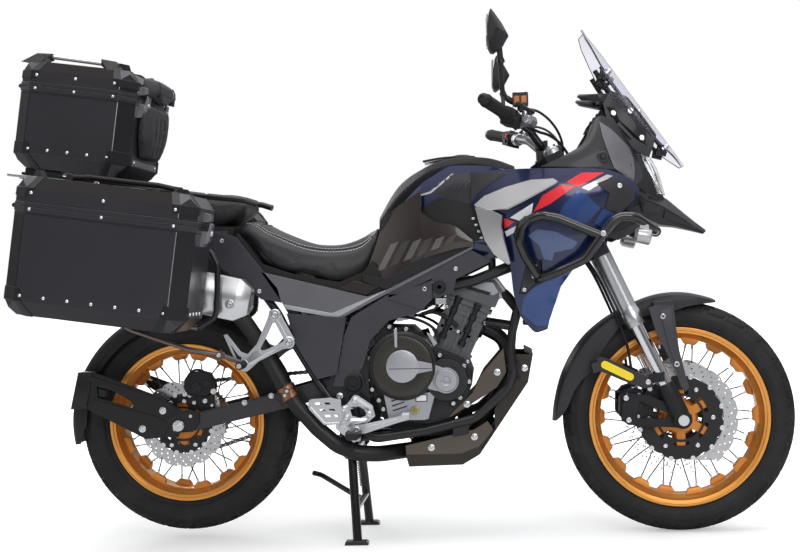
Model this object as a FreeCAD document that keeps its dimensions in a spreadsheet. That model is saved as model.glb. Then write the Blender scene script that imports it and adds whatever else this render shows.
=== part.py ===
import FreeCAD, Part
import Sketcher
import math
import os
from FreeCAD import Placement, Rotation, Vector
from types import SimpleNamespace

# Adventure motorcycle on its centre stand. Millimetres; +X forward, +Y to the rider's left, +Z up.
# The origin is on the ground under the middle of the whole machine.

doc = FreeCAD.newDocument("adventure_motorcycle")

# ---------------------------------------------------------------- driving dimensions
SIZES = (
    # alias, value, what it is
    ("head_x", 480.9, "middle of the steering head"),
    ("head_z", 900.0, "middle of the steering head"),
    ("rake", 24.0, "steering axis from the vertical, degrees"),
    ("fork_offset", 32.0, "fork legs ahead of the steering axis"),
    ("fork_spacing", 210.0, "between the two fork legs"),
    ("fork_outer_radius", 24.0, "upper fork tube"),
    ("fork_inner_radius", 20.5, "sliding fork tube"),
    ("head_tube_length", 170.0, "steering head"),
    ("head_tube_radius", 31.0, "steering head"),
    ("stem_radius", 15.0, "steering stem"),
    ("front_tyre_radius", 329.3, "110/80 on a 19 inch rim"),
    ("front_tyre_width", 110.0, "section width"),
    ("front_flange_radius", 256.0, "rim flange"),
    ("front_rim_width", 92.0, "over the flanges"),
    ("front_disc_radius", 160.0, "brake disc"),
    ("front_disc_gap", 132.0, "between the inner faces of the two discs"),
    ("disc_thickness", 5.0, "every brake disc"),
    ("rear_tyre_radius", 320.9, "150/70 on a 17 inch rim"),
    ("rear_tyre_width", 150.0, "section width"),
    ("rear_flange_radius", 230.7, "rim flange"),
    ("rear_rim_width", 124.0, "over the flanges"),
    ("rear_disc_radius", 125.0, "brake disc"),
    ("rear_hub_width", 190.0, "between disc and sprocket faces"),
    ("rear_axle_z", 345.0, "rear wheel lifted by the centre stand"),
    ("axle_radius", 9.7, "both axles"),
    ("pivot_x", -147.0, "swingarm pivot"),
    ("pivot_z", 455.0, "swingarm pivot"),
    ("arm_reach", 509.0, "swingarm pivot to rear axle"),
    ("arm_inner", 112.0, "inner face of a swingarm arm"),
    ("arm_outer", 142.0, "outer face of a swingarm arm"),
    ("chain_pitch_radius", 106.0, "rear sprocket"),
    ("drive_pitch_radius", 38.0, "gearbox sprocket"),
    ("drive_x", -85.0, "gearbox sprocket"),
    ("drive_z", 450.0, "gearbox sprocket"),
    ("chain_y", 99.0, "middle of the chain"),
    ("chain_width", 16.0, "over the link plates"),
    ("stand_pivot_x", -165.0, "centre stand pivot"),
    ("stand_pivot_z", 262.0, "centre stand pivot"),
    ("stand_width", 304.0, "between the feet of the centre stand"),
    ("stand_foot_ahead", 15.0, "feet ahead of the pivot"),
    ("case_tilt", 8.6, "luggage slopes down towards the front, degrees"),
    ("side_case_length", 490.0, "pannier"),
    ("side_case_width", 230.0, "pannier"),
    ("side_case_body", 285.0, "pannier below its lid"),
    ("side_case_lid", 80.0, "height of the lid"),
    ("side_case_inner", 285.0, "inner wall from the middle plane"),
    ("top_case_length", 341.0, "top case"),
    ("top_case_width", 376.0, "top case"),
    ("top_case_body", 232.0, "top case below its lid"),
    ("top_case_lid", 75.0, "height of the lid"),
    ("case_wall", 4.0, "luggage wall with its liner"),
    ("case_corner", 40.0, "slanted corner and lower edge of the luggage"),
    ("case_gap", 1.0, "between lid and body"),
    ("running_gap", 0.5, "round a turning axle or stem"),
    ("origin_shift", 9.45, "puts the origin under the middle of the length"),
)

sheet = doc.addObject("Spreadsheet::Sheet", "sizes")
for row, (alias, value, meaning) in enumerate(SIZES, 1):
    sheet.set(f"A{row}", alias)
    sheet.set(f"B{row}", str(value))
    sheet.set(f"C{row}", meaning)
    sheet.setAlias(f"B{row}", alias)
doc.recompute()
d = SimpleNamespace(**{alias: float(sheet.get(alias)) for alias, value, meaning in SIZES})

# ---------------------------------------------------------------- places that follow from them
RAKE = math.radians(d.rake)
AXIS = Vector(-math.sin(RAKE), 0, math.cos(RAKE))      # up the steering axis
AHEAD = Vector(math.cos(RAKE), 0, math.sin(RAKE))      # square to it, forwards
ACROSS = Vector(0, 1, 0)
FRONT_Z = d.front_tyre_radius
FRONT_X = d.head_x + (d.head_z - FRONT_Z) * math.tan(RAKE) + d.fork_offset / math.cos(RAKE)
REAR_X = d.pivot_x - d.arm_reach
REAR_Z = d.rear_axle_z
FRONT_AXLE = Vector(FRONT_X, 0, FRONT_Z)
REAR_AXLE = Vector(REAR_X, 0, REAR_Z)
AXIS_FOOT = FRONT_AXLE - AHEAD * d.fork_offset         # on the steering axis, abreast of the axle
HEAD_UP = (d.head_z - AXIS_FOOT.z) / math.cos(RAKE)    # from AXIS_FOOT to the middle of the head
FORK_Y = d.fork_spacing / 2
TILT = math.radians(d.case_tilt)

sub_parts = []


# ---------------------------------------------------------------- helpers
def feature(label, shape):
    """A sub-part whose shape is worked out here from the sizes above."""
    part = doc.addObject("Part::Feature", label)
    part.Label = label
    part.Shape = shape.removeSplitter() if len(shape.Solids) == 1 else shape
    part.setExpression("Placement.Base.x", "sizes.origin_shift")
    sub_parts.append(part)
    return part


def sketch_outline(body, name, role, vertices):
    """A closed outline in a sketch; each vertex is a pair of numbers or sheet expressions."""
    sketch = body.newObject("Sketcher::SketchObject", name)
    base = next(f for f in body.Origin.OriginFeatures if f.Role == role)
    sketch.AttachmentSupport = [(base, "")]
    sketch.MapMode = "FlatFace"

    def number(entry):
        return float(sheet.evalExpression(entry)) if isinstance(entry, str) else entry

    points = [Vector(number(u), number(v), 0) for u, v in vertices]
    count = len(points)
    for index in range(count):
        sketch.addGeometry(Part.LineSegment(points[index], points[(index + 1) % count]))
    for index in range(count):
        sketch.addConstraint(Sketcher.Constraint("Coincident", index, 2, (index + 1) % count, 1))
    for index, (u, v) in enumerate(vertices):
        for kind, entry, value in (("DistanceX", u, points[index].x), ("DistanceY", v, points[index].y)):
            row = sketch.addConstraint(Sketcher.Constraint(kind, -1, 1, index, 1, value))
            if isinstance(entry, str):
                sketch.setExpression(f"Constraints[{row}]", entry)
    return sketch


def turned_body(label, vertices, centre):
    """A body turned about its own Y axis from a section of (radius, lateral) vertices."""
    body = doc.addObject("PartDesign::Body", label)
    body.Label = label
    section = sketch_outline(body, label + "_section", "XY_Plane", vertices)
    turn = body.newObject("PartDesign::Revolution", label + "_turn")
    turn.Profile = section
    turn.ReferenceAxis = (section, ["V_Axis"])
    turn.Angle = 360
    body.Placement.Base = centre + Vector(d.origin_shift, 0, 0)
    sub_parts.append(body)
    return body


def fused(shapes):
    shapes = list(shapes)
    return shapes[0].fuse(shapes[1:]) if len(shapes) > 1 else shapes[0]


def both_sides(shape):
    """The shape and its mirror image across the middle plane, as one compound."""
    return Part.makeCompound([shape, mirrored(shape)])


def mirrored(shape):
    return shape.mirror(Vector(0, 0, 0), ACROSS)


def rod(start, end, radius):
    start = Vector(*start)
    end = Vector(*end)
    return Part.makeCylinder(radius, (end - start).Length, start, end - start)


def ring(centre, outer, inner, y_from, y_to):
    """A flat ring about an axis along Y."""
    start = Vector(centre.x, y_from, centre.z)
    width = y_to - y_from
    solid = Part.makeCylinder(outer, width, start, ACROSS)
    return solid.cut(Part.makeCylinder(inner, width, start, ACROSS)) if inner else solid


def plate(outline, y_from, y_to):
    """A prism across the machine from an outline of (x, z) points."""
    points = [Vector(x, y_from, z) for x, z in outline]
    face = Part.Face(Part.makePolygon(points + points[:1]))
    return face.extrude(Vector(0, y_to - y_from, 0))


def box(x_from, x_to, y_from, y_to, z_from, z_to):
    return Part.makeBox(x_to - x_from, y_to - y_from, z_to - z_from, Vector(x_from, y_from, z_from))


def loft(sections):
    """A ruled solid through closed outlines of the same number of points."""
    wires = [Part.makePolygon([Vector(*p) for p in s] + [Vector(*s[0])]) for s in sections]
    return Part.makeLoft(wires, True, True)


def bent_path(points, bend):
    """Straight runs joined by tangent arcs of radius bend, less where the runs are short."""
    points = [Vector(*p) for p in points]
    edges = []
    last = points[0]
    for before, corner, after in zip(points, points[1:], points[2:]):
        towards = (before - corner).normalize()
        onwards = (after - corner).normalize()
        half = towards.getAngle(onwards) / 2
        room = 0.45 * min((before - corner).Length, (after - corner).Length)
        setback = min(bend / math.tan(half), room)
        radius = setback * math.tan(half)
        enter = corner + towards * setback
        leave = corner + onwards * setback
        inward = (towards + onwards).normalize()
        middle = corner + inward * (radius / math.sin(half) - radius)
        edges.append(Part.LineSegment(last, enter).toShape())
        edges.append(Part.Arc(enter, middle, leave).toShape())
        last = leave
    edges.append(Part.LineSegment(last, points[-1]).toShape())
    return Part.Wire(edges)


def tube(points, radius, bend):
    """A solid round bar along a bent path."""
    path = bent_path(points, bend)
    start = Vector(*points[0])
    direction = Vector(*points[1]) - start
    section = Part.Wire(Part.makeCircle(radius, start, direction))
    return path.makePipeShell([section], True, False)


def side(points, sign):
    """The same points on the right (-1) or the left (+1)."""
    return [(x, sign * y, z) for x, y, z in points]


def on_axis(up, ahead=0.0, across=0.0):
    """A point measured from the steering axis abreast of the front axle."""
    return AXIS_FOOT + AXIS * up + AHEAD * ahead + ACROSS * across


def sheet_solid(rows, thickness):
    """A closed solid from rows of points on its outer face, each quad split in two flat triangles."""
    inner = [[p + thickness for p in row] for row in rows]
    faces = []

    def quad(p, q, r, t):
        faces.append(Part.Face(Part.makePolygon([p, q, r, p])))
        faces.append(Part.Face(Part.makePolygon([p, r, t, p])))

    for (top, low), (top_in, low_in) in zip(zip(rows, rows[1:]), zip(inner, inner[1:])):
        for index in range(len(top) - 1):
            quad(top[index], low[index], low[index + 1], top[index + 1])
            quad(top_in[index], top_in[index + 1], low_in[index + 1], low_in[index])
        quad(top[0], top_in[0], low_in[0], low[0])
        quad(top[-1], low[-1], low_in[-1], top_in[-1])
    for row, row_in in ((rows[0], inner[0]), (rows[-1], inner[-1])):
        for index in range(len(row) - 1):
            quad(row[index], row[index + 1], row_in[index + 1], row_in[index])
    shell = Part.Shell(faces)
    shell.sewShape()
    solid = Part.Solid(Part.Shell(shell.Faces))
    if solid.Volume < 0:
        solid.reverse()
    return solid


def panel(rows, sign, thickness):
    """A bent panel on one side from rows of (x, half width, height), its skin growing inwards."""
    points = [[Vector(x, sign * y, z) for x, y, z in row] for row in rows]
    return sheet_solid(points, Vector(0, -sign * thickness, 0))


# ---------------------------------------------------------------- wheels
BEAD_STEP = 12.5       # rim flange above the bead seat
RIM_WELL = 13.5        # drop centre below the bead seat
RIM_DEPTH = 34.0       # flange to the inside of the rim
LUGS = 18
SPOKE_RADIUS = 2.2


def tyre(label, centre, crown, width, flange, rim):
    """The tyre's closed outer form, down to its beads."""
    half = (
        # radius, lateral distance
        (f"sizes.{flange} - {BEAD_STEP - 0.3}", f"sizes.{rim} / 2 - 7.5"),
        (f"sizes.{flange} + 0.5", f"sizes.{rim} / 2 - 5.6"),
        (f"sizes.{flange} + 2.5", f"sizes.{rim} / 2"),
        (f"sizes.{flange} + 16", f"sizes.{width} / 2 - 1"),
        (f"sizes.{crown} - 39", f"sizes.{width} / 2"),
        (f"sizes.{crown} - 21", f"sizes.{width} / 2 - 4.5"),
        (f"sizes.{crown} - 9", f"sizes.{width} * 0.345"),
        (f"sizes.{crown} - 2.3", f"sizes.{width} * 0.18"),
        (f"sizes.{crown}", f"sizes.{width} * 0.04"),
    )
    other = [(radius, f"-({lateral})") for radius, lateral in reversed(half)]
    return turned_body(label, list(half) + other, centre)


def wire_wheel(centre, flange, width, hub):
    """Rim with its lugs, crossed spokes and hub, one solid."""
    edge = width / 2
    half = (
        # radius, lateral distance
        (flange - RIM_DEPTH, 0.0),
        (flange - RIM_DEPTH, 0.26 * width),
        (flange - 18, edge - 1.5),
        (flange - 8, edge),
        (flange, edge),
        (flange, edge - 5),
        (flange - BEAD_STEP, edge - 7),
        (flange - BEAD_STEP, edge - 24),
        (flange - BEAD_STEP - RIM_WELL, edge - 30),
    )
    outline = [(r, 0, y) for r, y in half] + [(r, 0, -y) for r, y in reversed(half[1:])]
    points = [Vector(r, y, 0) for r, zero, y in outline]
    section = Part.Face(Part.makePolygon(points + points[:1]))
    rim = section.revolve(Vector(0, 0, 0), ACROSS, 360)
    pieces = [rim]
    for index in range(LUGS):
        lug_side = 1 if index % 2 else -1
        lug = Part.makeBox(14, 20, 40, Vector(flange - RIM_DEPTH - 10, -10 + lug_side * 0.2 * width, -20))
        lug = lug.makeChamfer(5, [e for e in lug.Edges if abs(e.BoundBox.XMax - lug.BoundBox.XMin) < 0.1
                                  and e.BoundBox.YLength > 1])
        pieces.append(lug.rotate(Vector(0, 0, 0), ACROSS, index * 360 / LUGS))
    for index in range(2 * LUGS):
        spoke_side = 1 if (index // 2) % 2 else -1
        at_rim = math.radians((index + 0.5) * 180 / LUGS)
        at_hub = at_rim + math.radians(38 if index % 2 else -38)
        inner = Vector((hub.flange - 6) * math.cos(at_hub), spoke_side * hub.spoke_y,
                       (hub.flange - 6) * math.sin(at_hub))
        reach = flange - RIM_DEPTH + 3
        outer = Vector(reach * math.cos(at_rim), spoke_side * 0.2 * width, reach * math.sin(at_rim))
        pieces.append(rod(inner, outer, SPOKE_RADIUS))
    origin = Vector(0, 0, 0)
    pieces.append(ring(origin, hub.barrel, 0, -hub.half_width, hub.half_width))
    for sign in (-1, 1):
        inside = sorted((sign * (hub.spoke_y - 3), sign * (hub.spoke_y + 3)))
        pieces.append(ring(origin, hub.flange, 0, *inside))
        outside = sorted((sign * (hub.half_width - 6), sign * hub.half_width))
        pieces.append(ring(origin, hub.carrier, 0, *outside))
    solid = fused(pieces)
    solid = solid.cut(ring(origin, d.axle_radius + d.running_gap, 0, -200, 200))
    solid.translate(centre)
    return solid


FRONT_HUB = SimpleNamespace(barrel=34, flange=52, spoke_y=34, half_width=d.front_disc_gap / 2, carrier=78)
REAR_HUB = SimpleNamespace(barrel=46, flange=66, spoke_y=46, half_width=d.rear_hub_width / 2, carrier=62)

tyre("front_tyre", FRONT_AXLE, "front_tyre_radius", "front_tyre_width", "front_flange_radius",
     "front_rim_width")
tyre("rear_tyre", REAR_AXLE, "rear_tyre_radius", "rear_tyre_width", "rear_flange_radius",
     "rear_rim_width")
feature("front_rim", wire_wheel(FRONT_AXLE, d.front_flange_radius, d.front_rim_width, FRONT_HUB))
feature("rear_rim", wire_wheel(REAR_AXLE, d.rear_flange_radius, d.rear_rim_width, REAR_HUB))


def brake_disc(centre, radius, bore, lobes, y_inner, thickness):
    """A scalloped disc with a ring of round holes in its carrier."""
    y_from, y_to = sorted((y_inner, y_inner + thickness))
    solid = ring(centre, radius, bore, y_from, y_to)
    holes = []
    for index in range(lobes):
        turn = math.radians(index * 360 / lobes)
        hole = centre + Vector(math.cos(turn), 0, math.sin(turn)) * (0.62 * radius)
        holes.append(ring(hole, 0.07 * radius, 0, y_from, y_to))
        notch = centre + Vector(math.cos(turn), 0, math.sin(turn)) * (radius + 9)
        holes.append(ring(notch, 12, 0, y_from, y_to))
    return solid.cut(holes)


front_face = d.front_disc_gap / 2
right_disc = brake_disc(FRONT_AXLE, d.front_disc_radius, 50, 12, -front_face, -d.disc_thickness)
feature("front_brake_discs", both_sides(right_disc))
feature("rear_brake_disc", brake_disc(REAR_AXLE, d.rear_disc_radius, 48, 10, -d.rear_hub_width / 2,
                                      -d.disc_thickness))

SPROCKET_GAP = 1.5     # between the sprocket's edge and the inside of the chain
SPROCKET_THICKNESS = 7.0
LINK_DEPTH = 7.0       # chain either side of its pitch line
sprocket_y = d.rear_hub_width / 2
feature("rear_sprocket", ring(REAR_AXLE, d.chain_pitch_radius - LINK_DEPTH - SPROCKET_GAP, 48,
                              sprocket_y, sprocket_y + SPROCKET_THICKNESS))


def belt_outline(big, big_radius, small, small_radius):
    """The closed line round two circles, as a wire in the middle plane."""
    span = small - big
    lean = math.acos((big_radius - small_radius) / span.Length)
    along = math.atan2(span.z, span.x)

    def rim(centre, radius, angle):
        return centre + Vector(math.cos(angle), 0, math.sin(angle)) * radius

    top_big = rim(big, big_radius, along + lean)
    top_small = rim(small, small_radius, along + lean)
    low_small = rim(small, small_radius, along - lean)
    low_big = rim(big, big_radius, along - lean)
    return Part.Wire([
        Part.LineSegment(top_big, top_small).toShape(),
        Part.Arc(top_small, rim(small, small_radius, along), low_small).toShape(),
        Part.LineSegment(low_small, low_big).toShape(),
        Part.Arc(low_big, rim(big, big_radius, along + math.pi), top_big).toShape(),
    ])


def chain_loop():
    drive = Vector(d.drive_x, 0, d.drive_z)
    outer = Part.Face(belt_outline(REAR_AXLE, d.chain_pitch_radius + LINK_DEPTH,
                                   drive, d.drive_pitch_radius + LINK_DEPTH))
    inner = Part.Face(belt_outline(REAR_AXLE, d.chain_pitch_radius - LINK_DEPTH,
                                   drive, d.drive_pitch_radius - LINK_DEPTH))
    band = outer.cut(inner)
    band.translate(Vector(0, d.chain_y - d.chain_width / 2, 0))
    return band.extrude(Vector(0, d.chain_width, 0))


feature("chain", chain_loop())

# ---------------------------------------------------------------- axles
AXLES = (
    # label, centre, half length between its nuts
    ("front_axle", FRONT_AXLE, 134.0),
    ("rear_axle", REAR_AXLE, 152.0),
)
for label, centre, half_length in AXLES:
    shaft = rod(centre - ACROSS * half_length, centre + ACROSS * half_length, d.axle_radius)
    nuts = [rod(centre + ACROSS * s * (half_length - 0.5), centre + ACROSS * s * (half_length + 9), 15)
            for s in (-1, 1)]
    feature(label, fused([shaft] + nuts))


# ---------------------------------------------------------------- front mudguard
GUARD_RADIUS = 348.0
GUARD_HALF = 66.0
GUARD_SKIN = 3.0
GUARD_SEAT = 131.5     # inner face of the stays and fork guards
GUARD_OUTER = 135.0


def guard_sector(centre, radius, depth, half_width, start, end, skin):
    """A channel section turned part of the way round a wheel, angles from straight ahead."""
    section = ((radius, -half_width), (radius, half_width), (radius - depth, half_width),
               (radius - depth, half_width - skin), (radius - skin, half_width - skin),
               (radius - skin, -half_width + skin), (radius - depth, -half_width + skin),
               (radius - depth, -half_width))
    points = [Vector(r, y, 0) for r, y in section]
    face = Part.Face(Part.makePolygon(points + points[:1]))
    face.rotate(Vector(0, 0, 0), ACROSS, -start)
    solid = face.revolve(Vector(0, 0, 0), ACROSS, -(end - start))
    solid.translate(centre)
    return solid


GUARD_STAY = ((545, 502), (560, 506), (664, 457), (691, 428), (663, 420), (545, 474))
FORK_GUARD = ((683, 643), (752, 646), (762, 525), (786, 422), (777, 409), (755, 460), (704, 568))
GUARD_ARCS = (
    # start and end in degrees from straight ahead, depth of the skirt
    (71, 81, 18),
    (80, 128, 42),
    (127, 166, 64),
    (165, 180, 26),
)
GUARD_BRIDGES = (
    # outlines of the webs between the skirt and the outer plates
    ((520, 490), (560, 506), (560, 474), (528, 466)),
    ((700, 658), (752, 662), (752, 640), (700, 640)),
)


def front_mudguard():
    pieces = [guard_sector(FRONT_AXLE, GUARD_RADIUS, depth, GUARD_HALF, start, end, GUARD_SKIN)
              for start, end, depth in GUARD_ARCS]
    for sign in (-1, 1):
        for outline in (GUARD_STAY, FORK_GUARD):
            pieces.append(plate(outline, *sorted((sign * GUARD_SEAT, sign * GUARD_OUTER))))
        for outline in GUARD_BRIDGES:
            pieces.append(plate(outline, *sorted((sign * (GUARD_HALF - 2), sign * GUARD_OUTER))))
    return fused(pieces)


feature("front_mudguard", front_mudguard())

# ---------------------------------------------------------------- fork
LOWER_CLAMP = (510.0, 545.0)      # along the axis from the front axle
UPPER_CLAMP = (800.0, 828.0)
UPPER_TUBE = (291.0, 845.0)
INNER_TUBE = (95.0, 300.0)
CASTING_TOP = 110.0
CLAMP_FIT = 0.3


def clamp_plate(bottom, top):
    """A triple clamp square to the steering axis, bored for the fork tubes."""
    corners = ((-38, 30), (-38, -30), (5, -FORK_Y - 31), (52, -FORK_Y - 31), (60, -40), (60, 40),
               (52, FORK_Y + 31), (5, FORK_Y + 31))
    points = [on_axis(bottom, ahead, across) for ahead, across in corners]
    return Part.Face(Part.makePolygon(points + points[:1])).extrude(AXIS * (top - bottom))


def fork_clamps():
    solid = fused([clamp_plate(*LOWER_CLAMP), clamp_plate(*UPPER_CLAMP),
                   rod(on_axis(LOWER_CLAMP[0]), on_axis(UPPER_CLAMP[1] + 12), d.stem_radius)])
    bores = [rod(on_axis(400, d.fork_offset, sign * FORK_Y), on_axis(900, d.fork_offset, sign * FORK_Y),
                 d.fork_outer_radius + CLAMP_FIT) for sign in (-1, 1)]
    return solid.cut(bores)


CALIPER_ARM = ((682, 396), (772, 352), (798, 329), (771, 306), (619, 317), (601, 332), (606, 372),
               (622, 404))
CALIPER_WINDOW = ((650, 385), (742, 342), (728, 330), (640, 335))
GUARD_LUGS = (
    ((676, 434), (676, 456), (722, 464), (722, 440)),
    ((658, 550), (658, 572), (740, 572), (740, 550)),
)


def fork_leg(sign):
    upper = rod(on_axis(UPPER_TUBE[0], d.fork_offset, sign * FORK_Y),
                on_axis(UPPER_TUBE[1], d.fork_offset, sign * FORK_Y), d.fork_outer_radius)
    inner = rod(on_axis(INNER_TUBE[0], d.fork_offset, sign * FORK_Y),
                on_axis(INNER_TUBE[1], d.fork_offset, sign * FORK_Y), d.fork_inner_radius)
    casting = rod(on_axis(-16, d.fork_offset, sign * FORK_Y),
                  on_axis(CASTING_TOP, d.fork_offset, sign * FORK_Y), 26)
    low, high = sorted((sign * 92, sign * 104))
    arm = plate(CALIPER_ARM, low, high).cut(plate(CALIPER_WINDOW, low, high))
    lugs = [plate(outline, *sorted((sign * (FORK_Y + 6), sign * GUARD_SEAT))) for outline in GUARD_LUGS]
    solid = fused([upper, inner, casting, arm] + lugs)
    return solid.cut(ring(FRONT_AXLE, d.axle_radius + CLAMP_FIT, 0, -200, 200))


feature("fork_clamps", fork_clamps())
feature("fork_legs", Part.makeCompound([fork_leg(-1), fork_leg(1)]))

CALIPER = ((607, 330), (634, 318), (668, 336), (672, 392), (656, 416), (618, 412), (600, 385))
SLOT = 2.0             # each side of a disc inside its caliper


def front_caliper(sign):
    body = plate(CALIPER, *sorted((sign * 56, sign * 91.7)))
    slot = ring(FRONT_AXLE, d.front_disc_radius + 4, 0,
                *sorted((sign * (front_face - SLOT), sign * (front_face + d.disc_thickness + SLOT))))
    return body.cut(slot)


feature("front_calipers", Part.makeCompound([front_caliper(-1), front_caliper(1)]))

# ---------------------------------------------------------------- handlebar and what it carries
BAR_RADIUS = 11.0
BAR_HALF = ((402, 74, 1110), (368, 150, 1150), (314, 290, 1176), (252, 425, 1203))
GRIP_FROM, GRIP_TO = Vector(304, 312, 1180), Vector(249, 432, 1204.5)


def handlebar():
    right = side(reversed(BAR_HALF), -1)
    left = side(BAR_HALF, 1)
    bar = tube(right + left, BAR_RADIUS, 60)
    risers = [box(388, 420, *sorted((s * 40, s * 62)), 1070, 1122) for s in (-1, 1)]
    return fused([bar] + risers)


feature("handlebar", handlebar().cut(clamp_plate(UPPER_CLAMP[0] - 200, UPPER_CLAMP[1])))


def along_bar(start, end, sign):
    """Two points on the outer part of the bar, by distance from the inner end of the grip."""
    way = (GRIP_TO - GRIP_FROM).normalize()
    points = [GRIP_FROM + way * reach for reach in (start, end)]
    return [Vector(p.x, sign * p.y, p.z) for p in points]


def grip(sign):
    start, end = along_bar(0, 124, sign)
    tip_start, tip_end = along_bar(124, 146, sign)
    bore_start, bore_end = along_bar(-5, 130, sign)
    solid = fused([rod(start, end, 17), rod(tip_start, tip_end, 15)])
    return solid.cut([rod(bore_start, bore_end, BAR_RADIUS + CLAMP_FIT), handlebar()])


feature("grips", Part.makeCompound([grip(-1), grip(1)]))

# ---------------------------------------------------------------- controls and mirrors
def right_controls():
    start, end = along_bar(-62, -6, -1)
    housing = rod(start, end, 22)
    perch = box(318, 372, -300, -262, 1176, 1204)
    reservoir = box(322, 366, -302, -260, 1203, 1237)
    lever = tube(((352, -284, 1184), (378, -300, 1180), (352, -395, 1186), (338, -420, 1190)), 6, 30)
    return fused([housing, perch, reservoir, lever])


def left_controls():
    start, end = along_bar(-66, -6, 1)
    housing = rod(start, end, 23)
    perch = box(320, 366, 262, 296, 1176, 1200)
    lever = tube(((352, 280, 1184), (378, 300, 1180), (352, 395, 1186), (338, 420, 1190)), 6, 30)
    return fused([housing, perch, lever])


def around_bar(sign):
    start, end = along_bar(-150, 20, sign)
    return rod(start, end, BAR_RADIUS + CLAMP_FIT)


bar = handlebar()
feature("bar_controls", Part.makeCompound([right_controls().cut([around_bar(-1), bar]),
                                           left_controls().cut([around_bar(1), bar])]))

MIRROR_BACK = ((277, 1446), (266, 1391), (262, 1345), (274, 1335), (300, 1352), (318, 1384))


def mirror(sign):
    stalk = tube(side(((330, 281, 1212), (296, 286, 1240), (294, 330, 1352)), sign), 6.5, 18)
    foot = rod((337, sign * 281, 1207), (326, sign * 281, 1217), 9)
    near = [(x, sign * 330, z) for x, z in MIRROR_BACK]
    far = [(268 + (x - 268) * 0.45, sign * 452, 1392 + (z - 1392) * 0.7) for x, z in MIRROR_BACK]
    middle = [(266 + (x - 266) * 1.05, sign * 385, 1392 + (z - 1392) * 1.0) for x, z in MIRROR_BACK]
    return fused([loft([near, middle]), loft([middle, far]), stalk, foot])


feature("mirrors", Part.makeCompound([mirror(-1).cut([right_controls(), bar]),
                                      mirror(1).cut([left_controls(), bar])]))

# ---------------------------------------------------------------- brake hoses
HOSE_RADIUS = 4.0
FREE_BEND = 400.0      # more than the short runs allow, so each bend is as wide as it can be
LOWER_HOSE = ((640, 78, 412), (635, 82, 470), (628, 84, 530), (611, 84, 590), (587, 82, 650),
              (561, 78, 712), (541, 74, 752), (523, 70, 780))
MASTER_HOSE = ((574, -70, 823), (577, -80, 856), (555, -88, 912), (530, -91, 967), (506, -90, 1022),
               (481, -93, 1076), (452, -112, 1118), (420, -148, 1137), (392, -190, 1140), (370, -235, 1149),
               (354, -268, 1179))


def brake_hoses():
    """From each caliper to the lower clamp, and from there to the lever on the right."""
    fittings = [fork_clamps(), front_caliper(-1), front_caliper(1), right_controls()]
    runs = [side(LOWER_HOSE, -1), side(LOWER_HOSE, 1), MASTER_HOSE]
    return [tube(run, HOSE_RADIUS, FREE_BEND).cut(fittings) for run in runs]


feature("brake_hoses", Part.makeCompound(brake_hoses()))

CABLE_RADIUS = 3.5
CABLES = (
    # from the controls on each end of the bar to the front edge of the upper clamp
    ((343, -262, 1190), (362, -236, 1200), (391, -201, 1198), (421, -163, 1180), (446, -125, 1152),
     (461, -93, 1119), (462, -66, 1080)),
    ((343, 262, 1188), (361, 235, 1200), (392, 198, 1200), (424, 158, 1184), (450, 118, 1154),
     (463, 86, 1118), (462, 58, 1080)),
)


def control_cables():
    fittings = [fork_clamps(), right_controls(), left_controls()]
    return [tube(route, CABLE_RADIUS, FREE_BEND).cut(fittings) for route in CABLES]


feature("control_cables", Part.makeCompound(control_cables()))
for kind, radius, routes in (("hose", HOSE_RADIUS, (LOWER_HOSE, LOWER_HOSE, MASTER_HOSE)),
                             ("cable", CABLE_RADIUS, CABLES)):
    for route in routes:
        print(f"{kind} radius {radius} mm, length {bent_path(route, FREE_BEND).Length:.0f} mm")

# ---------------------------------------------------------------- frame
SPAR = ((468, 26, 915), (380, 128, 800), (200, 138, 735), (-40, 138, 690), (-125, 150, 600),
        (-135, 152, 540))
DOWN_TUBE = ((486, 20, 842), (446, 52, 806), (405, 112, 762), (366, 150, 722), (331, 152, 690),
             (303, 154, 590), (297, 158, 540), (303, 160, 480), (286, 160, 432), (192, 160, 350),
             (50, 160, 317), (-92, 160, 298), (-140, 158, 330), (-150, 158, 420))
SEAT_RAIL = ((-60, 120, 690), (-200, 118, 705), (-340, 118, 720), (-470, 118, 815), (-640, 112, 868),
             (-900, 100, 905))
STRUT = ((-215, 154, 412), (-254, 154, 468), (-318, 152, 578), (-355, 150, 654), (-455, 122, 790))
PIVOT_PLATE = ((-228, 440), (-228, 396), (-190, 360), (-180, 305), (-118, 305), (-104, 330),
               (-104, 548), (-82, 566), (-94, 612), (-120, 640), (-150, 610), (-190, 520))
SKID_TAB = ((130, 298), (172, 306), (176, 350), (128, 338))
SKID_TAB_FRONT = ((288, 466), (320, 466), (320, 504), (288, 504))
NOSE_STRUT = ((488, 872), (486, 936), (630, 1024), (652, 1000), (640, 962))
STAND_LUG = ((-188, 340), (-186, 250), (-176, 240), (-152, 240), (-142, 252), (-134, 340))
SIDE_STAND_LUG = ((0, 316), (44, 322), (38, 272), (4, 270))
TUBE_RADIUS = 15.0
FRAME_RODS = (
    # start (x, half width, height), end, radius: engine, radiator, tank and cover fixings
    ((-90, 140, 567), (-90, 150, 567), 8),
    ((303, 154, 600), (212, 106, 618), 9),
    ((250, 136, 753), (250, 118, 812), 9),
    ((-40, 138, 690), (-24, 96, 800), 8),
)
RAIL_CROSSBARS = ((-60, 120, 690), (-470, 118, 815), (-800, 104, 891))
SEAT_FEET = ((-210, 706), (-330, 718))     # rubber feet under the rider's seat
BASH_HALF = 142.0
SIDE_PIVOT = Vector(20, 188, 284)
SIDE_FOOT = Vector(-238, 193, 271)
SIDE_AXIS = Vector(0, 0.905, 0.424).normalize()


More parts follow.
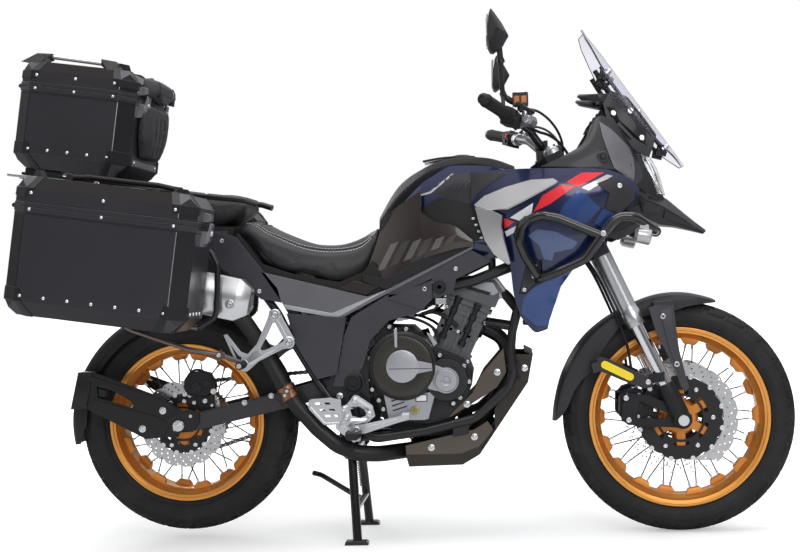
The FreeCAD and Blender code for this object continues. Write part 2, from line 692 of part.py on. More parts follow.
def main_frame():
    head = rod(on_axis(HEAD_UP - d.head_tube_length / 2), on_axis(HEAD_UP + d.head_tube_length / 2),
               d.head_tube_radius)
    pieces = [head]
    for sign in (-1, 1):
        pieces += [
            tube(side(SPAR, sign), TUBE_RADIUS, 60),
            tube(side(DOWN_TUBE, sign), 12.5, 50),
            plate(PIVOT_PLATE, *sorted((sign * 146, sign * 158))),
            plate(STAND_LUG, *sorted((sign * 137, sign * 147))),
        ]
        pieces += [
            plate(SKID_TAB, *sorted((sign * BASH_HALF, sign * 156))),
            plate(SKID_TAB_FRONT, *sorted((sign * BASH_HALF, sign * 156))),
        ]
        pieces += [rod(*side((start, end), sign), radius) for start, end, radius in FRAME_RODS]
    pieces.append(rod((-160, -150, 600), (-160, 150, 600), 10))
    pieces.append(plate(NOSE_STRUT, -18, 18))
    pieces.append(rod((d.pivot_x, -160, d.pivot_z), (d.pivot_x, 160, d.pivot_z), 9))
    stand_pin = Vector(d.stand_pivot_x, 0, d.stand_pivot_z)
    pieces.append(rod(stand_pin - ACROSS * 147, stand_pin + ACROSS * 147, 9))
    pieces.append(plate(SIDE_STAND_LUG, 156, 170))
    pieces.append(rod(SIDE_PIVOT - SIDE_AXIS * 26, SIDE_PIVOT + SIDE_AXIS * 12, 6))
    solid = fused(pieces)
    bore = rod(on_axis(300), on_axis(900), d.stem_radius + d.running_gap)
    return solid.cut(bore)


def rear_subframe():
    """Seat rails and their struts, bolted on behind the main frame."""
    pieces = []
    for sign in (-1, 1):
        pieces.append(tube(side(SEAT_RAIL, sign), 12.5, 60))
        pieces.append(tube(side(STRUT, sign), 11, 50))
        for x, z in SEAT_FEET:
            pieces.append(rod((x, sign * 118, z), (x, sign * 110, z + 75), 7))
    for x, y, z in RAIL_CROSSBARS:
        pieces.append(rod((x, -y, z), (x, y, z), 10))
    return fused(pieces)


# ---------------------------------------------------------------- swingarm, damper and rear brake
ARM_BY_PIVOT = ((-228, -25), (-3, 31), (23, 25), (27, 7), (22, -15), (-194, -67))    # from the pivot
ARM_BY_AXLE = ((50, -15), (-38, -21), (-48, 0), (-38, 23), (50, 35))                  # from the rear axle


def by_pivot(outline):
    return [(d.pivot_x + x, d.pivot_z + z) for x, z in outline]


def by_rear_axle(outline):
    return [(REAR_X + x, REAR_Z + z) for x, z in outline]


def swingarm():
    arm = by_pivot(ARM_BY_PIVOT) + by_rear_axle(ARM_BY_AXLE)
    pieces = [plate(arm, *sorted((s * d.arm_inner, s * d.arm_outer))) for s in (-1, 1)]
    pieces.append(rod((d.pivot_x, -d.arm_outer, d.pivot_z), (d.pivot_x, d.arm_outer, d.pivot_z), 17))
    pieces.append(box(-250, -200, -d.arm_inner, d.arm_inner, 388, 432))
    solid = fused(pieces)
    solid = solid.cut(rod((d.pivot_x, -200, d.pivot_z), (d.pivot_x, 200, d.pivot_z), 9.3))
    return solid.cut(ring(REAR_AXLE, d.axle_radius + CLAMP_FIT, 0, -200, 200))


feature("swingarm", swingarm())

DAMPER_FOOT = (-225, 0, 440)
DAMPER_HEAD = (-160, 0, 730)
damper_way = Vector(*DAMPER_HEAD) - Vector(*DAMPER_FOOT)
coil_from = Vector(*DAMPER_FOOT) + damper_way * 0.16
coil_to = Vector(*DAMPER_FOOT) + damper_way * 0.72
feature("rear_damper", fused([
    rod(DAMPER_FOOT, DAMPER_HEAD, 9),
    rod(coil_from, coil_to, 31),
    rod(coil_to, Vector(*DAMPER_FOOT) + damper_way * 0.9, 22),
    rod((-225, -14, 440), (-225, 14, 440), 7.7),
]).cut(main_frame()))

REAR_CALIPER = ((16, 85), (81, 80), (96, 110), (82, 145), (23, 145), (10, 115))
CALIPER_BRACKET = ((56, 36), (96, 45), (88, 95), (36, 95))


def rear_caliper():
    body = plate(by_rear_axle(REAR_CALIPER), -111, -78)
    slot = ring(REAR_AXLE, d.rear_disc_radius + 4, 0, -sprocket_y - d.disc_thickness - SLOT,
                -sprocket_y + SLOT)
    bracket = plate(by_rear_axle(CALIPER_BRACKET), -112, -105)
    return fused([body.cut(slot), bracket])


feature("rear_caliper", rear_caliper())

AXLE_NUT_ROOM = 17.0
HUGGER_RADIUS = 340.0
HUGGER_HALF = 84.0
HUGGER_PLATE = 4.0
HUGGER_FOOT = ((-247, 159), (-269, 53), (-319, 53), (-294, 159))
HUGGER_STAY = ((-247, 159), (-64, 88), (7, 45), (16, 5), (-4, -33), (-44, -33), (-99, -37), (-269, 53))
HUGGER_WINDOW = ((-239, 117), (-194, 105), (-130, 67), (-134, 54), (-237, 85))


def rear_mudguard():
    pieces = [guard_sector(REAR_AXLE, HUGGER_RADIUS, 48, HUGGER_HALF, 112, 190, GUARD_SKIN)]
    for sign in (-1, 1):
        outside = sign * (d.arm_outer + HUGGER_PLATE)
        stay = plate(by_rear_axle(HUGGER_STAY), *sorted((sign * d.arm_outer, outside)))
        pieces.append(stay.cut(plate(by_rear_axle(HUGGER_WINDOW), *sorted((sign * 100, sign * 200)))))
        pieces.append(plate(by_rear_axle(HUGGER_FOOT), *sorted((sign * (HUGGER_HALF - 4), outside))))
    guard = fused(pieces)
    return guard.cut(ring(REAR_AXLE, AXLE_NUT_ROOM, 0, -200, 200))


feature("rear_mudguard", rear_mudguard())

# ---------------------------------------------------------------- engine
CRANKCASE = ((-112, 549), (-116, 470), (-86, 400), (-60, 345), (60, 335), (150, 372), (176, 420),
             (184, 470), (165, 520), (60, 560), (10, 610), (-70, 612))
SUMP = ((-60, 350), (-50, 292), (110, 292), (150, 372))
CYLINDERS = ((62, 545), (168, 496), (236, 640), (252, 668), (122, 712), (112, 655))
HEAD_COVER = ((126, 706), (252, 668), (280, 668), (284, 708), (262, 742), (160, 752))
LOWER_COVER = ((-70, 440), (90, 430), (64, 350), (-52, 350))


def engine():
    pump = Vector(115, 0, 459)
    clutch = Vector(-5, 0, 502)
    pieces = [
        plate(CRANKCASE, -140, 140),
        plate(SUMP, -95, 95),
        plate(CYLINDERS, -118, 118),
        plate(HEAD_COVER, -112, 112),
        ring(clutch, 92, 0, -180, -138),
        ring(clutch, 86, 0, -196, -178),
        ring(clutch, 46, 0, -201, -190),
        ring(pump, 58, 0, -176, -138),
        ring(pump, 33, 0, -184, -170),
        plate(LOWER_COVER, -172, -138),
        ring(Vector(70, 0, 450), 84, 0, 138, 176),
        ring(Vector(70, 0, 450), 58, 0, 170, 188),
    ]
    solid = fused(pieces)
    groove = plate(belt_slot(), d.chain_y - d.chain_width / 2 - 6, 141)
    return solid.cut(groove)


def belt_slot():
    """Room behind the gearbox for the chain and its sprocket."""
    return ((d.drive_x - 80, d.drive_z + 62), (d.drive_x + 52, d.drive_z + 62),
            (d.drive_x + 52, d.drive_z - 62), (d.drive_x - 80, d.drive_z - 62))


def drive_sprocket():
    drive = Vector(d.drive_x, 0, d.drive_z)
    wheel = ring(drive, d.drive_pitch_radius - LINK_DEPTH, 0, d.chain_y - 4, d.chain_y + 4)
    return fused([wheel, ring(drive, 13, 0, d.chain_y - 14, d.chain_y + 12)])


feature("engine", fused([engine(), drive_sprocket()]))

RADIATOR = ((334, 606), (372, 600), (418, 728), (384, 742))
RADIATOR_HALF = 96.0
RADIATOR_STAY = ((372, 90, 700), (350, 150, 707))
radiator_stays = [rod(*side(RADIATOR_STAY, sign), 6) for sign in (-1, 1)]
radiator = fused([plate(RADIATOR, -RADIATOR_HALF, RADIATOR_HALF)] + radiator_stays)
feature("radiator", radiator.cut(main_frame()))

BASH_OUTER = ((-6, 247), (1, 215), (153, 218), (202, 246), (293, 375), (343, 446), (359, 525), (334, 538))
BASH_ROOM = ((-20, 251), (5, 222), (150, 223), (198, 250), (289, 378), (337, 448), (352, 540), (300, 620),
             (-20, 600))
BASH_CHEEK_LOW = ((-7, 275), (189, 317), (226, 340), (244, 312), (186, 240), (150, 221), (3, 219),
                  (-6, 247))
BASH_CHEEK_HIGH = ((297, 525), (300, 450), (240, 360), (246, 318), (289, 378), (337, 448), (352, 524))


def bash_plate():
    skin = plate(BASH_OUTER, -BASH_HALF, BASH_HALF).cut(plate(BASH_ROOM, -160, 160))
    pieces = [skin]
    for sign in (-1, 1):
        across = sorted((sign * (BASH_HALF - 5), sign * BASH_HALF))
        pieces.append(plate(BASH_CHEEK_LOW, *across))
        pieces.append(plate(BASH_CHEEK_HIGH, *across))
    return fused(pieces)


feature("bash_plate", bash_plate())

# ---------------------------------------------------------------- exhaust
TAIL_PIPE = ((40, -40, 254), (-20, -90, 254), (-80, -150, 254), (-140, -172, 260), (-196, -178, 284),
             (-250, -180, 332), (-305, -181, 396), (-343, -181, 452), (-380, -184, 524),
             (-413, -190, 588), (-442, -201, 636), (-492, -214, 690))


def exhaust_pipes():
    tail = tube(TAIL_PIPE, 22, 90)
    headers = [tube(((214, y, 600), (284, y, 562), (280, y, 440), (204, y * 0.9, 318), (150, y * 0.7, 262),
                     (60, -28 + y * 0.2, 254), (30, -34, 254)), 18, 70) for y in (-48, 48)]
    clamp = rod((-322, -181, 424), (-340, -181, 450), 27)
    return fused([tail] + headers + [clamp]).cut(engine())


feature("exhaust_pipes", exhaust_pipes())

SILENCER_SECTION = ((-44, -18), (-28, -60), (22, -60), (44, -24), (44, 24), (26, 58), (-26, 58), (-44, 20))
SILENCER_FROM = Vector(-456, -216, 702)
SILENCER_TO = Vector(-905, -216, 808)
SILENCER_NOSE = 34.0     # length of the tapered cap, half of it ahead of SILENCER_FROM


def silencer():
    way = (SILENCER_TO - SILENCER_FROM).normalize()
    rise = way.cross(ACROSS).normalize()
    rise = rise if rise.z > 0 else rise * -1

    def section(reach, scale):
        centre = SILENCER_FROM + way * reach
        return [tuple(centre + ACROSS * (a * scale) + rise * (b * scale)) for a, b in SILENCER_SECTION]

    length = (SILENCER_TO - SILENCER_FROM).Length
    cap = loft([section(-SILENCER_NOSE, 0.66), section(0, 1.0)])
    can = fused([cap, loft([section(0, 1.0), section(length, 0.88)])])
    outlet = Part.makeCylinder(24, 30, SILENCER_TO, way)
    bore = Part.makeCylinder(20, 90, SILENCER_TO - way * 40, way)
    inlet = tube(TAIL_PIPE[-3:], 22.2, 90)
    return fused([can, outlet]).cut(bore).cut(inlet)


feature("silencer", silencer())

# ---------------------------------------------------------------- tank, panels and seat
def shell_section(x, levels):
    """A closed outline across the machine from (half width, height) levels, bottom to top."""
    right = [(x, -y, z) for y, z in levels]
    left = [(x, y, z) for y, z in reversed(levels)]
    return right + left


TANK = (
    # x, then half width and height at bottom, belly, shoulder and crown
    (-66, ((70, 800), (84, 850), (76, 900), (40, 926))),
    (-13, ((100, 772), (126, 850), (112, 950), (60, 1012))),
    (58, ((126, 772), (158, 868), (146, 1000), (78, 1062))),
    (120, ((134, 776), (168, 885), (158, 1030), (92, 1084))),
    (190, ((138, 780), (172, 900), (162, 1040), (100, 1090))),
    (290, ((126, 806), (170, 915), (162, 1030), (104, 1078))),
    (324, ((116, 822), (164, 918), (156, 1012), (96, 1056))),
)
tank_sections = [shell_section(x, levels) for x, levels in TANK]
tank = fused([loft(pair) for pair in zip(tank_sections, tank_sections[1:])])
feature("fuel_tank", tank)

SEAT = (
    # x, then half width and height at bottom, flank, shoulder and crown
    (-472, ((96, 880), (110, 892), (102, 912), (72, 920))),
    (-440, ((118, 862), (134, 886), (122, 920), (80, 932))),
    (-366, ((138, 790), (150, 822), (138, 880), (90, 897))),
    (-274, ((142, 762), (152, 792), (140, 844), (90, 860))),
    (-184, ((134, 742), (146, 776), (130, 836), (84, 851))),
    (-115, ((112, 768), (120, 800), (108, 858), (72, 873))),
    (-72, ((84, 848), (92, 868), (84, 898), (56, 910))),
)
seat_sections = [shell_section(x, levels) for x, levels in SEAT]
rider_seat = fused([loft(pair) for pair in zip(seat_sections, seat_sections[1:])])
feature("rider_seat", rider_seat)

PILLION = (
    # x, then half width and height at bottom, flank, shoulder and crown
    (-800, ((96, 925), (110, 965), (100, 1000), (70, 1010))),
    (-560, ((104, 905), (126, 950), (112, 998), (76, 1008))),
    (-484, ((104, 934), (122, 952), (108, 994), (74, 1004))),
    (-446, ((100, 960), (106, 966), (98, 978), (70, 985))),
)
pillion_sections = [shell_section(x, levels) for x, levels in PILLION]


def pillion():
    return fused([loft(pair) for pair in zip(pillion_sections, pillion_sections[1:])])


TAIL = (
    # x, then half width and height at bottom, flank, shoulder and top
    (-900, ((70, 880), (86, 900), (84, 925), (60, 938))),
    (-640, ((100, 850), (122, 872), (122, 918), (96, 926))),
    (-486, ((112, 820), (136, 842), (130, 905), (104, 912))),
)


def tail_outer():
    sections = [shell_section(x, levels) for x, levels in TAIL]
    return fused([loft(pair) for pair in zip(sections, sections[1:])])


feature("pillion_seat", pillion().cut(tail_outer()))


def tail_body():
    shell = tail_outer()
    inner = []
    for x, levels in TAIL:
        low, flank, shoulder, top = levels
        thinner = [(y - 4, z + 4) for y, z in (low, flank)] + [(y - 4, z - 4) for y, z in (shoulder, top)]
        inner.append(shell_section(x, thinner))
    inner[0] = [(x + 5, y, z) for x, y, z in inner[0]]
    inner[-1] = [(x + 5, y, z) for x, y, z in inner[-1]]
    hollow = fused([loft(pair) for pair in zip(inner, inner[1:])])
    lamp = box(-916, -899, -70, 70, 884, 928)
    return fused([shell, lamp]).cut(hollow)


feature("tail_body", tail_body().cut(rear_subframe()))
feature("main_frame", main_frame().cut([tank, engine()]))
feature("rear_subframe", rear_subframe().cut([main_frame(), rider_seat]))

SIDE_COVERS = (
    # outline, inner face from the middle plane, boss towards the frame (x, z, from)
    (((-402, 778), (-318, 752), (-99, 697), (-46, 716), (-202, 655), (-340, 684)), 161.3, (-250, 706, 118)),
    (((-552, 903), (-470, 879), (-431, 827), (-354, 729), (-344, 689), (-402, 700), (-552, 822)), 161.3,
     (-480, 812, 118)),
    (((-330, 658), (-161, 642), (-192, 483), (-248, 470), (-304, 566)), 170.5, (-275, 524, 152)),
    (((-147, 642), (45, 704), (83, 735), (83, 685), (44, 650), (-80, 618), (-96, 560)), 161.3,
     (0, 684, 138)),
)
COVER_SKIN = 6.7
KNEE_PANEL = (
    # rows from the top down, each (x, half width, height) from the rear forwards
    ((-50, 104, 915), (0, 132, 955), (60, 160, 990)),
    ((-75, 122, 840), (-10, 146, 860), (60, 168, 880)),
    ((-108, 138, 757), (-42, 156, 740), (56, 160, 800)),
)
KNEE_SKIN = 5.0


def side_panels():
    right = []
    frames = [main_frame(), rear_subframe()]
    peg_boss = rod((-318, -150, 578), (-318, -230, 578), 11)
    for outline, inner, (x, z, start) in SIDE_COVERS:
        cover = plate(outline, -inner - COVER_SKIN, -inner)
        boss = rod((x, -start, z), (x, -inner - 1, z), 6)
        right.append(fused([cover, boss]).cut(frames + [peg_boss]))
    knee = panel(KNEE_PANEL, -1, KNEE_SKIN)
    knee_boss = rod((20, -120, 880), (20, -150, 880), 8)
    right.append(fused([knee, knee_boss]).cut([tank, rider_seat]))
    return [piece for one in right for piece in (one, mirrored(one))]


feature("side_panels", Part.makeCompound(side_panels()))

FAIRING = (
    # rows from the top down, each (x, half width, height) from the rear forwards
    ((201, 178, 1037), (322, 198, 1038), (440, 214, 1034), (584, 204, 1024), (661, 178, 978)),
    ((206, 186, 962), (312, 214, 980), (440, 234, 985), (560, 226, 975), (656, 186, 950)),
    ((212, 188, 930), (294, 208, 914), (400, 232, 915), (500, 234, 905), (624, 200, 920)),
    ((258, 192, 880), (300, 202, 862), (390, 226, 850), (480, 232, 840), (576, 214, 880)),
    ((300, 190, 790), (330, 198, 790), (400, 214, 790), (455, 220, 780), (530, 216, 812)),
    ((312, 184, 690), (340, 188, 690), (380, 194, 700), (410, 198, 705), (440, 204, 716)),
    ((330, 180, 632), (345, 182, 610), (366, 184, 588), (384, 185, 590), (401, 186, 596)),
)
FAIRING_SKIN = 5.0
CRASH_LOWER = ((345, 154, 712), (386, 222, 735), (432, 252, 752), (505, 256, 784), (556, 256, 852),
               (596, 254, 898), (644, 248, 896), (700, 206, 858), (706, 156, 856))
CRASH_UPPER = ((300, 150, 800), (340, 236, 890), (392, 256, 908), (436, 256, 898), (548, 256, 848))
CRASH_RADIUS = 12.5
BAR_HOLE = 5.0         # round a crash bar where it passes through a fairing
FAIRING_BOSSES = ((300, 965), (240, 900))


def side_fairing(sign):
    holes = [tube(side(path, sign), CRASH_RADIUS + BAR_HOLE, 40) for path in (CRASH_LOWER, CRASH_UPPER)]
    skin = panel(FAIRING, sign, FAIRING_SKIN).cut(holes)
    bosses = [rod((x, sign * 150, z), (x, sign * 216, z), 7) for x, z in FAIRING_BOSSES]
    bosses.append(rod((330, sign * 152, 655), (330, sign * 181, 655), 7))
    outside = panel(FAIRING, sign, -60)
    return fused([skin] + [boss.cut([tank, main_frame(), outside]) for boss in bosses])


feature("side_fairings", Part.makeCompound([side_fairing(-1), side_fairing(1)]))

COWL = (
    # rows from the top down, each (x, half width, height) from the rear forwards
    ((542, 150, 1142), (566, 146, 1178), (613, 136, 1152), (652, 116, 1090)),
    ((500, 186, 1078), (550, 182, 1100), (618, 162, 1086), (668, 126, 1044)),
    ((430, 198, 1062), (530, 198, 1058), (606, 180, 1036), (676, 136, 998)),
    ((393, 200, 1042), (480, 204, 1034), (590, 196, 1026), (652, 164, 984)),
)
COWL_SKIN = 5.0
BEAK = (
    # lower point, upper point (x, z), then half width at bottom, shoulder and top
    ((640, 900), (690, 985), (96, 126, 84)),
    ((722, 872), (753, 947), (64, 86, 52)),
    ((790, 867), (812, 898), (34, 46, 26)),
    ((857, 850), (864, 855), (12, 15, 10)),
)
SCREEN_MOUNT = ((577, 1223), (604, 1262), (660, 1222), (722, 1130), (705, 1078), (668, 1070), (600, 1120),
                (579, 1198))
NOSE_FRONT = ((608, 1120), (640, 1104), (652, 1088), (668, 1042), (676, 996), (650, 990), (620, 1040))
NOSE_LOWER = ((640, 1000), (676, 994), (700, 962), (690, 900), (650, 892), (632, 915))
COWL_BAR = Vector(588, 0, 1146)
SHOULDER = 0.6         # height of the beak's widest line, as a share


def beak():
    sections = []
    for (low_x, low_z), (top_x, top_z), (low, wide, top) in BEAK:
        wide_x = low_x + (top_x - low_x) * SHOULDER
        wide_z = low_z + (top_z - low_z) * SHOULDER
        sections.append([(low_x, -low, low_z), (wide_x, -wide, wide_z), (top_x, -top, top_z),
                         (top_x, top, top_z), (wide_x, wide, wide_z), (low_x, low, low_z)])
    return fused([loft(pair) for pair in zip(sections, sections[1:])])


def nose_fairing():
    pieces = [beak(), plate(NOSE_FRONT, -128, 128), plate(NOSE_LOWER, -128, 128)]
    for sign in (-1, 1):
        pieces.append(panel(COWL, sign, COWL_SKIN))
        pieces.append(plate(SCREEN_MOUNT, *sorted((sign * 106, sign * 112))))
        pieces.append(rod((640, sign * 120, 1040), (640, sign * 160, 1040), 7))
    pieces.append(rod(COWL_BAR - ACROSS * 140, COWL_BAR + ACROSS * 140, 7))
    return fused(pieces).cut([main_frame(), windscreen(SCREEN_SKIN), windscreen(SCREEN_SKIN * -20)])


SCREEN = (
    # x and height on the middle line, half width, how far the edge lies back
    (531, 1441, 70, 8),
    (572, 1385, 118, 24),
    (620, 1316, 148, 40),
    (690, 1214, 150, 44),
    (754, 1122, 110, 30),
    (806, 1045, 30, 8),
)
SCREEN_SKIN = Vector(-3.4, 0, -2.2)


def windscreen(skin):
    rows = []
    for x, z, half, back in SCREEN:
        rows.append([Vector(x - back * abs(share) ** 1.6, share * half, z - 0.4 * back * abs(share) ** 1.6)
                     for share in (-1, -0.55, 0, 0.55, 1)])
    return sheet_solid(rows, skin)


feature("windscreen", windscreen(SCREEN_SKIN))
feature("nose_fairing", nose_fairing())

HEADLAMP = ((676, 1070), (701, 1091), (729, 1039), (750, 963), (744, 949), (700, 962), (672, 1000))
feature("headlamp", plate(HEADLAMP, -88, 88).cut(nose_fairing()))
DISPLAY = ((576, 1203), (548, 1174), (534, 1156), (552, 1140), (590, 1136), (598, 1180))
DISPLAY_STEM = ((536, 1160), (506, 1112), (520, 1106), (564, 1138), (570, 1160))
feature("instruments", fused([plate(DISPLAY, -78, 78), plate(DISPLAY_STEM, -20, 20)]).cut(nose_fairing()))

# ---------------------------------------------------------------- crash bars
def crash_bars():
    one = fused([tube(side(path, -1), CRASH_RADIUS, 40) for path in (CRASH_LOWER, CRASH_UPPER)])
    return both_sides(one.cut(main_frame()))


feature("crash_bars", crash_bars())

# ---------------------------------------------------------------- foot pegs
PASSENGER_BRACKET = ((-355, 668), (-343, 654), (-306, 580), (-318, 566), (-438, 500), (-455, 508),
                     (-500, 600), (-492, 604), (-452, 552), (-408, 575), (-372, 660))
PASSENGER_WINDOW = ((-356, 636), (-328, 582), (-396, 556))


def passenger_pegs():
    bracket = plate(PASSENGER_BRACKET, -223, -215).cut(plate(PASSENGER_WINDOW, -230, -200))
    bosses = [rod((x, -216, z), (x, -150, z), 9) for x, z in ((-355, 656), (-318, 578))]
    peg = rod((-446, -220, 520), (-446, -296, 520), 11)
    return fused([bracket, peg] + bosses)


RIDER_BRACKET = ((-138, 425), (-92, 372), (-110, 330), (-142, 297), (-191, 330), (-190, 360), (-160, 400))
HEEL_GUARD = ((-267, 416), (-205, 420), (-180, 360), (-183, 345), (-224, 343), (-251, 371))


def rider_pegs(lever):
    bracket = plate(RIDER_BRACKET, -206, -199)
    guard = plate(HEEL_GUARD, -212, -205)
    peg = rod((-140, -200, 318), (-140, -292, 322), 14)
    post = rod((-138, -205, 405), (-138, -150, 405), 10)
    return fused([bracket, guard, peg, post] + lever)


def foot_pegs():
    pedal = tube(((-134, -214, 331), (-80, -214, 338), (6, -214, 366)), 6, 60)
    pedal_end = rod((4, -234, 366), (4, -200, 366), 8)
    pedal_hub = rod((-134, -222, 331), (-134, -204, 331), 11)
    brake_side = rider_pegs([pedal, pedal_end, pedal_hub])
    lever = tube(((-134, -214, 331), (-60, -214, 322), (18, -214, 328)), 6, 60)
    lever_end = rod((16, -244, 328), (16, -206, 328), 8)
    gear_side = mirrored(rider_pegs([lever, lever_end, pedal_hub]))
    rear = passenger_pegs()
    frames = [main_frame(), rear_subframe()]
    sets = [brake_side, gear_side, rear, mirrored(rear)]
    return Part.makeCompound([piece.cut(frames) for piece in sets])


feature("foot_pegs", foot_pegs())

# ---------------------------------------------------------------- stands
STAND_TOP_Y = 108.0
STAND_LEG_RADIUS = 13.0
STAND_LEG_END = 6.0      # height of the legs' lower ends, inside the feet
STAND_BRACE_Z = 96.0
STAND_PIN_RADIUS = 9.0
STAND_TANG = [(-200, 160, 92), (-300, 186, 148), (-326, 200, 152)]     # the lever for the rider's foot


def centre_stand():
    pivot = Vector(d.stand_pivot_x, 0, d.stand_pivot_z)
    foot_x = d.stand_pivot_x + d.stand_foot_ahead
    foot_y = d.stand_width / 2
    pieces = [rod(pivot - ACROSS * 135, pivot + ACROSS * 135, 16)]
    for sign in (-1, 1):
        pieces.append(rod((pivot.x, sign * STAND_TOP_Y, pivot.z), (foot_x, sign * foot_y, STAND_LEG_END),
                          STAND_LEG_RADIUS))
        pieces.append(box(foot_x - 34, foot_x + 30, *sorted((sign * (foot_y - 18), sign * (foot_y + 18))),
                          0, 8))
    low = STAND_BRACE_Z
    ratio = (pivot.z - low) / (pivot.z - STAND_LEG_END)
    cross_x = pivot.x + (foot_x - pivot.x) * ratio
    cross_y = STAND_TOP_Y + (foot_y - STAND_TOP_Y) * ratio
    pieces.append(rod((cross_x, -cross_y, low), (cross_x, cross_y, low), 10))
    pieces.append(tube([(foot_x - 2, 146, 70)] + STAND_TANG, 8, 40))
    bore = rod((pivot.x, -200, pivot.z), (pivot.x, 200, pivot.z), STAND_PIN_RADIUS + d.running_gap)
    return fused(pieces).cut(bore)


feature("centre_stand", centre_stand())

side_way = (SIDE_FOOT - SIDE_PIVOT).normalize()
side_leg = fused([
    rod(SIDE_PIVOT + side_way * 6, SIDE_FOOT, 11),
    rod(SIDE_PIVOT - SIDE_AXIS * 9, SIDE_PIVOT + SIDE_AXIS * 9, 18),
    box(-262, -216, 178, 208, 260, 268),
])
feature("side_stand", side_leg.cut(rod(SIDE_PIVOT - SIDE_AXIS * 40, SIDE_PIVOT + SIDE_AXIS * 40,
                                       6 + d.running_gap)))

# ---------------------------------------------------------------- luggage
LOWER_SLANT = 38.0
UPPER_SLANT = 30.0
HINGE_BACK = 6.5       # hinge line behind the rear wall
HINGE_RADIUS = 6.0
HINGE_SEAM = 0.5       # from the hinge line to the leaf


class Case:
    """A metal case in its own sloping frame: forwards, across, up from the lower rear corner."""

    def __init__(self, name, length, width, body, lid, rear_x, floor_z, inner_y, sign):
        self.name = name
        self.length = length
        self.width = width
        self.body = body
        self.lid = lid
        self.inner_y = inner_y
        self.sign = sign
        self.place = Placement(Vector(rear_x, 0, floor_z), Rotation(ACROSS, d.case_tilt))

    def block(self, inset, bottom, top):
        """A prism with slanted corners."""
        length, width, corner = self.length, self.width, d.case_corner
        low_x, high_x = inset, length - inset
        low_y, high_y = self.inner_y + inset, self.inner_y + width - inset
        cut = corner - inset * 0.6
        inner_cut = cut if self.inner_y < 0 else 12
        outline = [(low_x + inner_cut, low_y), (high_x - inner_cut, low_y), (high_x, low_y + inner_cut),
                   (high_x, high_y - cut), (high_x - cut, high_y), (low_x + cut, high_y),
                   (low_x, high_y - cut), (low_x, low_y + inner_cut)]
        points = [Vector(x, y, bottom) for x, y in outline]
        return Part.Face(Part.makePolygon(points + points[:1])).extrude(Vector(0, 0, top - bottom))

    def slant(self, level, rise):
        """A hipped block: full outline at level + rise, drawn in by the same amount at level."""
        inset = abs(rise)
        back, front = inset, self.length - inset
        inner = self.inner_y + (inset if self.inner_y < 0 else 0)
        outer = self.inner_y + self.width - inset
        far = [(back, inner, level), (front, inner, level), (front, outer, level), (back, outer, level)]
        return loft([far, self.rectangle(level + rise)])

    def rectangle(self, level):
        inner, outer = self.inner_y, self.inner_y + self.width
        back, front = 0, self.length
        return [(back, inner, level), (front, inner, level), (front, outer, level), (back, outer, level)]

    def bar(self, bottom, top):
        """The case's full outline between two levels."""
        return Part.makeBox(self.length, self.width, top - bottom, Vector(0, self.inner_y, bottom))

    def shell(self):
        wall = d.case_wall
        body = self.block(0, 0, self.body)
        keep = fused([self.slant(0, LOWER_SLANT), self.bar(LOWER_SLANT, self.body)])
        inner = self.block(wall, wall, self.body + 1)
        inner_keep = fused([self.slant(wall, LOWER_SLANT), self.bar(LOWER_SLANT + wall, self.body + 2)])
        hollow = body.common(keep).cut(inner.common(inner_keep))
        return fused([hollow] + self.knuckles(False))

    def cover(self):
        wall = d.case_wall
        low = self.body + d.case_gap
        top = self.body + self.lid
        lid = self.block(0, low, top)
        keep = fused([self.slant(top, -UPPER_SLANT), self.bar(low, top - UPPER_SLANT)])
        inner = self.block(wall, low - 1, top - wall)
        inner_keep = fused([self.slant(top - wall, -UPPER_SLANT),
                            self.bar(low - 2, top - UPPER_SLANT - wall)])
        hollow = lid.common(keep).cut(inner.common(inner_keep))
        return fused([hollow] + self.knuckles(True))

    def knuckles(self, on_lid):
        """Hinge barrels along the rear edge: the middle one on the body, the outer two on the lid."""
        middle_y = self.inner_y + self.width / 2
        reach = self.width / 2 - d.case_corner - 6
        low, high = (HINGE_SEAM, HINGE_SEAM + 6) if on_lid else (-HINGE_SEAM - 6, -HINGE_SEAM)
        spans = ((-reach, -reach / 3), (reach / 3, reach)) if on_lid else ((-reach / 3 + 1, reach / 3 - 1),)
        level = self.body + d.case_gap / 2
        pieces = []
        for y_from, y_to in spans:
            start = Vector(-HINGE_BACK, middle_y + y_from, level)
            pieces.append(Part.makeCylinder(HINGE_RADIUS, y_to - y_from, start, ACROSS))
            pieces.append(Part.makeBox(HINGE_BACK + 0.5, y_to - y_from, high - low,
                                       Vector(-HINGE_BACK, middle_y + y_from, level + low)))
        return pieces

    def placed(self, shape):
        shape = shape.copy()
        shape.Placement = self.place.multiply(shape.Placement)
        return mirrored(shape) if self.sign < 0 else shape


def case_corner_point(u, w):
    """Back from the sloping frame through the ground origin to (x, z)."""
    return (u * math.cos(TILT) + w * math.sin(TILT), -u * math.sin(TILT) + w * math.cos(TILT))


side_x, side_z = case_corner_point(-1126, 527)
top_x, top_z = case_corner_point(-1277, 928)
CASES = (
    Case("side_case_right", d.side_case_length, d.side_case_width, d.side_case_body, d.side_case_lid,
         side_x, side_z, d.side_case_inner, -1),
    Case("side_case_left", d.side_case_length, d.side_case_width, d.side_case_body, d.side_case_lid,
         side_x, side_z, d.side_case_inner, 1),
    Case("top_case", d.top_case_length, d.top_case_width, d.top_case_body, d.top_case_lid,
         top_x, top_z, -d.top_case_width / 2, 1),
)
for case in CASES:
    feature(case.name, case.placed(case.shell()))
    feature(case.name + "_lid", case.placed(case.cover()))

PAD_ROWS = (
    # up the case's front face, proud of it, half width at the face, half width at the front
    (62, 36, 92, 70),
    (120, 44, 112, 92),
    (226, 40, 116, 96),
    (238, 30, 104, 84),
    (262, 52, 112, 92),
    (302, 40, 104, 84),
)


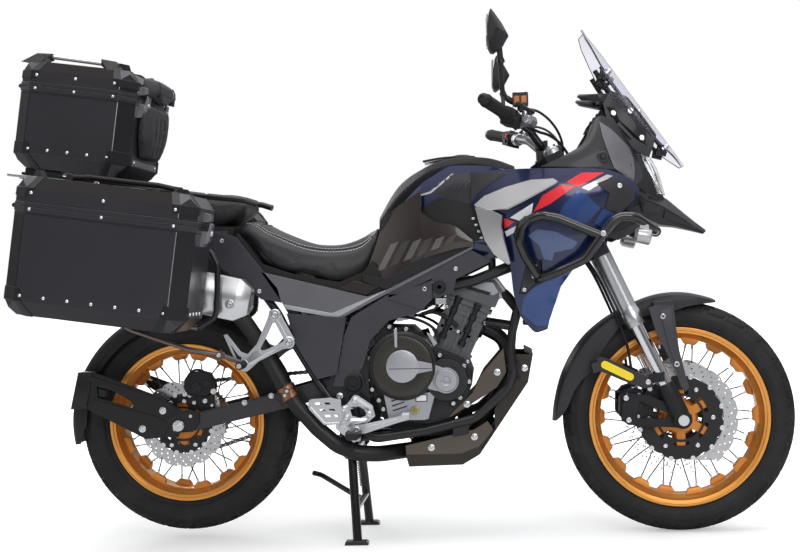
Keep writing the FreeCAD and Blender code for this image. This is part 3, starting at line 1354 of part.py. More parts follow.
def backrest(rows):
    """A faceted pad on the front face of the top case."""
    front = d.top_case_length + CLAMP_FIT
    sections = [[(front, -wide, up), (front + proud, -narrow, up), (front + proud, narrow, up),
                 (front, wide, up)] for up, proud, wide, narrow in rows]
    pad = fused([loft(pair) for pair in zip(sections, sections[1:])])
    pad.Placement = CASES[2].place.multiply(pad.Placement)
    return pad


feature("backrest_lower", backrest(PAD_ROWS[:3]))
feature("backrest_upper", backrest(PAD_ROWS[3:]))

CARRIER_Y = 276.7
CARRIER = [(x, CARRIER_Y, z) for x, z in (
    (-503, 720), (-500, 800), (-520, 840), (-905, 900), (-960, 880),
    (-985, 730), (-960, 690), (-560, 628), (-510, 655), (-503, 728),
)]
CARRIER_STAY = ((-789, CARRIER_Y, 664), (-760, 270, 630), (-587, 262, 566), (-503, 252, 549),
                (-446, 222, 522))


RACK_HALF = 125.0
RACK_SLABS = (
    # start forwards, length, bottom, thickness in the frame of the top case: deck, two cushions
    (20, 300, -22, 8),
    (30, 24, -15, 15),
    (290, 24, -15, 15),
)
RACK_TUBES = (
    # route on one side, radius, bend: grab rail and its two posts
    (((-960, 118, 1058), (-800, 120, 1034), (-690, 134, 1020), (-560, 136, 1000), (-448, 128, 985),
      (-416, 118, 974)), 9, 30),
    (((-640, 136, 1012), (-642, 138, 960), (-640, 116, 872)), 8, 20),
    (((-880, 120, 1044), (-884, 122, 980), (-880, 102, 905)), 8, 20),
)


def luggage_rack():
    pieces = []
    for start, length, bottom, thickness in RACK_SLABS:
        slab = Part.makeBox(length, 2 * RACK_HALF, thickness, Vector(start, -RACK_HALF, bottom))
        slab.Placement = CASES[2].place.multiply(slab.Placement)
        pieces.append(slab)
    for sign in (-1, 1):
        pieces += [tube(side(route, sign), radius, bend) for route, radius, bend in RACK_TUBES]
    return fused(pieces)


def case_carrier(sign):
    return fused([
        tube(side(CARRIER, sign), 8, 30),
        rod((-560, sign * 276, 846), (-560, sign * 113, 846), 8),
        rod((-900, sign * 276, 899), (-896, sign * 98, 905), 8),
        tube(side(CARRIER_STAY, sign), 7, 60),
    ])


rack_neighbours = [tail_outer(), rear_subframe(), passenger_pegs(), mirrored(passenger_pegs()),
                   pillion()]
feature("luggage_rack", luggage_rack().cut(rack_neighbours))
carriers = [case_carrier(sign).cut(rack_neighbours + [silencer()]) for sign in (-1, 1)]
feature("case_carriers", Part.makeCompound(carriers))

# ---------------------------------------------------------------- checks and export
doc.recompute()
for item in doc.Objects:
    if "Invalid" in item.State or "Error" in item.State:
        raise RuntimeError(f"{item.Label} failed: {item.State}")
os.makedirs("parts", exist_ok=True)
for part in sub_parts:
    if part.Shape.isNull() or not part.Shape.isValid() or not part.Shape.Solids:
        raise RuntimeError(f"{part.Label} has no valid shape")
    part.Shape.exportStep(f"parts/{part.Label}.step")
print(len(sub_parts), "sub-parts")
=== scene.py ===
import math
import bpy
import bmesh
from math import cos, pi, radians, sin
from mathutils import Matrix, Vector
from mathutils.bvhtree import BVHTree


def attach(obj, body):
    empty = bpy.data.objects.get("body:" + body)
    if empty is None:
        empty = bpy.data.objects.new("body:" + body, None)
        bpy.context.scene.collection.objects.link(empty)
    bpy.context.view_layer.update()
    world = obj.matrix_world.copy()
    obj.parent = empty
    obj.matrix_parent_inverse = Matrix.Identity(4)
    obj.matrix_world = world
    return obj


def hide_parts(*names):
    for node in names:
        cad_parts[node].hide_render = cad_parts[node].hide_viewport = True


# Places are in millimetres of the part's own table, whose X starts SHIFT behind the frame's.
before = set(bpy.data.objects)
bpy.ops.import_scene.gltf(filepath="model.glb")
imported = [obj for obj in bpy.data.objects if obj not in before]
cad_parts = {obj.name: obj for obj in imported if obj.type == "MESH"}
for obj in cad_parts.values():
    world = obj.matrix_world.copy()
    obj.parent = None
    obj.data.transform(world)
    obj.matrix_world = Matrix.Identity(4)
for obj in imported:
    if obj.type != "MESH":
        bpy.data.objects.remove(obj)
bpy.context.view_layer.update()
SHIFT = 9.45
ACROSS = Vector((0, 1, 0))


def metres(p):
    return Vector(((p[0] + SHIFT) / 1000, p[1] / 1000, p[2] / 1000))


# ---------------------------------------------------------------- camera, floor and light
# the camera was fitted to the photo's outlines: turns in radians, its place in table millimetres
YAW, PITCH, ROLL = 0.087485, 0.002458, -0.030283
CAMERA_PLACE = (315.65, -3834.92, 745.20)
SENSOR_WIDTH, FOCAL_LENGTH = 36.0, 59.02
CLIP_START, CLIP_END = 0.1, 60.0
# name, place, what it points at, size and watts; metres
SOFTBOXES = (
    ("top_softbox", (0.2, -0.4, 4.2), (0, 0, 0.6), (4.5, 2.6), 95),
    ("front_softbox", (1.6, -4.4, 2.6), (0.1, 0, 0.7), (2.6, 2.2), 70),
    ("rear_softbox", (-2.8, 3.6, 2.6), (0, 0, 0.7), (2.6, 2.2), 55),
)
# how a reflection sees the surroundings, by the sine of the height: dim at the horizon, white from RISE_END up
RISE_START, RISE_END, RISE_DIM = 0.02, 0.62, 0.10
AMBIENT, AMBIENT_STRENGTH = (0.96, 0.98, 1.0), 0.50
# the floor glows for the camera only: by CENTRE_GLOW within FADE_START metres, white beyond FADE_END
FLOOR_REACH = 30.0
FADE_START, FADE_END, CENTRE_GLOW = 0.9, 3.0, 0.40


def make_camera():
    yaw, pitch, roll = YAW, PITCH, ROLL
    ahead = Vector((-sin(yaw) * cos(pitch), cos(yaw) * cos(pitch), sin(pitch)))
    level = ahead.cross(Vector((0, 0, 1))).normalized()
    above = level.cross(ahead)
    right = level * cos(roll) + above * sin(roll)
    up = above * cos(roll) - level * sin(roll)
    camera = bpy.data.objects.new("camera", bpy.data.cameras.new("camera"))
    bpy.context.scene.collection.objects.link(camera)
    turn = Matrix((right, up, -ahead)).transposed().to_4x4()
    camera.matrix_world = Matrix.Translation(metres(CAMERA_PLACE)) @ turn
    camera.data.sensor_width = SENSOR_WIDTH
    camera.data.lens = FOCAL_LENGTH
    camera.data.clip_start, camera.data.clip_end = CLIP_START, CLIP_END
    bpy.context.scene.camera = camera


def area_light(name, place, target, size, watts):
    data = bpy.data.lights.new(name, "AREA")
    data.shape = "RECTANGLE"
    data.size, data.size_y = size
    data.energy = watts
    lamp = bpy.data.objects.new(name, data)
    bpy.context.scene.collection.objects.link(lamp)
    lamp.location = place
    lamp.rotation_euler = (Vector(target) - Vector(place)).to_track_quat("-Z", "Y").to_euler()


def mixed(tree, first, second, share):
    mix = tree.nodes.new("ShaderNodeMixShader")
    tree.links.new(share, mix.inputs[0])
    tree.links.new(first, mix.inputs[1])
    tree.links.new(second, mix.inputs[2])
    return mix.outputs[0]


def background(tree, colour, strength):
    made = tree.nodes.new("ShaderNodeBackground")
    made.inputs["Color"].default_value = (*colour, 1)
    if isinstance(strength, float):
        made.inputs["Strength"].default_value = strength
    else:
        tree.links.new(strength, made.inputs["Strength"])
    return made.outputs[0]


def studio_world(tree):
    """White to the eye and through glass; to a reflection, white above and dimmer round the horizon."""
    path = tree.nodes.new("ShaderNodeLightPath")
    sky = tree.nodes.new("ShaderNodeTexCoord")
    parts = tree.nodes.new("ShaderNodeSeparateXYZ")
    tree.links.new(sky.outputs["Generated"], parts.inputs[0])
    rise = tree.nodes.new("ShaderNodeMapRange")
    rise.interpolation_type = "SMOOTHSTEP"
    for key, value in (("From Min", RISE_START), ("From Max", RISE_END), ("To Min", RISE_DIM), ("To Max", 1.0)):
        rise.inputs[key].default_value = value
    tree.links.new(parts.outputs["Z"], rise.inputs["Value"])
    lit = background(tree, AMBIENT, AMBIENT_STRENGTH)
    mirrored = background(tree, (1, 1, 1), rise.outputs[0])
    white = background(tree, (1, 1, 1), 1.0)
    surface = mixed(tree, lit, mirrored, path.outputs["Is Glossy Ray"])
    surface = mixed(tree, surface, white, path.outputs["Is Transmission Ray"])
    return mixed(tree, surface, white, path.outputs["Is Camera Ray"])


def make_stage():
    scene = bpy.context.scene
    scene.view_settings.view_transform = "Standard"
    world = bpy.data.worlds.new("studio")
    scene.world = world
    world.use_nodes = True
    tree = world.node_tree
    tree.nodes.clear()
    out = tree.nodes.new("ShaderNodeOutputWorld")
    tree.links.new(studio_world(tree), out.inputs[0])
    for softbox in SOFTBOXES:
        area_light(*softbox)
    mesh = bpy.data.meshes.new("floor")
    reach = FLOOR_REACH
    mesh.from_pydata([(-reach, -reach, 0), (reach, -reach, 0), (reach, reach, 0), (-reach, reach, 0)], [],
                     [(0, 1, 2, 3)])
    floor = bpy.data.objects.new("floor", mesh)
    scene.collection.objects.link(floor)
    paint = bpy.data.materials.new("floor_paint")
    paint.use_nodes = True
    shader = paint.node_tree.nodes["Principled BSDF"]
    shader.inputs["Base Color"].default_value = (0.9, 0.9, 0.9, 1)
    shader.inputs["Roughness"].default_value = 0.6
    shader.inputs["Specular IOR Level"].default_value = 0.1
    path = paint.node_tree.nodes.new("ShaderNodeLightPath")
    where = paint.node_tree.nodes.new("ShaderNodeTexCoord")
    reach_out = paint.node_tree.nodes.new("ShaderNodeVectorMath")
    reach_out.operation = "LENGTH"
    fade = paint.node_tree.nodes.new("ShaderNodeMapRange")
    for key, value in (("From Min", FADE_START), ("From Max", FADE_END), ("To Min", CENTRE_GLOW), ("To Max", 1.0)):
        fade.inputs[key].default_value = value
    glow = paint.node_tree.nodes.new("ShaderNodeMath")
    glow.operation = "MULTIPLY"
    link = paint.node_tree.links.new
    link(where.outputs["Object"], reach_out.inputs[0])
    link(reach_out.outputs["Value"], fade.inputs["Value"])
    link(fade.outputs[0], glow.inputs[1])
    link(path.outputs["Is Camera Ray"], glow.inputs[0])
    link(glow.outputs[0], shader.inputs["Emission Strength"])
    shader.inputs["Emission Color"].default_value = (1, 1, 1, 1)
    mesh.materials.append(paint)


make_camera()
make_stage()


# ---------------------------------------------------------------- materials
def node(tree, kind, **values):
    made = tree.nodes.new("ShaderNode" + kind)
    for key, value in values.items():
        if hasattr(made, key):
            setattr(made, key, value)
        else:
            made.inputs[key].default_value = value
    return made


COAT_ROUGHNESS = 0.06
GLOSS_DRIFT = (0.82, 1.2)
GRAIN_DEPTH = 0.0004
# wear and painted edge highlight: how well the rounded and the true normal agree where it starts and where it is
# full, and its most
WEAR_HIGHLIGHT_START, WEAR_HIGHLIGHT_FULL, WEAR_HIGHLIGHT_SHARE = 0.985, 0.86, 0.75
DUST_START, DUST_FULL, DUST_COLOUR = 0.45, 0.8, (0.30, 0.29, 0.28, 1)


def material(name, colour, rough, metal=0.0, coat=0.0, mottle=0.10, mottle_size=60.0, grain=0.12,
             grain_size=1.2, stretch=(1, 1, 1), edge=0.0, wear_and_highlight=None, specular=0.3, dust=0.0):
    """A finish with colour drift, uneven gloss, surface grain, soft edges and a lighter colour along them, which is
    wear and on the cases a painted highlight; sizes in mm.
    """
    made = bpy.data.materials.new(name)
    made.use_nodes = True
    made.diffuse_color = (*colour, 1)
    tree = made.node_tree
    link = tree.links.new
    shader = tree.nodes["Principled BSDF"]
    shader.inputs["Metallic"].default_value = metal
    shader.inputs["Coat Weight"].default_value = coat
    shader.inputs["Coat Roughness"].default_value = COAT_ROUGHNESS
    shader.inputs["Specular IOR Level"].default_value = specular if metal < 0.2 else 0.5
    place = node(tree, "TexCoord")
    scale = node(tree, "Mapping")
    scale.inputs["Scale"].default_value = stretch
    link(place.outputs["Object"], scale.inputs["Vector"])
    drift = node(tree, "TexNoise", Scale=1000 / mottle_size, Detail=4.0, Roughness=0.6)
    link(scale.outputs[0], drift.inputs["Vector"])
    tint = node(tree, "Mix", data_type="RGBA")
    tint.inputs[6].default_value = (*[c * (1 - mottle) for c in colour], 1)
    tint.inputs[7].default_value = (*[min(1, c * (1 + mottle) + 0.01 * mottle) for c in colour], 1)
    link(drift.outputs["Fac"], tint.inputs[0])
    colour_out = tint.outputs[2]
    gloss = node(tree, "MapRange")
    gloss.inputs["To Min"].default_value = rough * GLOSS_DRIFT[0]
    gloss.inputs["To Max"].default_value = min(1, rough * GLOSS_DRIFT[1])
    link(drift.outputs["Fac"], gloss.inputs["Value"])
    link(gloss.outputs[0], shader.inputs["Roughness"])
    fine = node(tree, "TexNoise", Scale=1000 / grain_size, Detail=2.0)
    link(scale.outputs[0], fine.inputs["Vector"])
    bump = node(tree, "Bump", Strength=grain, Distance=GRAIN_DEPTH)
    link(fine.outputs["Fac"], bump.inputs["Height"])
    if edge:
        rounded = node(tree, "Bevel", samples=4)
        rounded.inputs["Radius"].default_value = edge / 1000
        link(rounded.outputs[0], bump.inputs["Normal"])
        # a lighter colour where the rounded normal turns from the true one: wear, and on the cases a painted
        # highlight of the edges
        if wear_and_highlight:
            real = node(tree, "NewGeometry")
            along = node(tree, "VectorMath", operation="DOT_PRODUCT")
            link(rounded.outputs[0], along.inputs[0])
            link(real.outputs["Normal"], along.inputs[1])
            mask = node(tree, "MapRange")
            mask.inputs["From Min"].default_value = WEAR_HIGHLIGHT_START
            mask.inputs["From Max"].default_value = WEAR_HIGHLIGHT_FULL
            mask.inputs["To Max"].default_value = WEAR_HIGHLIGHT_SHARE
            link(along.outputs["Value"], mask.inputs["Value"])
            wear_and_highlight_tint = node(tree, "Mix", data_type="RGBA")
            wear_and_highlight_tint.inputs[7].default_value = (*wear_and_highlight, 1)
            link(mask.outputs[0], wear_and_highlight_tint.inputs[0])
            link(colour_out, wear_and_highlight_tint.inputs[6])
            colour_out = wear_and_highlight_tint.outputs[2]
    if dust:
        settled = node(tree, "TexNoise", Scale=9.0, Detail=6.0, Roughness=0.7)
        link(place.outputs["Object"], settled.inputs["Vector"])
        mask = node(tree, "MapRange")
        mask.inputs["From Min"].default_value = DUST_START
        mask.inputs["From Max"].default_value = DUST_FULL
        mask.inputs["To Max"].default_value = dust
        link(settled.outputs["Fac"], mask.inputs["Value"])
        dusty = node(tree, "Mix", data_type="RGBA")
        dusty.inputs[7].default_value = DUST_COLOUR
        link(mask.outputs[0], dusty.inputs[0])
        link(colour_out, dusty.inputs[6])
        colour_out = dusty.outputs[2]
    link(bump.outputs[0], shader.inputs["Normal"])
    link(colour_out, shader.inputs["Base Color"])
    return made


def clear(name, colour, rough, ior=1.45):
    """See-through plastic or glass."""
    made = material(name, colour, rough, mottle=0.03, grain=0.0, specular=0.5)
    shader = made.node_tree.nodes["Principled BSDF"]
    shader.inputs["Transmission Weight"].default_value = 1.0
    shader.inputs["IOR"].default_value = ior
    return made


TYRE = material("tyre_rubber", (0.011, 0.011, 0.012), 0.62, grain=0.25, grain_size=1.6, dust=0.05)
TREAD = material("tread_rubber", (0.008, 0.008, 0.009), 0.75, grain=0.35, grain_size=2.0, dust=0.10)
GOLD = material("gold_anodised", (0.83, 0.36, 0.075), 0.30, metal=0.75, coat=0.25, mottle=0.06, edge=0.7)
GOLD_CAST = material("gold_cast", (0.62, 0.23, 0.045), 0.42, metal=0.6, mottle=0.10, grain=0.3, edge=0.7)
SPOKE = material("black_spokes", (0.03, 0.03, 0.032), 0.35, metal=0.5)
STEEL = material("ground_steel", (0.55, 0.55, 0.56), 0.30, metal=1.0, mottle=0.10, edge=0.4)
BOLT = material("bright_bolts", (0.72, 0.73, 0.75), 0.25, metal=1.0, mottle=0.12, edge=0.3)
CARRIER_BLACK = material("black_anodised", (0.013, 0.013, 0.015), 0.42, metal=0.3, mottle=0.12, edge=0.5)
CHAIN_STEEL = material("chain_steel", (0.20, 0.19, 0.18), 0.38, metal=1.0, mottle=0.35, mottle_size=9, edge=0.3)
TUBE_GREY = material("fork_satin", (0.46, 0.47, 0.49), 0.30, metal=0.95, mottle=0.05, stretch=(1, 1, 0.05),
                     edge=0.5)
CHROME = material("fork_chrome", (0.66, 0.67, 0.70), 0.10, metal=1.0, mottle=0.04)
CAST_BLACK = material("cast_black", (0.012, 0.012, 0.014), 0.46, metal=0.1, mottle=0.15, grain=0.35,
                      grain_size=1.0, edge=1.0, wear_and_highlight=(0.08, 0.08, 0.085))
PAINT_BLACK = material("frame_black", (0.012, 0.012, 0.014), 0.34, coat=0.25, mottle=0.12, edge=1.0)
GLOSS_BLACK = material("gloss_black", (0.006, 0.006, 0.007), 0.16, coat=0.7, mottle=0.10, edge=0.8)
PLASTIC = material("moulded_black", (0.013, 0.013, 0.015), 0.50, grain=0.40, grain_size=0.9, edge=0.8)
PLASTIC_GREY = material("moulded_grey", (0.030, 0.030, 0.034), 0.46, grain=0.40, grain_size=0.9, edge=0.8)
RUBBER = material("soft_rubber", (0.011, 0.011, 0.012), 0.62, grain=0.35, grain_size=1.4)
ENGINE_BLACK = material("engine_black", (0.018, 0.018, 0.020), 0.44, metal=0.35, mottle=0.25, mottle_size=30,
                        grain=0.5, grain_size=1.1, edge=1.2, wear_and_highlight=(0.10, 0.10, 0.11))
ENGINE_GREY = material("engine_grey", (0.105, 0.107, 0.115), 0.42, metal=0.5, mottle=0.16, mottle_size=40,
                       grain=0.45, grain_size=1.1, edge=1.2, wear_and_highlight=(0.25, 0.25, 0.26))
OLIVE = material("cover_olive", (0.040, 0.038, 0.033), 0.34, metal=0.5, mottle=0.08, edge=1.0)
ALLOY = material("silver_alloy", (0.52, 0.53, 0.56), 0.33, metal=0.85, mottle=0.08, grain=0.3, edge=1.0,
                 wear_and_highlight=(0.75, 0.76, 0.78))
COVER_SILVER = material("cover_silver", (0.40, 0.40, 0.44), 0.36, metal=0.7, mottle=0.07, grain=0.25, edge=0.9)
FIN = material("radiator_fins", (0.035, 0.035, 0.037), 0.5, metal=0.4)
BRONZE = material("bash_bronze", (0.118, 0.098, 0.082), 0.36, metal=0.75, mottle=0.10,
                  stretch=(0.15, 1, 1), grain=0.3, grain_size=2.0, edge=0.9)
BASH_DARK = material("bash_dark", (0.040, 0.035, 0.031), 0.40, metal=0.6, mottle=0.12, edge=0.9)
PIPE = material("pipe_black", (0.016, 0.015, 0.015), 0.40, metal=0.5, mottle=0.3, mottle_size=40, edge=0.6)
CLAMP_BRONZE = material("heated_clamp", (0.25, 0.13, 0.08), 0.32, metal=1.0, mottle=0.35, mottle_size=10)
SILENCER = material("silencer_silver", (0.60, 0.60, 0.62), 0.28, metal=0.95, mottle=0.05,
                    stretch=(0.2, 1, 1), edge=1.0)
NAVY = material("navy_metallic", (0.005, 0.011, 0.058), 0.24, metal=0.30, coat=0.65, mottle=0.20,
                mottle_size=1.2, edge=0.8)
BLUE = material("blue_metallic", (0.012, 0.05, 0.19), 0.26, metal=0.5, coat=0.9, mottle=0.20, mottle_size=1.2)
BLUE_GREY = material("blue_grey_metallic", (0.075, 0.105, 0.22), 0.28, metal=0.6, coat=0.6, mottle=0.12,
                     mottle_size=1.2)
SILVER_PAINT = material("silver_metallic", (0.47, 0.46, 0.47), 0.30, metal=0.7, coat=0.6, mottle=0.06,
                        mottle_size=1.0, edge=0.9)
RED = material("red_stripe", (0.80, 0.025, 0.035), 0.28, coat=0.5, mottle=0.05)
WHITE = material("white_stripe", (0.80, 0.81, 0.84), 0.28, coat=0.5, mottle=0.03)
VINYL = material("seat_vinyl", (0.030, 0.030, 0.032), 0.48, mottle=0.10, grain=0.75, grain_size=1.9)
VINYL_PILLION = material("pillion_vinyl", (0.024, 0.024, 0.026), 0.52, mottle=0.10, grain=0.8, grain_size=1.6)
THREAD = material("thread", (0.62, 0.62, 0.64), 0.7, grain=0.6, grain_size=0.5)
BROWN = material("brown_metallic", (0.036, 0.026, 0.024), 0.30, metal=0.5, coat=0.6, mottle=0.14,
                 mottle_size=1.3, edge=0.8)
# lighter and darker copies of one finish for the knee panel's facet bars: painted light and shade
FACET_PAINTED_LIGHT = material("facet_painted_light", (0.135, 0.128, 0.125), 0.34, metal=0.5, coat=0.4, mottle=0.08, mottle_size=1.2)
FACET_PAINTED_SHADE = material("facet_painted_shade", (0.062, 0.058, 0.056), 0.36, metal=0.5, coat=0.4, mottle=0.08)
PANEL_GREY = material("panel_grey", (0.044, 0.044, 0.052), 0.42, metal=0.3, coat=0.1, mottle=0.08, edge=0.9)
PANEL_LIGHT = material("panel_light", (0.155, 0.152, 0.170), 0.36, metal=0.5, coat=0.2, mottle=0.05, edge=0.8)
BEAK_GREY = material("beak_grey", (0.018, 0.018, 0.021), 0.42, grain=0.3, coat=0.1, edge=1.0)
# the lighter colour along its edges stands for light caught on the rounded case edges: a painted highlight
CASE = material("case_anthracite", (0.030, 0.030, 0.036), 0.36, metal=0.35, coat=0.15, mottle=0.07,
                mottle_size=160, grain=0.5, grain_size=0.8, edge=1.4, wear_and_highlight=(0.16, 0.16, 0.18))
# a darker copy of the case finish for chamfers and lower slants that face away from the light: painted shade
CHAMFER_PAINTED_SHADE = material("case_chamfer_painted_shade", (0.009, 0.009, 0.012), 0.36, metal=0.3, mottle=0.06, grain=0.4,
                        grain_size=0.8, edge=1.2)
CAP_BLACK = material("cap_plastic", (0.010, 0.010, 0.011), 0.46, grain=0.5, grain_size=1.0, edge=1.2)
PAD = material("pad_rubber", (0.044, 0.044, 0.048), 0.55, mottle=0.10, grain=0.8, grain_size=1.2)
RACK_BRONZE = material("rack_bronze", (0.16, 0.125, 0.115), 0.30, metal=0.85, mottle=0.12, edge=0.8)
YELLOW = material("yellow_reflector", (0.95, 0.72, 0.02), 0.25, coat=0.8, mottle=0.03, grain=0.5, grain_size=2.5)
RED_SWITCH = material("red_switch", (0.65, 0.02, 0.02), 0.38, mottle=0.06)
RED_LENS = material("red_lens", (0.45, 0.008, 0.01), 0.14, coat=1.0, mottle=0.06, grain=0.3, grain_size=4)
LENS = clear("lamp_lens", (0.96, 0.97, 1.0), 0.03)
SCREEN = clear("screen_tint", (0.84, 0.84, 0.92), 0.0, ior=1.12)
MIRROR_GLASS = material("mirror_glass", (0.80, 0.82, 0.85), 0.03, metal=1.0, mottle=0.02, grain=0.0)
REFLECTOR = material("lamp_reflector", (0.85, 0.86, 0.9), 0.08, metal=1.0, mottle=0.03, grain=0.1)
DIAL = material("display_glass", (0.012, 0.013, 0.016), 0.08, coat=1.0, mottle=0.05, grain=0.0)
RECESS = material("recess_black", (0.010, 0.010, 0.011), 0.5, grain=0.3, mottle=0.05)
# nearly without reflection, so that on the tank's shoulders it stands in for a dark reflection: painted shade
CROWN_AND_PAINTED_SHADE = material("crown_black_and_painted_shade", (0.012, 0.012, 0.015), 0.42, grain=0.3, mottle=0.05, specular=0.05)
# a matt copy of the case finish without reflection, for the lids' upper slants: painted shade
SLANT_PAINTED_SHADE = material("slant_painted_shade", (0.034, 0.031, 0.031), 0.55, mottle=0.06, grain=0.4, specular=0.0)
BRASS = material("oil_plug", (0.42, 0.36, 0.16), 0.38, metal=0.6, mottle=0.15, edge=0.5)

FINISH = {
    # the CAD nodes that show as they are; pieces below stand for the others
    "front_axle": BOLT, "rear_axle": BOLT, "fork_clamps": CAST_BLACK, "handlebar": PAINT_BLACK,
    "brake_hoses": RUBBER, "control_cables": RUBBER, "main_frame": PAINT_BLACK, "rear_subframe": PAINT_BLACK,
    "crash_bars": GLOSS_BLACK, "centre_stand": GLOSS_BLACK, "side_stand": GLOSS_BLACK, "side_case_right": CASE,
    "side_case_right_lid": CASE, "side_case_left": CASE, "side_case_left_lid": CASE, "top_case": CASE,
    "top_case_lid": CASE, "luggage_rack": PAINT_BLACK,
}
for name, finish in FINISH.items():
    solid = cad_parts[name]
    solid.data.materials.clear()
    solid.data.materials.append(finish)


# ---------------------------------------------------------------- shape helpers, all in table millimetres
def blend_rows(rows, steps):
    """Rows of points, drawn through by a smooth curve with steps spans between each two rows."""
    rows = [[Vector(p) for p in row] for row in rows]
    out = []
    for i in range(len(rows) - 1):
        before = rows[max(i - 1, 0)]
        after = rows[min(i + 2, len(rows) - 1)]
        for step in range(steps):
            t = step / steps
            out.append([curve_point(a, p, q, b, t) for a, p, q, b in zip(before, rows[i], rows[i + 1], after)])
    out.append(rows[-1])
    return out


def curve_point(a, p, q, b, t):
    return 0.5 * (2 * p + (q - a) * t + (2 * a - 5 * p + 4 * q - b) * t ** 2 + (3 * p - a - 3 * q + b) * t ** 3)


def smooth_line(points, steps=6):
    return [row[0] for row in blend_rows([[p] for p in points], steps)]


def smooth_grid(rows, down=4, along=4):
    rows = blend_rows(rows, down)
    turned = blend_rows([list(column) for column in zip(*rows)], along)
    return [list(column) for column in zip(*turned)]


def rounded_path(points, bend, steps=6):
    """Straight runs joined by arcs of radius bend, as a list of points."""
    points = [Vector(p) for p in points]
    out = [points[0]]
    for before, corner, after in zip(points, points[1:], points[2:]):
        towards = (before - corner).normalized()
        onwards = (after - corner).normalized()
        half = towards.angle(onwards) / 2
        if half > 1.56:
            out.append(corner)
            continue
        room = 0.48 * min((before - corner).length, (after - corner).length)
        setback = min(bend / math.tan(half), room)
        for step in range(steps + 1):
            t = step / steps
            enter, leave = corner + towards * setback, corner + onwards * setback
            out.append(enter * (1 - t) ** 2 + corner * (2 * t * (1 - t)) + leave * t ** 2)
    out.append(points[-1])
    return out


def basis(way):
    way = Vector(way).normalized()
    aside = way.cross(Vector((0, 0, 1)) if abs(way.z) < 0.9 else Vector((1, 0, 0))).normalized()
    return way, aside, way.cross(aside)


def between(side, near, far):
    """From and to across the machine, of a thing between two distances out on one side."""
    return sorted((side * near, side * far))


def flank(side, spots):
    """Places on one side of the machine, from (x, height, distance out)."""
    return [(x, side * y, z) for x, z, y in spots]


def around(centre, angle, radius, y):
    """A point of a wheel: angle from straight ahead, radius and distance across."""
    return Vector((centre[0] + radius * cos(angle), y, centre[2] + radius * sin(angle)))


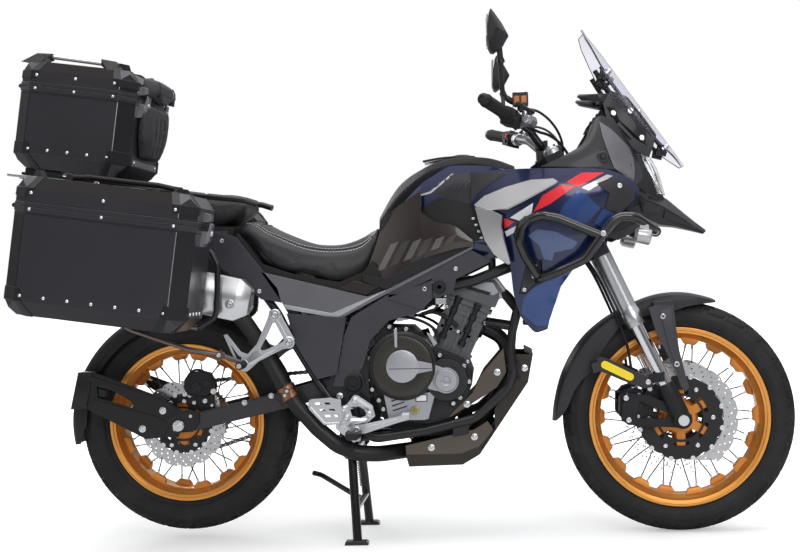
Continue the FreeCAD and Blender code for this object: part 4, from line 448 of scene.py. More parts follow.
class Form:
    """Points, faces and a material number for each face; many solids make one piece."""

    def __init__(self):
        self.points, self.faces, self.marks = [], [], []

    def add(self, points, faces, mark=0):
        base = len(self.points)
        self.points += [Vector(p) for p in points]
        self.faces += [[base + i for i in face] for face in faces]
        self.marks += [mark] * len(faces)
        return self

    def merge(self, other):
        base = len(self.points)
        self.points += [p.copy() for p in other.points]
        self.faces += [[base + i for i in face] for face in other.faces]
        self.marks += other.marks
        return self

    def other_side(self):
        made = Form()
        made.points = [Vector((p.x, -p.y, p.z)) for p in self.points]
        made.faces = [list(reversed(face)) for face in self.faces]
        made.marks = list(self.marks)
        return made

    def loft(self, sections, mark=0, capped=True, closed=False):
        """Closed outlines of the same number of points, joined in order."""
        count = len(sections[0])
        points = [p for section in sections for p in section]
        faces = []
        pairs = len(sections) if closed else len(sections) - 1
        for row in range(pairs):
            low, high = row * count, ((row + 1) % len(sections)) * count
            for i in range(count):
                j = (i + 1) % count
                faces.append((low + i, low + j, high + j, high + i))
        if capped and not closed:
            faces.append(tuple(reversed(range(count))))
            faces.append(tuple(range(len(points) - count, len(points))))
        return self.add(points, faces, mark)

    def lathe(self, start, way, profile, mark=0, sides=32, closed=False, capped=True):
        """(distance along, radius) turned about a line; a closed profile makes a ring."""
        start = Vector(start)
        way, aside, over = basis(way)
        sections = [[start + way * reach + aside * (radius * cos(2 * pi * k / sides))
                     + over * (radius * sin(2 * pi * k / sides)) for k in range(sides)]
                    for reach, radius in profile]
        return self.loft(sections, mark, capped=capped, closed=closed)

    def rod(self, start, end, radius, mark=0, sides=16, edge=0.8):
        start, end = Vector(start), Vector(end)
        length = (end - start).length
        profile = ((0, radius - edge), (edge, radius), (length - edge, radius), (length, radius - edge))
        return self.lathe(start, end - start, profile, mark, sides)

    def ring(self, centre, outer, inner, y_from, y_to, mark=0, sides=64, edge=0.6):
        profile = ((y_from, inner), (y_from, outer - edge), (y_from + edge, outer), (y_to - edge, outer),
                   (y_to, outer - edge), (y_to, inner))
        return self.lathe((centre[0], 0, centre[2]), ACROSS, profile, mark, sides, closed=True)

    def tube(self, path, radius, mark=0, sides=12):
        """A round bar along a list of points; radius may be a list."""
        path = [Vector(p) for p in path]
        radii = radius if isinstance(radius, (list, tuple)) else [radius] * len(path)
        sections = []
        aside = None
        for i, p in enumerate(path):
            way = (path[min(i + 1, len(path) - 1)] - path[max(i - 1, 0)]).normalized()
            if aside is None:
                aside = basis(way)[1]
            aside = (aside - way * aside.dot(way)).normalized()
            over = way.cross(aside)
            sections.append([p + aside * (radii[i] * cos(2 * pi * k / sides))
                             + over * (radii[i] * sin(2 * pi * k / sides)) for k in range(sides)])
        return self.loft(sections, mark)

    def prism(self, outline, y_from, y_to, mark=0):
        """A plate standing along the machine, from (x, z) points."""
        return self.loft([[(x, y_from, z) for x, z in outline], [(x, y_to, z) for x, z in outline]], mark)

    def box(self, low, high, mark=0):
        outline = ((low[0], low[2]), (high[0], low[2]), (high[0], high[2]), (low[0], high[2]))
        return self.prism(outline, low[1], high[1], mark)

    def sheet(self, rows, depth, mark=0):
        """A skin of even depth behind rows of points on its outer face."""
        height, width = len(rows), len(rows[0])
        rows = [[Vector(p) for p in row] for row in rows]
        inner = []
        for i in range(height):
            for j in range(width):
                down = rows[min(i + 1, height - 1)][j] - rows[max(i - 1, 0)][j]
                side = rows[i][min(j + 1, width - 1)] - rows[i][max(j - 1, 0)]
                normal = down.cross(side)
                normal = normal.normalized() if normal.length > 1e-6 else Vector((0, 0, 1))
                inner.append(rows[i][j] + normal * depth)
        points = [p for row in rows for p in row] + inner
        back = height * width
        faces = []

        def at(i, j):
            return i * width + j

        for i in range(height - 1):
            for j in range(width - 1):
                quad = (at(i, j), at(i + 1, j), at(i + 1, j + 1), at(i, j + 1))
                faces.append(quad)
                faces.append(tuple(back + k for k in reversed(quad)))
        rim = [at(0, j) for j in range(width)] + [at(i, width - 1) for i in range(1, height)]
        rim += [at(height - 1, j) for j in range(width - 2, -1, -1)] + [at(i, 0) for i in range(height - 2, 0, -1)]
        for a, b in zip(rim, rim[1:] + rim[:1]):
            faces.append((a, b, back + b, back + a))
        return self.add(points, faces, mark)

    def bolt(self, centre, way=(0, -1, 0), radius=6.0, height=4.0, mark=0):
        """A cap screw with a socket, standing out from a face."""
        profile = ((-2, radius * 0.9), (0, radius), (height * 0.75, radius), (height, radius * 0.84),
                   (height, radius * 0.5), (height * 0.35, radius * 0.42))
        return self.lathe(centre, way, profile, mark, sides=14)

    def dome(self, centre, way, radius, height, mark=0, sides=16):
        """A round head such as a rivet's."""
        profile = [(-1, radius)] + [(height * sin(a * pi / 8), radius * cos(a * pi / 8)) for a in range(4)]
        return self.lathe(centre, way, profile + [(height, radius * 0.12)], mark, sides)

    def cut_plate(self, outline, holes, y_from, y_to, mark=0):
        """A plate of (x, z) outline with holes, each (x, z, radius, sides) or a list of points."""
        data = bpy.data.curves.new("plate", "CURVE")
        data.dimensions = "2D"
        data.fill_mode = "BOTH"
        data.extrude = (y_to - y_from) / 2
        loops = [outline]
        for hole in holes:
            if isinstance(hole[0], (int, float)):
                x, z, radius, sides = hole
                hole = [(x + radius * cos(2 * pi * k / sides), z + radius * sin(2 * pi * k / sides))
                        for k in range(sides)]
            loops.append(hole)
        for loop in loops:
            spline = data.splines.new("POLY")
            spline.points.add(len(loop) - 1)
            for point, (x, z) in zip(spline.points, loop):
                point.co = (x, z, 0, 1)
            spline.use_cyclic_u = True
        helper = bpy.data.objects.new("plate", data)
        bpy.context.scene.collection.objects.link(helper)
        bpy.context.view_layer.update()
        shown = helper.evaluated_get(bpy.context.evaluated_depsgraph_get())
        mesh = bpy.data.meshes.new_from_object(shown)
        middle = (y_from + y_to) / 2
        work = bmesh.new()
        work.from_mesh(mesh)
        bmesh.ops.remove_doubles(work, verts=work.verts, dist=0.001)
        points = [(v.co.x, middle - v.co.z, v.co.y) for v in work.verts]
        self.add(points, [[v.index for v in f.verts] for f in work.faces], mark)
        work.free()
        bpy.data.objects.remove(helper)
        bpy.data.curves.remove(data)
        bpy.data.meshes.remove(mesh)
        return self

    def patch(self, outline, surface, lift, depth, mark=0, cell=14.0, side=-1):
        """A thin raised area of (x, z) outline laid on a surface seen from one side."""
        work = bmesh.new()
        work.faces.new([work.verts.new((x, 0, z)) for x, z in outline])
        for axis, values in ((0, [p[0] for p in outline]), (2, [p[1] for p in outline])):
            normal = Vector((axis == 0, 0, axis == 2))
            place = math.floor(min(values) / cell) * cell + cell
            while place < max(values):
                bmesh.ops.bisect_plane(work, geom=work.verts[:] + work.edges[:] + work.faces[:],
                                       plane_co=normal * place, plane_no=normal)
                place += cell
        work.verts.ensure_lookup_table()
        work.verts.index_update()
        heights = []
        for v in work.verts:
            hit = surface.ray_cast(Vector((v.co.x, side * 2000, v.co.z)), Vector((0, -side, 0)))[0]
            heights.append(hit.y if hit is not None else None)
        known = [h for h in heights if h is not None]
        if not known:
            raise ValueError("a patch lies beside its surface")
        for v, height in zip(work.verts, heights):
            if height is None:
                near = [(other.co - v.co).length for other in work.verts]
                order = sorted(range(len(near)), key=lambda k: near[k])
                height = next(heights[k] for k in order if heights[k] is not None)
            v.co.y = height + side * lift
        count = len(work.verts)
        points = [v.co.copy() for v in work.verts]
        points += [p - Vector((0, side * depth, 0)) for p in points[:count]]
        faces = [[v.index for v in f.verts] for f in work.faces]
        faces += [[count + i for i in reversed(f)] for f in faces]
        for e in work.edges:
            if e.is_boundary:
                a, b = (v.index for v in e.verts)
                faces.append((a, b, count + b, count + a))
        work.free()
        return self.add(points, faces, mark)

    def hull(self, points, mark=0):
        """The faceted solid round a few corner points."""
        work = bmesh.new()
        for p in points:
            work.verts.new(Vector(p))
        made = bmesh.ops.convex_hull(work, input=work.verts)
        spare = {g for g in made["geom_interior"] + made["geom_unused"] if isinstance(g, bmesh.types.BMVert)}
        bmesh.ops.delete(work, geom=list(spare), context="VERTS")
        bmesh.ops.dissolve_limit(work, angle_limit=0.03, verts=work.verts, edges=work.edges)
        work.verts.index_update()
        self.add([v.co.copy() for v in work.verts], [[v.index for v in f.verts] for f in work.faces], mark)
        work.free()
        return self

    def bvh(self):
        return BVHTree.FromPolygons(self.points, self.faces)


def piece(name, form, body, finishes, bevel=0.0, angle=32, replaces=()):
    """Makes the mesh of one named piece; bevel in millimetres, angle the least that stays a sharp edge."""
    mesh = bpy.data.meshes.new(name)
    mesh.from_pydata([metres(p) for p in form.points], [], form.faces)
    mesh.polygons.foreach_set("material_index", form.marks)
    for finish in finishes if isinstance(finishes, (list, tuple)) else [finishes]:
        mesh.materials.append(finish)
    work = bmesh.new()
    work.from_mesh(mesh)
    bmesh.ops.recalc_face_normals(work, faces=work.faces)
    work.to_mesh(mesh)
    work.free()
    mesh.shade_smooth()
    mesh.set_sharp_from_angle(angle=radians(angle))
    made = bpy.data.objects.new(name, mesh)
    bpy.context.scene.collection.objects.link(made)
    if bevel:
        edge = made.modifiers.new("edge", "BEVEL")
        edge.width = bevel / 1000
        edge.segments = 2
        edge.limit_method = "ANGLE"
        edge.angle_limit = radians(angle)
        edge.harden_normals = True
    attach(made, body)
    if replaces:
        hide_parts(*replaces)
    return made


# ---------------------------------------------------------------- wheels
FRONT = (770.0, 0.0, 329.3)
REAR = (-656.0, 0.0, 345.0)
LUGS = 18
TREAD_DEPTH = 5.0
SIDE_RIBS = 144
DISC_THICKNESS = 5.0


def make_tyre(name, body, centre, crown, width, flange, rim, pitches, node_name):
    half = rim / 2
    side_wall = [(flange - 12.2, half - 7.5), (flange + 0.5, half - 5.6), (flange + 2.6, half),
                 (flange + 6, half + 2.5), (flange + 7.5, half + 2.5), (flange + 9, half + 3.6),
                 (flange + 16, width / 2 - 1.4), ((flange + crown - 23) / 2, width / 2),
                 (crown - 39, width / 2 - 0.1), (crown - 37.5, width / 2 - 1.2), (crown - 30, width / 2 - 2.4)]
    over = [(crown - 21, width / 2 - 4.5), (crown - 9, width * 0.345), (crown - 2.3, width * 0.18),
            (crown, width * 0.04)]
    depth = TREAD_DEPTH

    def top(y):
        """Radius of the tread's outer face at a distance across."""
        y = min(abs(y), width / 2 - 4.5)
        line = [(0.0, crown)] + [(b, a) for a, b in reversed(over)]
        for (y0, r0), (y1, r1) in zip(line, line[1:]):
            if y <= y1:
                t = (y - y0) / (y1 - y0)
                return r0 + (r1 - r0) * (t * t * 0.35 + t * 0.65)
        return over[0][0]

    ground = [(y, top(y) - depth) for y in [width * 0.455 * (1 - k / 8) for k in range(9)]]
    profile = [(y, r) for r, y in side_wall] + ground
    profile += [(-y, r) for y, r in reversed(profile[:-1])]
    inside = [(-(half - 9), flange - 12.2), (0, flange - 11), (half - 9, flange - 12.2)]
    form = Form().lathe(centre, ACROSS, profile + inside, 0, sides=120, closed=True)
    step = 2 * pi / pitches
    rows = (
        # inner and outer edge across, start and end along the pitch, lean, as shares
        (0.010, 0.125, 0.05, 0.93, 0.9),
        (0.155, 0.290, 0.02, 0.86, 0.7),
        (0.320, 0.462, 0.08, 0.84, 0.5),
    )
    for sign in (-1, 1):
        for k in range(pitches):
            for row, (y0, y1, a0, a1, lean) in enumerate(rows):
                shift = k + (0.5 if sign > 0 else 0.0) + 0.33 * row
                across = [y0 + (y1 - y0) * n / 4 for n in range(5)]
                along = (a0, a0 + 0.03, (a0 + a1) / 2, a1 - 0.03, a1)
                outer, low = [], []
                for m, a in enumerate(along):
                    line, foot = [], []
                    for n, share in enumerate(across):
                        wave = 0.10 * sin(pi * (share - y0) / (y1 - y0)) * (1 if row < 2 else -1)
                        angle = (shift + a + lean * (share - 0.25) + wave) * step
                        rim_drop = 0.9 if m in (0, 4) or n in (0, 4) else 0.0
                        y = share * width
                        line.append(around(centre, angle, top(y) - rim_drop, sign * y))
                        foot.append(around(centre, angle, top(y) - depth - 1.5, sign * y))
                    outer.append(line)
                    low.append(foot)
                points = [p for line in outer for p in line] + [p for line in low for p in line]
                faces = [(5 * i + j, 5 * i + j + 1, 5 * i + j + 6, 5 * i + j + 5) for i in range(4) for j in range(4)]
                rim_ids = [j for j in range(5)] + [5 * i + 4 for i in range(1, 5)]
                rim_ids += [20 + j for j in (3, 2, 1, 0)] + [5 * i for i in (3, 2, 1)]
                faces += [(a, b, b + 25, a + 25) for a, b in zip(rim_ids, rim_ids[1:] + rim_ids[:1])]
                form.add(points, faces, 1)
    for sign in (-1, 1):
        for k in range(SIDE_RIBS):
            angle = k * 2 * pi / SIDE_RIBS
            r0, r1 = flange + 18, flange + 24
            span = 0.010
            y = width / 2 - 1.0
            corners = [(angle, r0), (angle + span, r0), (angle + span, r1), (angle, r1)]
            points = [around(centre, a, r, sign * (y - 1.5)) for a, r in corners]
            points += [around(centre, a, r, sign * (y + 0.7)) for a, r in corners]
            form.add(points, [(0, 1, 2, 3), (4, 5, 6, 7), (0, 1, 5, 4), (1, 2, 6, 5), (2, 3, 7, 6), (3, 0, 4, 7)])
    return piece(name, form, body, [TYRE, TREAD], replaces=[node_name], angle=28)


def make_rim(name, body, centre, flange, width, hub, node_name):
    edge = width / 2
    well = flange - 34
    half = [(0, well), (edge * 0.42, well), (edge * 0.54, well + 1.2), (edge * 0.70, flange - 24),
            (edge - 7, flange - 19), (edge - 3.5, flange - 17.5), (edge - 2.2, flange - 11.5),
            (edge - 0.4, flange - 10), (edge, flange - 8.5), (edge, flange - 1.5), (edge - 1.2, flange),
            (edge - 4, flange), (edge - 5, flange - 2), (edge - 6.4, flange - 12.5), (edge - 24, flange - 13),
            (edge - 31, flange - 26), (0, flange - 26)]
    profile = half + [(-y, r) for y, r in reversed(half[1:-1])]
    form = Form().lathe(centre, ACROSS, profile, 0, sides=144, closed=True)
    for k in range(LUGS):
        lug_side = 1 if k % 2 else -1
        y = lug_side * 0.2 * width
        turn = k * 2 * pi / LUGS
        sections = []
        for deep, long, wide in ((-4, 25, 12.0), (2, 24, 11.0), (12, 17, 9.0), (14, 15.5, 7.5)):
            radius = well - deep
            sections.append([around(centre, turn + along / radius, radius, y + across)
                             for along, across in ((-long, -wide), (long, -wide), (long, wide), (-long, wide))])
        form.loft(sections, 1)
    piece(name, form, body, [GOLD, GOLD_CAST], replaces=[node_name], bevel=0.8)
    spokes = Form()
    for k in range(LUGS):
        lug_side = 1 if k % 2 else -1
        for cross in (-1, 1):
            at_rim = k * 2 * pi / LUGS + cross * 9.0 / well
            at_hub = at_rim + cross * radians(34)
            outer = around(centre, at_rim, well - 10, lug_side * 0.2 * width)
            inner = around(centre, at_hub, hub["flange"] - 5, lug_side * hub["spoke"])
            way = (inner - outer).normalized()
            spokes.rod(outer, outer + way * 16, 3.4, 1, sides=8)
            spokes.rod(outer + way * 10, inner, 1.9, 0, sides=6, edge=0.2)
    piece(name + "_spokes", spokes, body, [SPOKE, BOLT])
    gold = Form()
    middle, reach = hub["spoke"], hub["half"]
    outline = [(-reach, 16), (-reach, hub["nose"]), (-reach + 4, hub["nose"] + 2), (-middle - 5, hub["barrel"]),
               (-middle - 4, hub["flange"] - 2), (-middle - 3, hub["flange"]), (-middle + 3, hub["flange"]),
               (-middle + 4, hub["flange"] - 2), (-middle + 6, hub["barrel"] + 1), (0, hub["barrel"] - 3)]
    outline += [(-y, r) for y, r in reversed(outline[:-1])]
    gold.lathe(centre, ACROSS, outline, 0, sides=72, closed=True)
    for sign in (-1, 1):
        for k in range(6):
            turn = (k + 0.5) * pi / 3
            arm = [around(centre, turn + a, r, 0) for a, r in
                   ((-0.34, hub["nose"] - 4), (0.34, hub["nose"] - 4), (0.13, hub["arms"]), (-0.13, hub["arms"]))]
            gold.prism([(p.x, p.z) for p in arm], *between(sign, reach - 9, reach - 0.5), 0)
    piece(name + "_hub", gold, body, [GOLD_CAST], bevel=0.9)


FRONT_HUB = {"barrel": 34, "flange": 52, "spoke": 34, "half": 66.0, "nose": 42, "arms": 90}
REAR_HUB = {"barrel": 46, "flange": 66, "spoke": 46, "half": 95.0, "nose": 44, "arms": 62}
# radius of the rim's flange and width over it
FRONT_RIM, REAR_RIM = (256.0, 92.0), (230.7, 124.0)
make_tyre("front_tread", "front_wheel", FRONT, 329.3, 110.0, *FRONT_RIM, pitches=32, node_name="front_tyre")
make_tyre("rear_tread", "rear_wheel", REAR, 320.9, 150.0, *REAR_RIM, pitches=30, node_name="rear_tyre")
make_rim("front_gold_rim", "front_wheel", FRONT, *FRONT_RIM, FRONT_HUB, "front_rim")
make_rim("rear_gold_rim", "rear_wheel", REAR, *REAR_RIM, REAR_HUB, "rear_rim")


def wave_outline(centre, radius, lobes, dip, steps=12):
    """A scalloped disc's edge."""
    out = []
    for k in range(lobes * steps):
        turn = 2 * pi * k / (lobes * steps)
        share = abs(((k / steps) % 1) - 0.5) * 2
        out.append((centre[0] + (radius - dip * max(0, share * 1.9 - 0.9) ** 1.5) * cos(turn),
                    centre[2] + (radius - dip * max(0, share * 1.9 - 0.9) ** 1.5) * sin(turn)))
    return out


def ring_points(centre, radius, count, start=0.0, size=2.6, sides=10):
    return [(centre[0] + radius * cos(start + 2 * pi * k / count),
             centre[2] + radius * sin(start + 2 * pi * k / count), size, sides) for k in range(count)]


def arc_slot(centre, radius, half_width, middle, span, steps=8):
    """A curved slot as a closed outline."""
    angles = [middle - span / 2 + span * k / steps for k in range(steps + 1)]
    outer = [(centre[0] + (radius + half_width) * cos(a), centre[2] + (radius + half_width) * sin(a)) for a in angles]
    inner = [(centre[0] + (radius - half_width) * cos(a), centre[2] + (radius - half_width) * sin(a)) for a in angles]
    return outer + inner[::-1]


def make_disc(name, body, centre, radius, width, lobes, y_inner, sign, carrier_inner, bolt_ring, node_names):
    """A drilled rotor on a black carrier, with its buttons and bolts."""
    inner = radius - width
    outer_face = y_inner + sign * DISC_THICKNESS
    near, far = sorted((y_inner, outer_face))
    rotor = Form()
    holes = []
    for row, share in enumerate((0.30, 0.56, 0.82)):
        holes += ring_points(centre, inner + width * share, 30, start=row * pi / 45, size=2.7)
    holes.append((centre[0], centre[2], inner, 96))
    rotor.cut_plate(wave_outline(centre, radius, lobes, 6.0), holes, near, far)
    piece(name, rotor, body, [STEEL], bevel=0.4, replaces=node_names)
    black = Form()
    slots = [arc_slot(centre, (carrier_inner + bolt_ring) / 2 - 2, 5.5, k * pi / 3 + pi / 6, 0.62) for k in range(6)]
    slots.append((centre[0], centre[2], carrier_inner, 72))
    black.cut_plate(wave_outline(centre, inner - 1.0, 12, 4.5), slots, near + 0.6, far - 0.6)
    for k in range(6):
        spot = around(centre, k * pi / 3, bolt_ring, outer_face)
        black.bolt(spot, (0, sign, 0), 6.5, 4.0, 1)
    for k in range(12):
        spot = around(centre, k * pi / 6 + pi / 12, inner - 1.5, y_inner + sign * 5.2)
        black.lathe(spot, (0, sign, 0), ((-5.4, 7.2), (0.9, 7.2), (1.5, 6.5), (1.5, 3.6), (0.4, 3.2)), 1, sides=18)
    piece(name + "_carrier", black, body, [CARRIER_BLACK, BOLT], bevel=0.5)


for name, y_inner, sign, nodes in (("front_disc_right", -66.0, -1, ["front_brake_discs"]),
                                   ("front_disc_left", 66.0, 1, [])):
    make_disc(name, "front_wheel", FRONT, radius=160.0, width=40.0, lobes=18, y_inner=y_inner, sign=sign,
              carrier_inner=62, bolt_ring=90, node_names=nodes)
make_disc("rear_disc_rotor", "rear_wheel", REAR, radius=125.0, width=38.0, lobes=15, y_inner=-95.0, sign=-1,
          carrier_inner=46, bolt_ring=70, node_names=["rear_brake_disc"])


# ---------------------------------------------------------------- fork and front brake
RAKE = radians(24.0)
UP_FORK = Vector((-sin(RAKE), 0, cos(RAKE)))
# from the steering axis to the fork legs, square to it
LEG_OFFSET = (740.766 - 770) * -cos(RAKE) + (329.3 - 316.284) * sin(RAKE)


def on_fork(up, sign):
    """A point on a fork leg's middle line, up from the front axle."""
    return Vector((FRONT[0], sign * 105.0, FRONT[2])) + UP_FORK * up


def make_fork():
    form = Form()
    for sign in (-1, 1):
        foot = on_fork(0, sign)
        form.lathe(foot, UP_FORK, ((291, 21), (291, 24.6), (293, 25.6), (306, 25.6), (308, 27.2), (334, 27.2),
                                   (337, 25.4), (352, 24.2), (790, 24.0), (796, 25.2), (838, 25.2), (845, 22)), 0,
                   sides=40)
        form.lathe(foot, UP_FORK, ((845, 20), (846, 17), (852, 16.5), (853, 9), (850, 8.5)), 3, sides=24)
        form.lathe(foot, UP_FORK, ((96, 20.5), (296, 20.5)), 1, sides=36)
        form.lathe(foot, UP_FORK, ((-18, 19), (-15, 24), (20, 26.0), (84, 26.0), (104, 24.8), (110, 23.5),
                                   (111, 20.8)), 2,
                   sides=36)
        form.ring((FRONT[0], 0, FRONT[2]), 26, 9.9, *between(sign, 86, 124), 2, sides=36, edge=2)
        window = ((654, 383), (738, 343), (724, 331), (642, 334))
        form.cut_plate(((682, 397), (728, 376), (778, 356), (797, 340), (796, 318), (771, 305), (700, 309),
                        (619, 316), (602, 330), (604, 372), (622, 405)), [window], *between(sign, 91, 104), 2)
        for outline in (((676, 433), (676, 456), (722, 466), (722, 438)),
                        ((706, 556), (706, 566), (742, 568), (742, 552))):
            form.prism(outline, *between(sign, 111, 131.3), 2)
        for x, z in ((622, 330), (616, 392)):
            form.bolt((x, sign * 104.5, z), (0, sign, 0), 8, 5, 3)
        form.ring((FRONT[0], 0, FRONT[2]), 20, 11, *between(sign, 124, 131), 2, sides=6, edge=1)
    piece("fork_tubes", form, "steering", [TUBE_GREY, CHROME, CAST_BLACK, BOLT], bevel=0.9,
          replaces=["fork_legs"])


def make_calipers():
    form = Form()
    body_line = ((604, 332), (616, 321), (634, 318), (652, 326), (664, 338), (668, 362), (662, 376), (670, 392),
                 (660, 414), (640, 418), (618, 412), (606, 398), (600, 384), (606, 364))
    for sign in (-1, 1):
        form.prism(body_line, *between(sign, 73.6, 91.2), 0)
        form.prism([(x - 1.5, z) for x, z in body_line], *between(sign, 56, 63.6), 0)
        form.prism(((597, 340), (604.5, 338), (609, 400), (599, 396)), *between(sign, 56, 91), 0)
        for x, z in ((636, 350), (638, 386)):
            form.lathe((x, sign * 91, z), (0, sign, 0), ((-3, 13), (1.0, 13), (2.4, 11.5), (2.4, 4.5), (1.2, 4)), 0,
                       sides=24)
        for x, z in ((622, 330), (650, 338), (654, 400), (622, 400)):
            form.bolt((x, sign * 91.0, z), (0, sign, 0), 4.6, 3.5, 1)
        form.lathe((640, sign * 78, 414), (0, 0, 1), ((0, 6), (7, 6), (8, 5), (8, 3)), 1, sides=6)
    piece("front_caliper_bodies", form, "steering", [CAST_BLACK, BOLT], bevel=1.6,
          replaces=["front_calipers"])


def make_front_guard():
    """The front mudguard: a crowned skin over the tyre with skirts behind the fork, stays and fork guards."""
    form = Form()
    rows = []
    stations = (
        # angle from straight ahead, crown radius, skirt radius, half width
        (70.5, 349, 346, 14), (74, 351, 338, 40), (80, 353, 327, 58), (86, 355, 317, 64), (93, 355, 306, 66),
        (101, 353, 305, 66), (110, 349, 308, 66), (120, 349, 313, 66), (130, 351, 300, 66.5),
        (139.5, 353, 291, 67), (149, 353, 284, 67), (157.8, 353.5, 300, 67), (165, 354, 311, 66),
        (173, 356, 321, 62), (178, 358, 336, 48), (181, 360, 352, 22),
    )
    across = ((-0.99, 1.0), (-1.015, 0.55), (-0.985, 0.24), (-0.90, 0.10), (-0.5, 0.0), (0.0, 0.0), (0.5, 0.0),
              (0.90, 0.10), (0.985, 0.24), (1.015, 0.55), (0.99, 1.0))
    for angle, crown, skirt, half in stations:
        rows.append([around(FRONT, radians(angle), crown - (crown - skirt) * drop - 4 * abs(share) ** 2, share * half)
                     for share, drop in across])
    form.sheet(smooth_grid(rows, 3, 2), 2.4, 0)
    stay = ((536, 508), (548, 512), (566, 506), (640, 470), (672, 454), (690, 432), (684, 423), (663, 420),
            (600, 446), (542, 473))
    guard = ((683, 645), (706, 652), (752, 648), (757, 590), (764, 525), (779, 455), (788, 422), (777, 408),
             (764, 428), (752, 468), (728, 520), (704, 568))
    for sign in (-1, 1):
        form.prism(stay, *between(sign, 131.6, 135), 0)
        form.prism(((520, 492), (560, 506), (560, 474), (526, 466)), *between(sign, 64, 134), 0)
        form.prism(guard, *between(sign, 131.6, 135), 1)
        form.prism(((698, 660), (754, 664), (754, 640), (698, 640)), *between(sign, 62, 134), 0)
        rows = [[(716, sign * 135, 640), (722, sign * 138.5, 600), (738, sign * 138.5, 530), (766, sign * 136, 450)],
                [(744, sign * 135, 640), (748, sign * 138.5, 600), (756, sign * 138.5, 530), (774, sign * 136, 450)]]
        form.sheet(smooth_grid(rows, 1, 4), 1.5 * -sign, 1)
        for x, z in ((722, 620), (756, 486)):
            form.bolt((x, sign * 135, z), (0, sign, 0), 7.5, 4, 2)
        form.bolt((676, sign * 135, 438), (0, sign, 0), 7.5, 4, 2)
    piece("front_guard", form, "steering", [PLASTIC_GREY, PANEL_GREY, BOLT], bevel=0.7,
          replaces=["front_mudguard"])
    glow = Form()
    for sign in (-1, 1):
        a, b = Vector((558, 0, 489)), Vector((626, 0, 454))
        way = (b - a).normalized()
        over = Vector((-way.z, 0, way.x))
        outline = [a + way * (11 * cos(t)) + over * (11 * sin(t)) for t in [pi / 2 + pi * k / 10 for k in range(11)]]
        outline += [b + way * (11 * cos(t)) + over * (11 * sin(t))
                    for t in [-pi / 2 + pi * k / 10 for k in range(11)]]
        glow.prism([(p.x, p.z) for p in outline], *between(sign, 134.5, 139), 0)
    piece("side_reflectors", glow, "steering", [YELLOW], bevel=1.4)


make_fork()
make_calipers()
make_front_guard()


# ---------------------------------------------------------------- tank, fairings and panels
def closed_section(x, levels):
    """Right side from the bottom up, then the left side down."""
    right = [Vector((x, -y, z)) for y, z in levels]
    left = [Vector((x, y, z)) for y, z in reversed(levels)]
    return right + left


def lofted(rows, steps):
    """A smooth solid through sections of (x, levels)."""
    return Form().loft(blend_rows([closed_section(x, levels) for x, levels in rows], steps), 0)


TANK = (
    # x, then half width and height from the bottom to the crown
    (-70, ((66, 800), (80, 830), (83, 856), (76, 894), (60, 912), (34, 922), (8, 925))),
    (-13, ((98, 772), (118, 812), (125, 850), (116, 930), (98, 976), (58, 1006), (14, 1014))),
    (58, ((124, 772), (148, 822), (157, 868), (150, 970), (132, 1030), (82, 1054), (20, 1062))),
    (120, ((132, 776), (158, 830), (167, 885), (161, 1000), (142, 1056), (94, 1078), (24, 1084))),
    (190, ((136, 780), (163, 840), (171, 900), (165, 1012), (146, 1064), (100, 1084), (28, 1090))),
    (260, ((130, 798), (162, 850), (170, 910), (165, 1008), (148, 1054), (104, 1076), (30, 1082))),
    (324, ((116, 822), (150, 866), (163, 918), (158, 990), (146, 1030), (98, 1052), (28, 1057))),
)


# where the black crown ends on the side of the tank, from the rear; over the shoulders it is painted shade on the
# navy
CROWN_LINE = ((-68, 893), (-40, 919), (-13, 944), (20, 975), (58, 1010), (90, 1029), (141, 1058), (190, 1057),
              (260, 1053), (322, 1040))


def height_at(line, x):
    """The height of a line of (x, z) points at x."""
    for (x0, z0), (x1, z1) in zip(line, line[1:]):
        if x <= x1:
            return z0 + (z1 - z0) * (x - x0) / (x1 - x0)
    return line[-1][1]


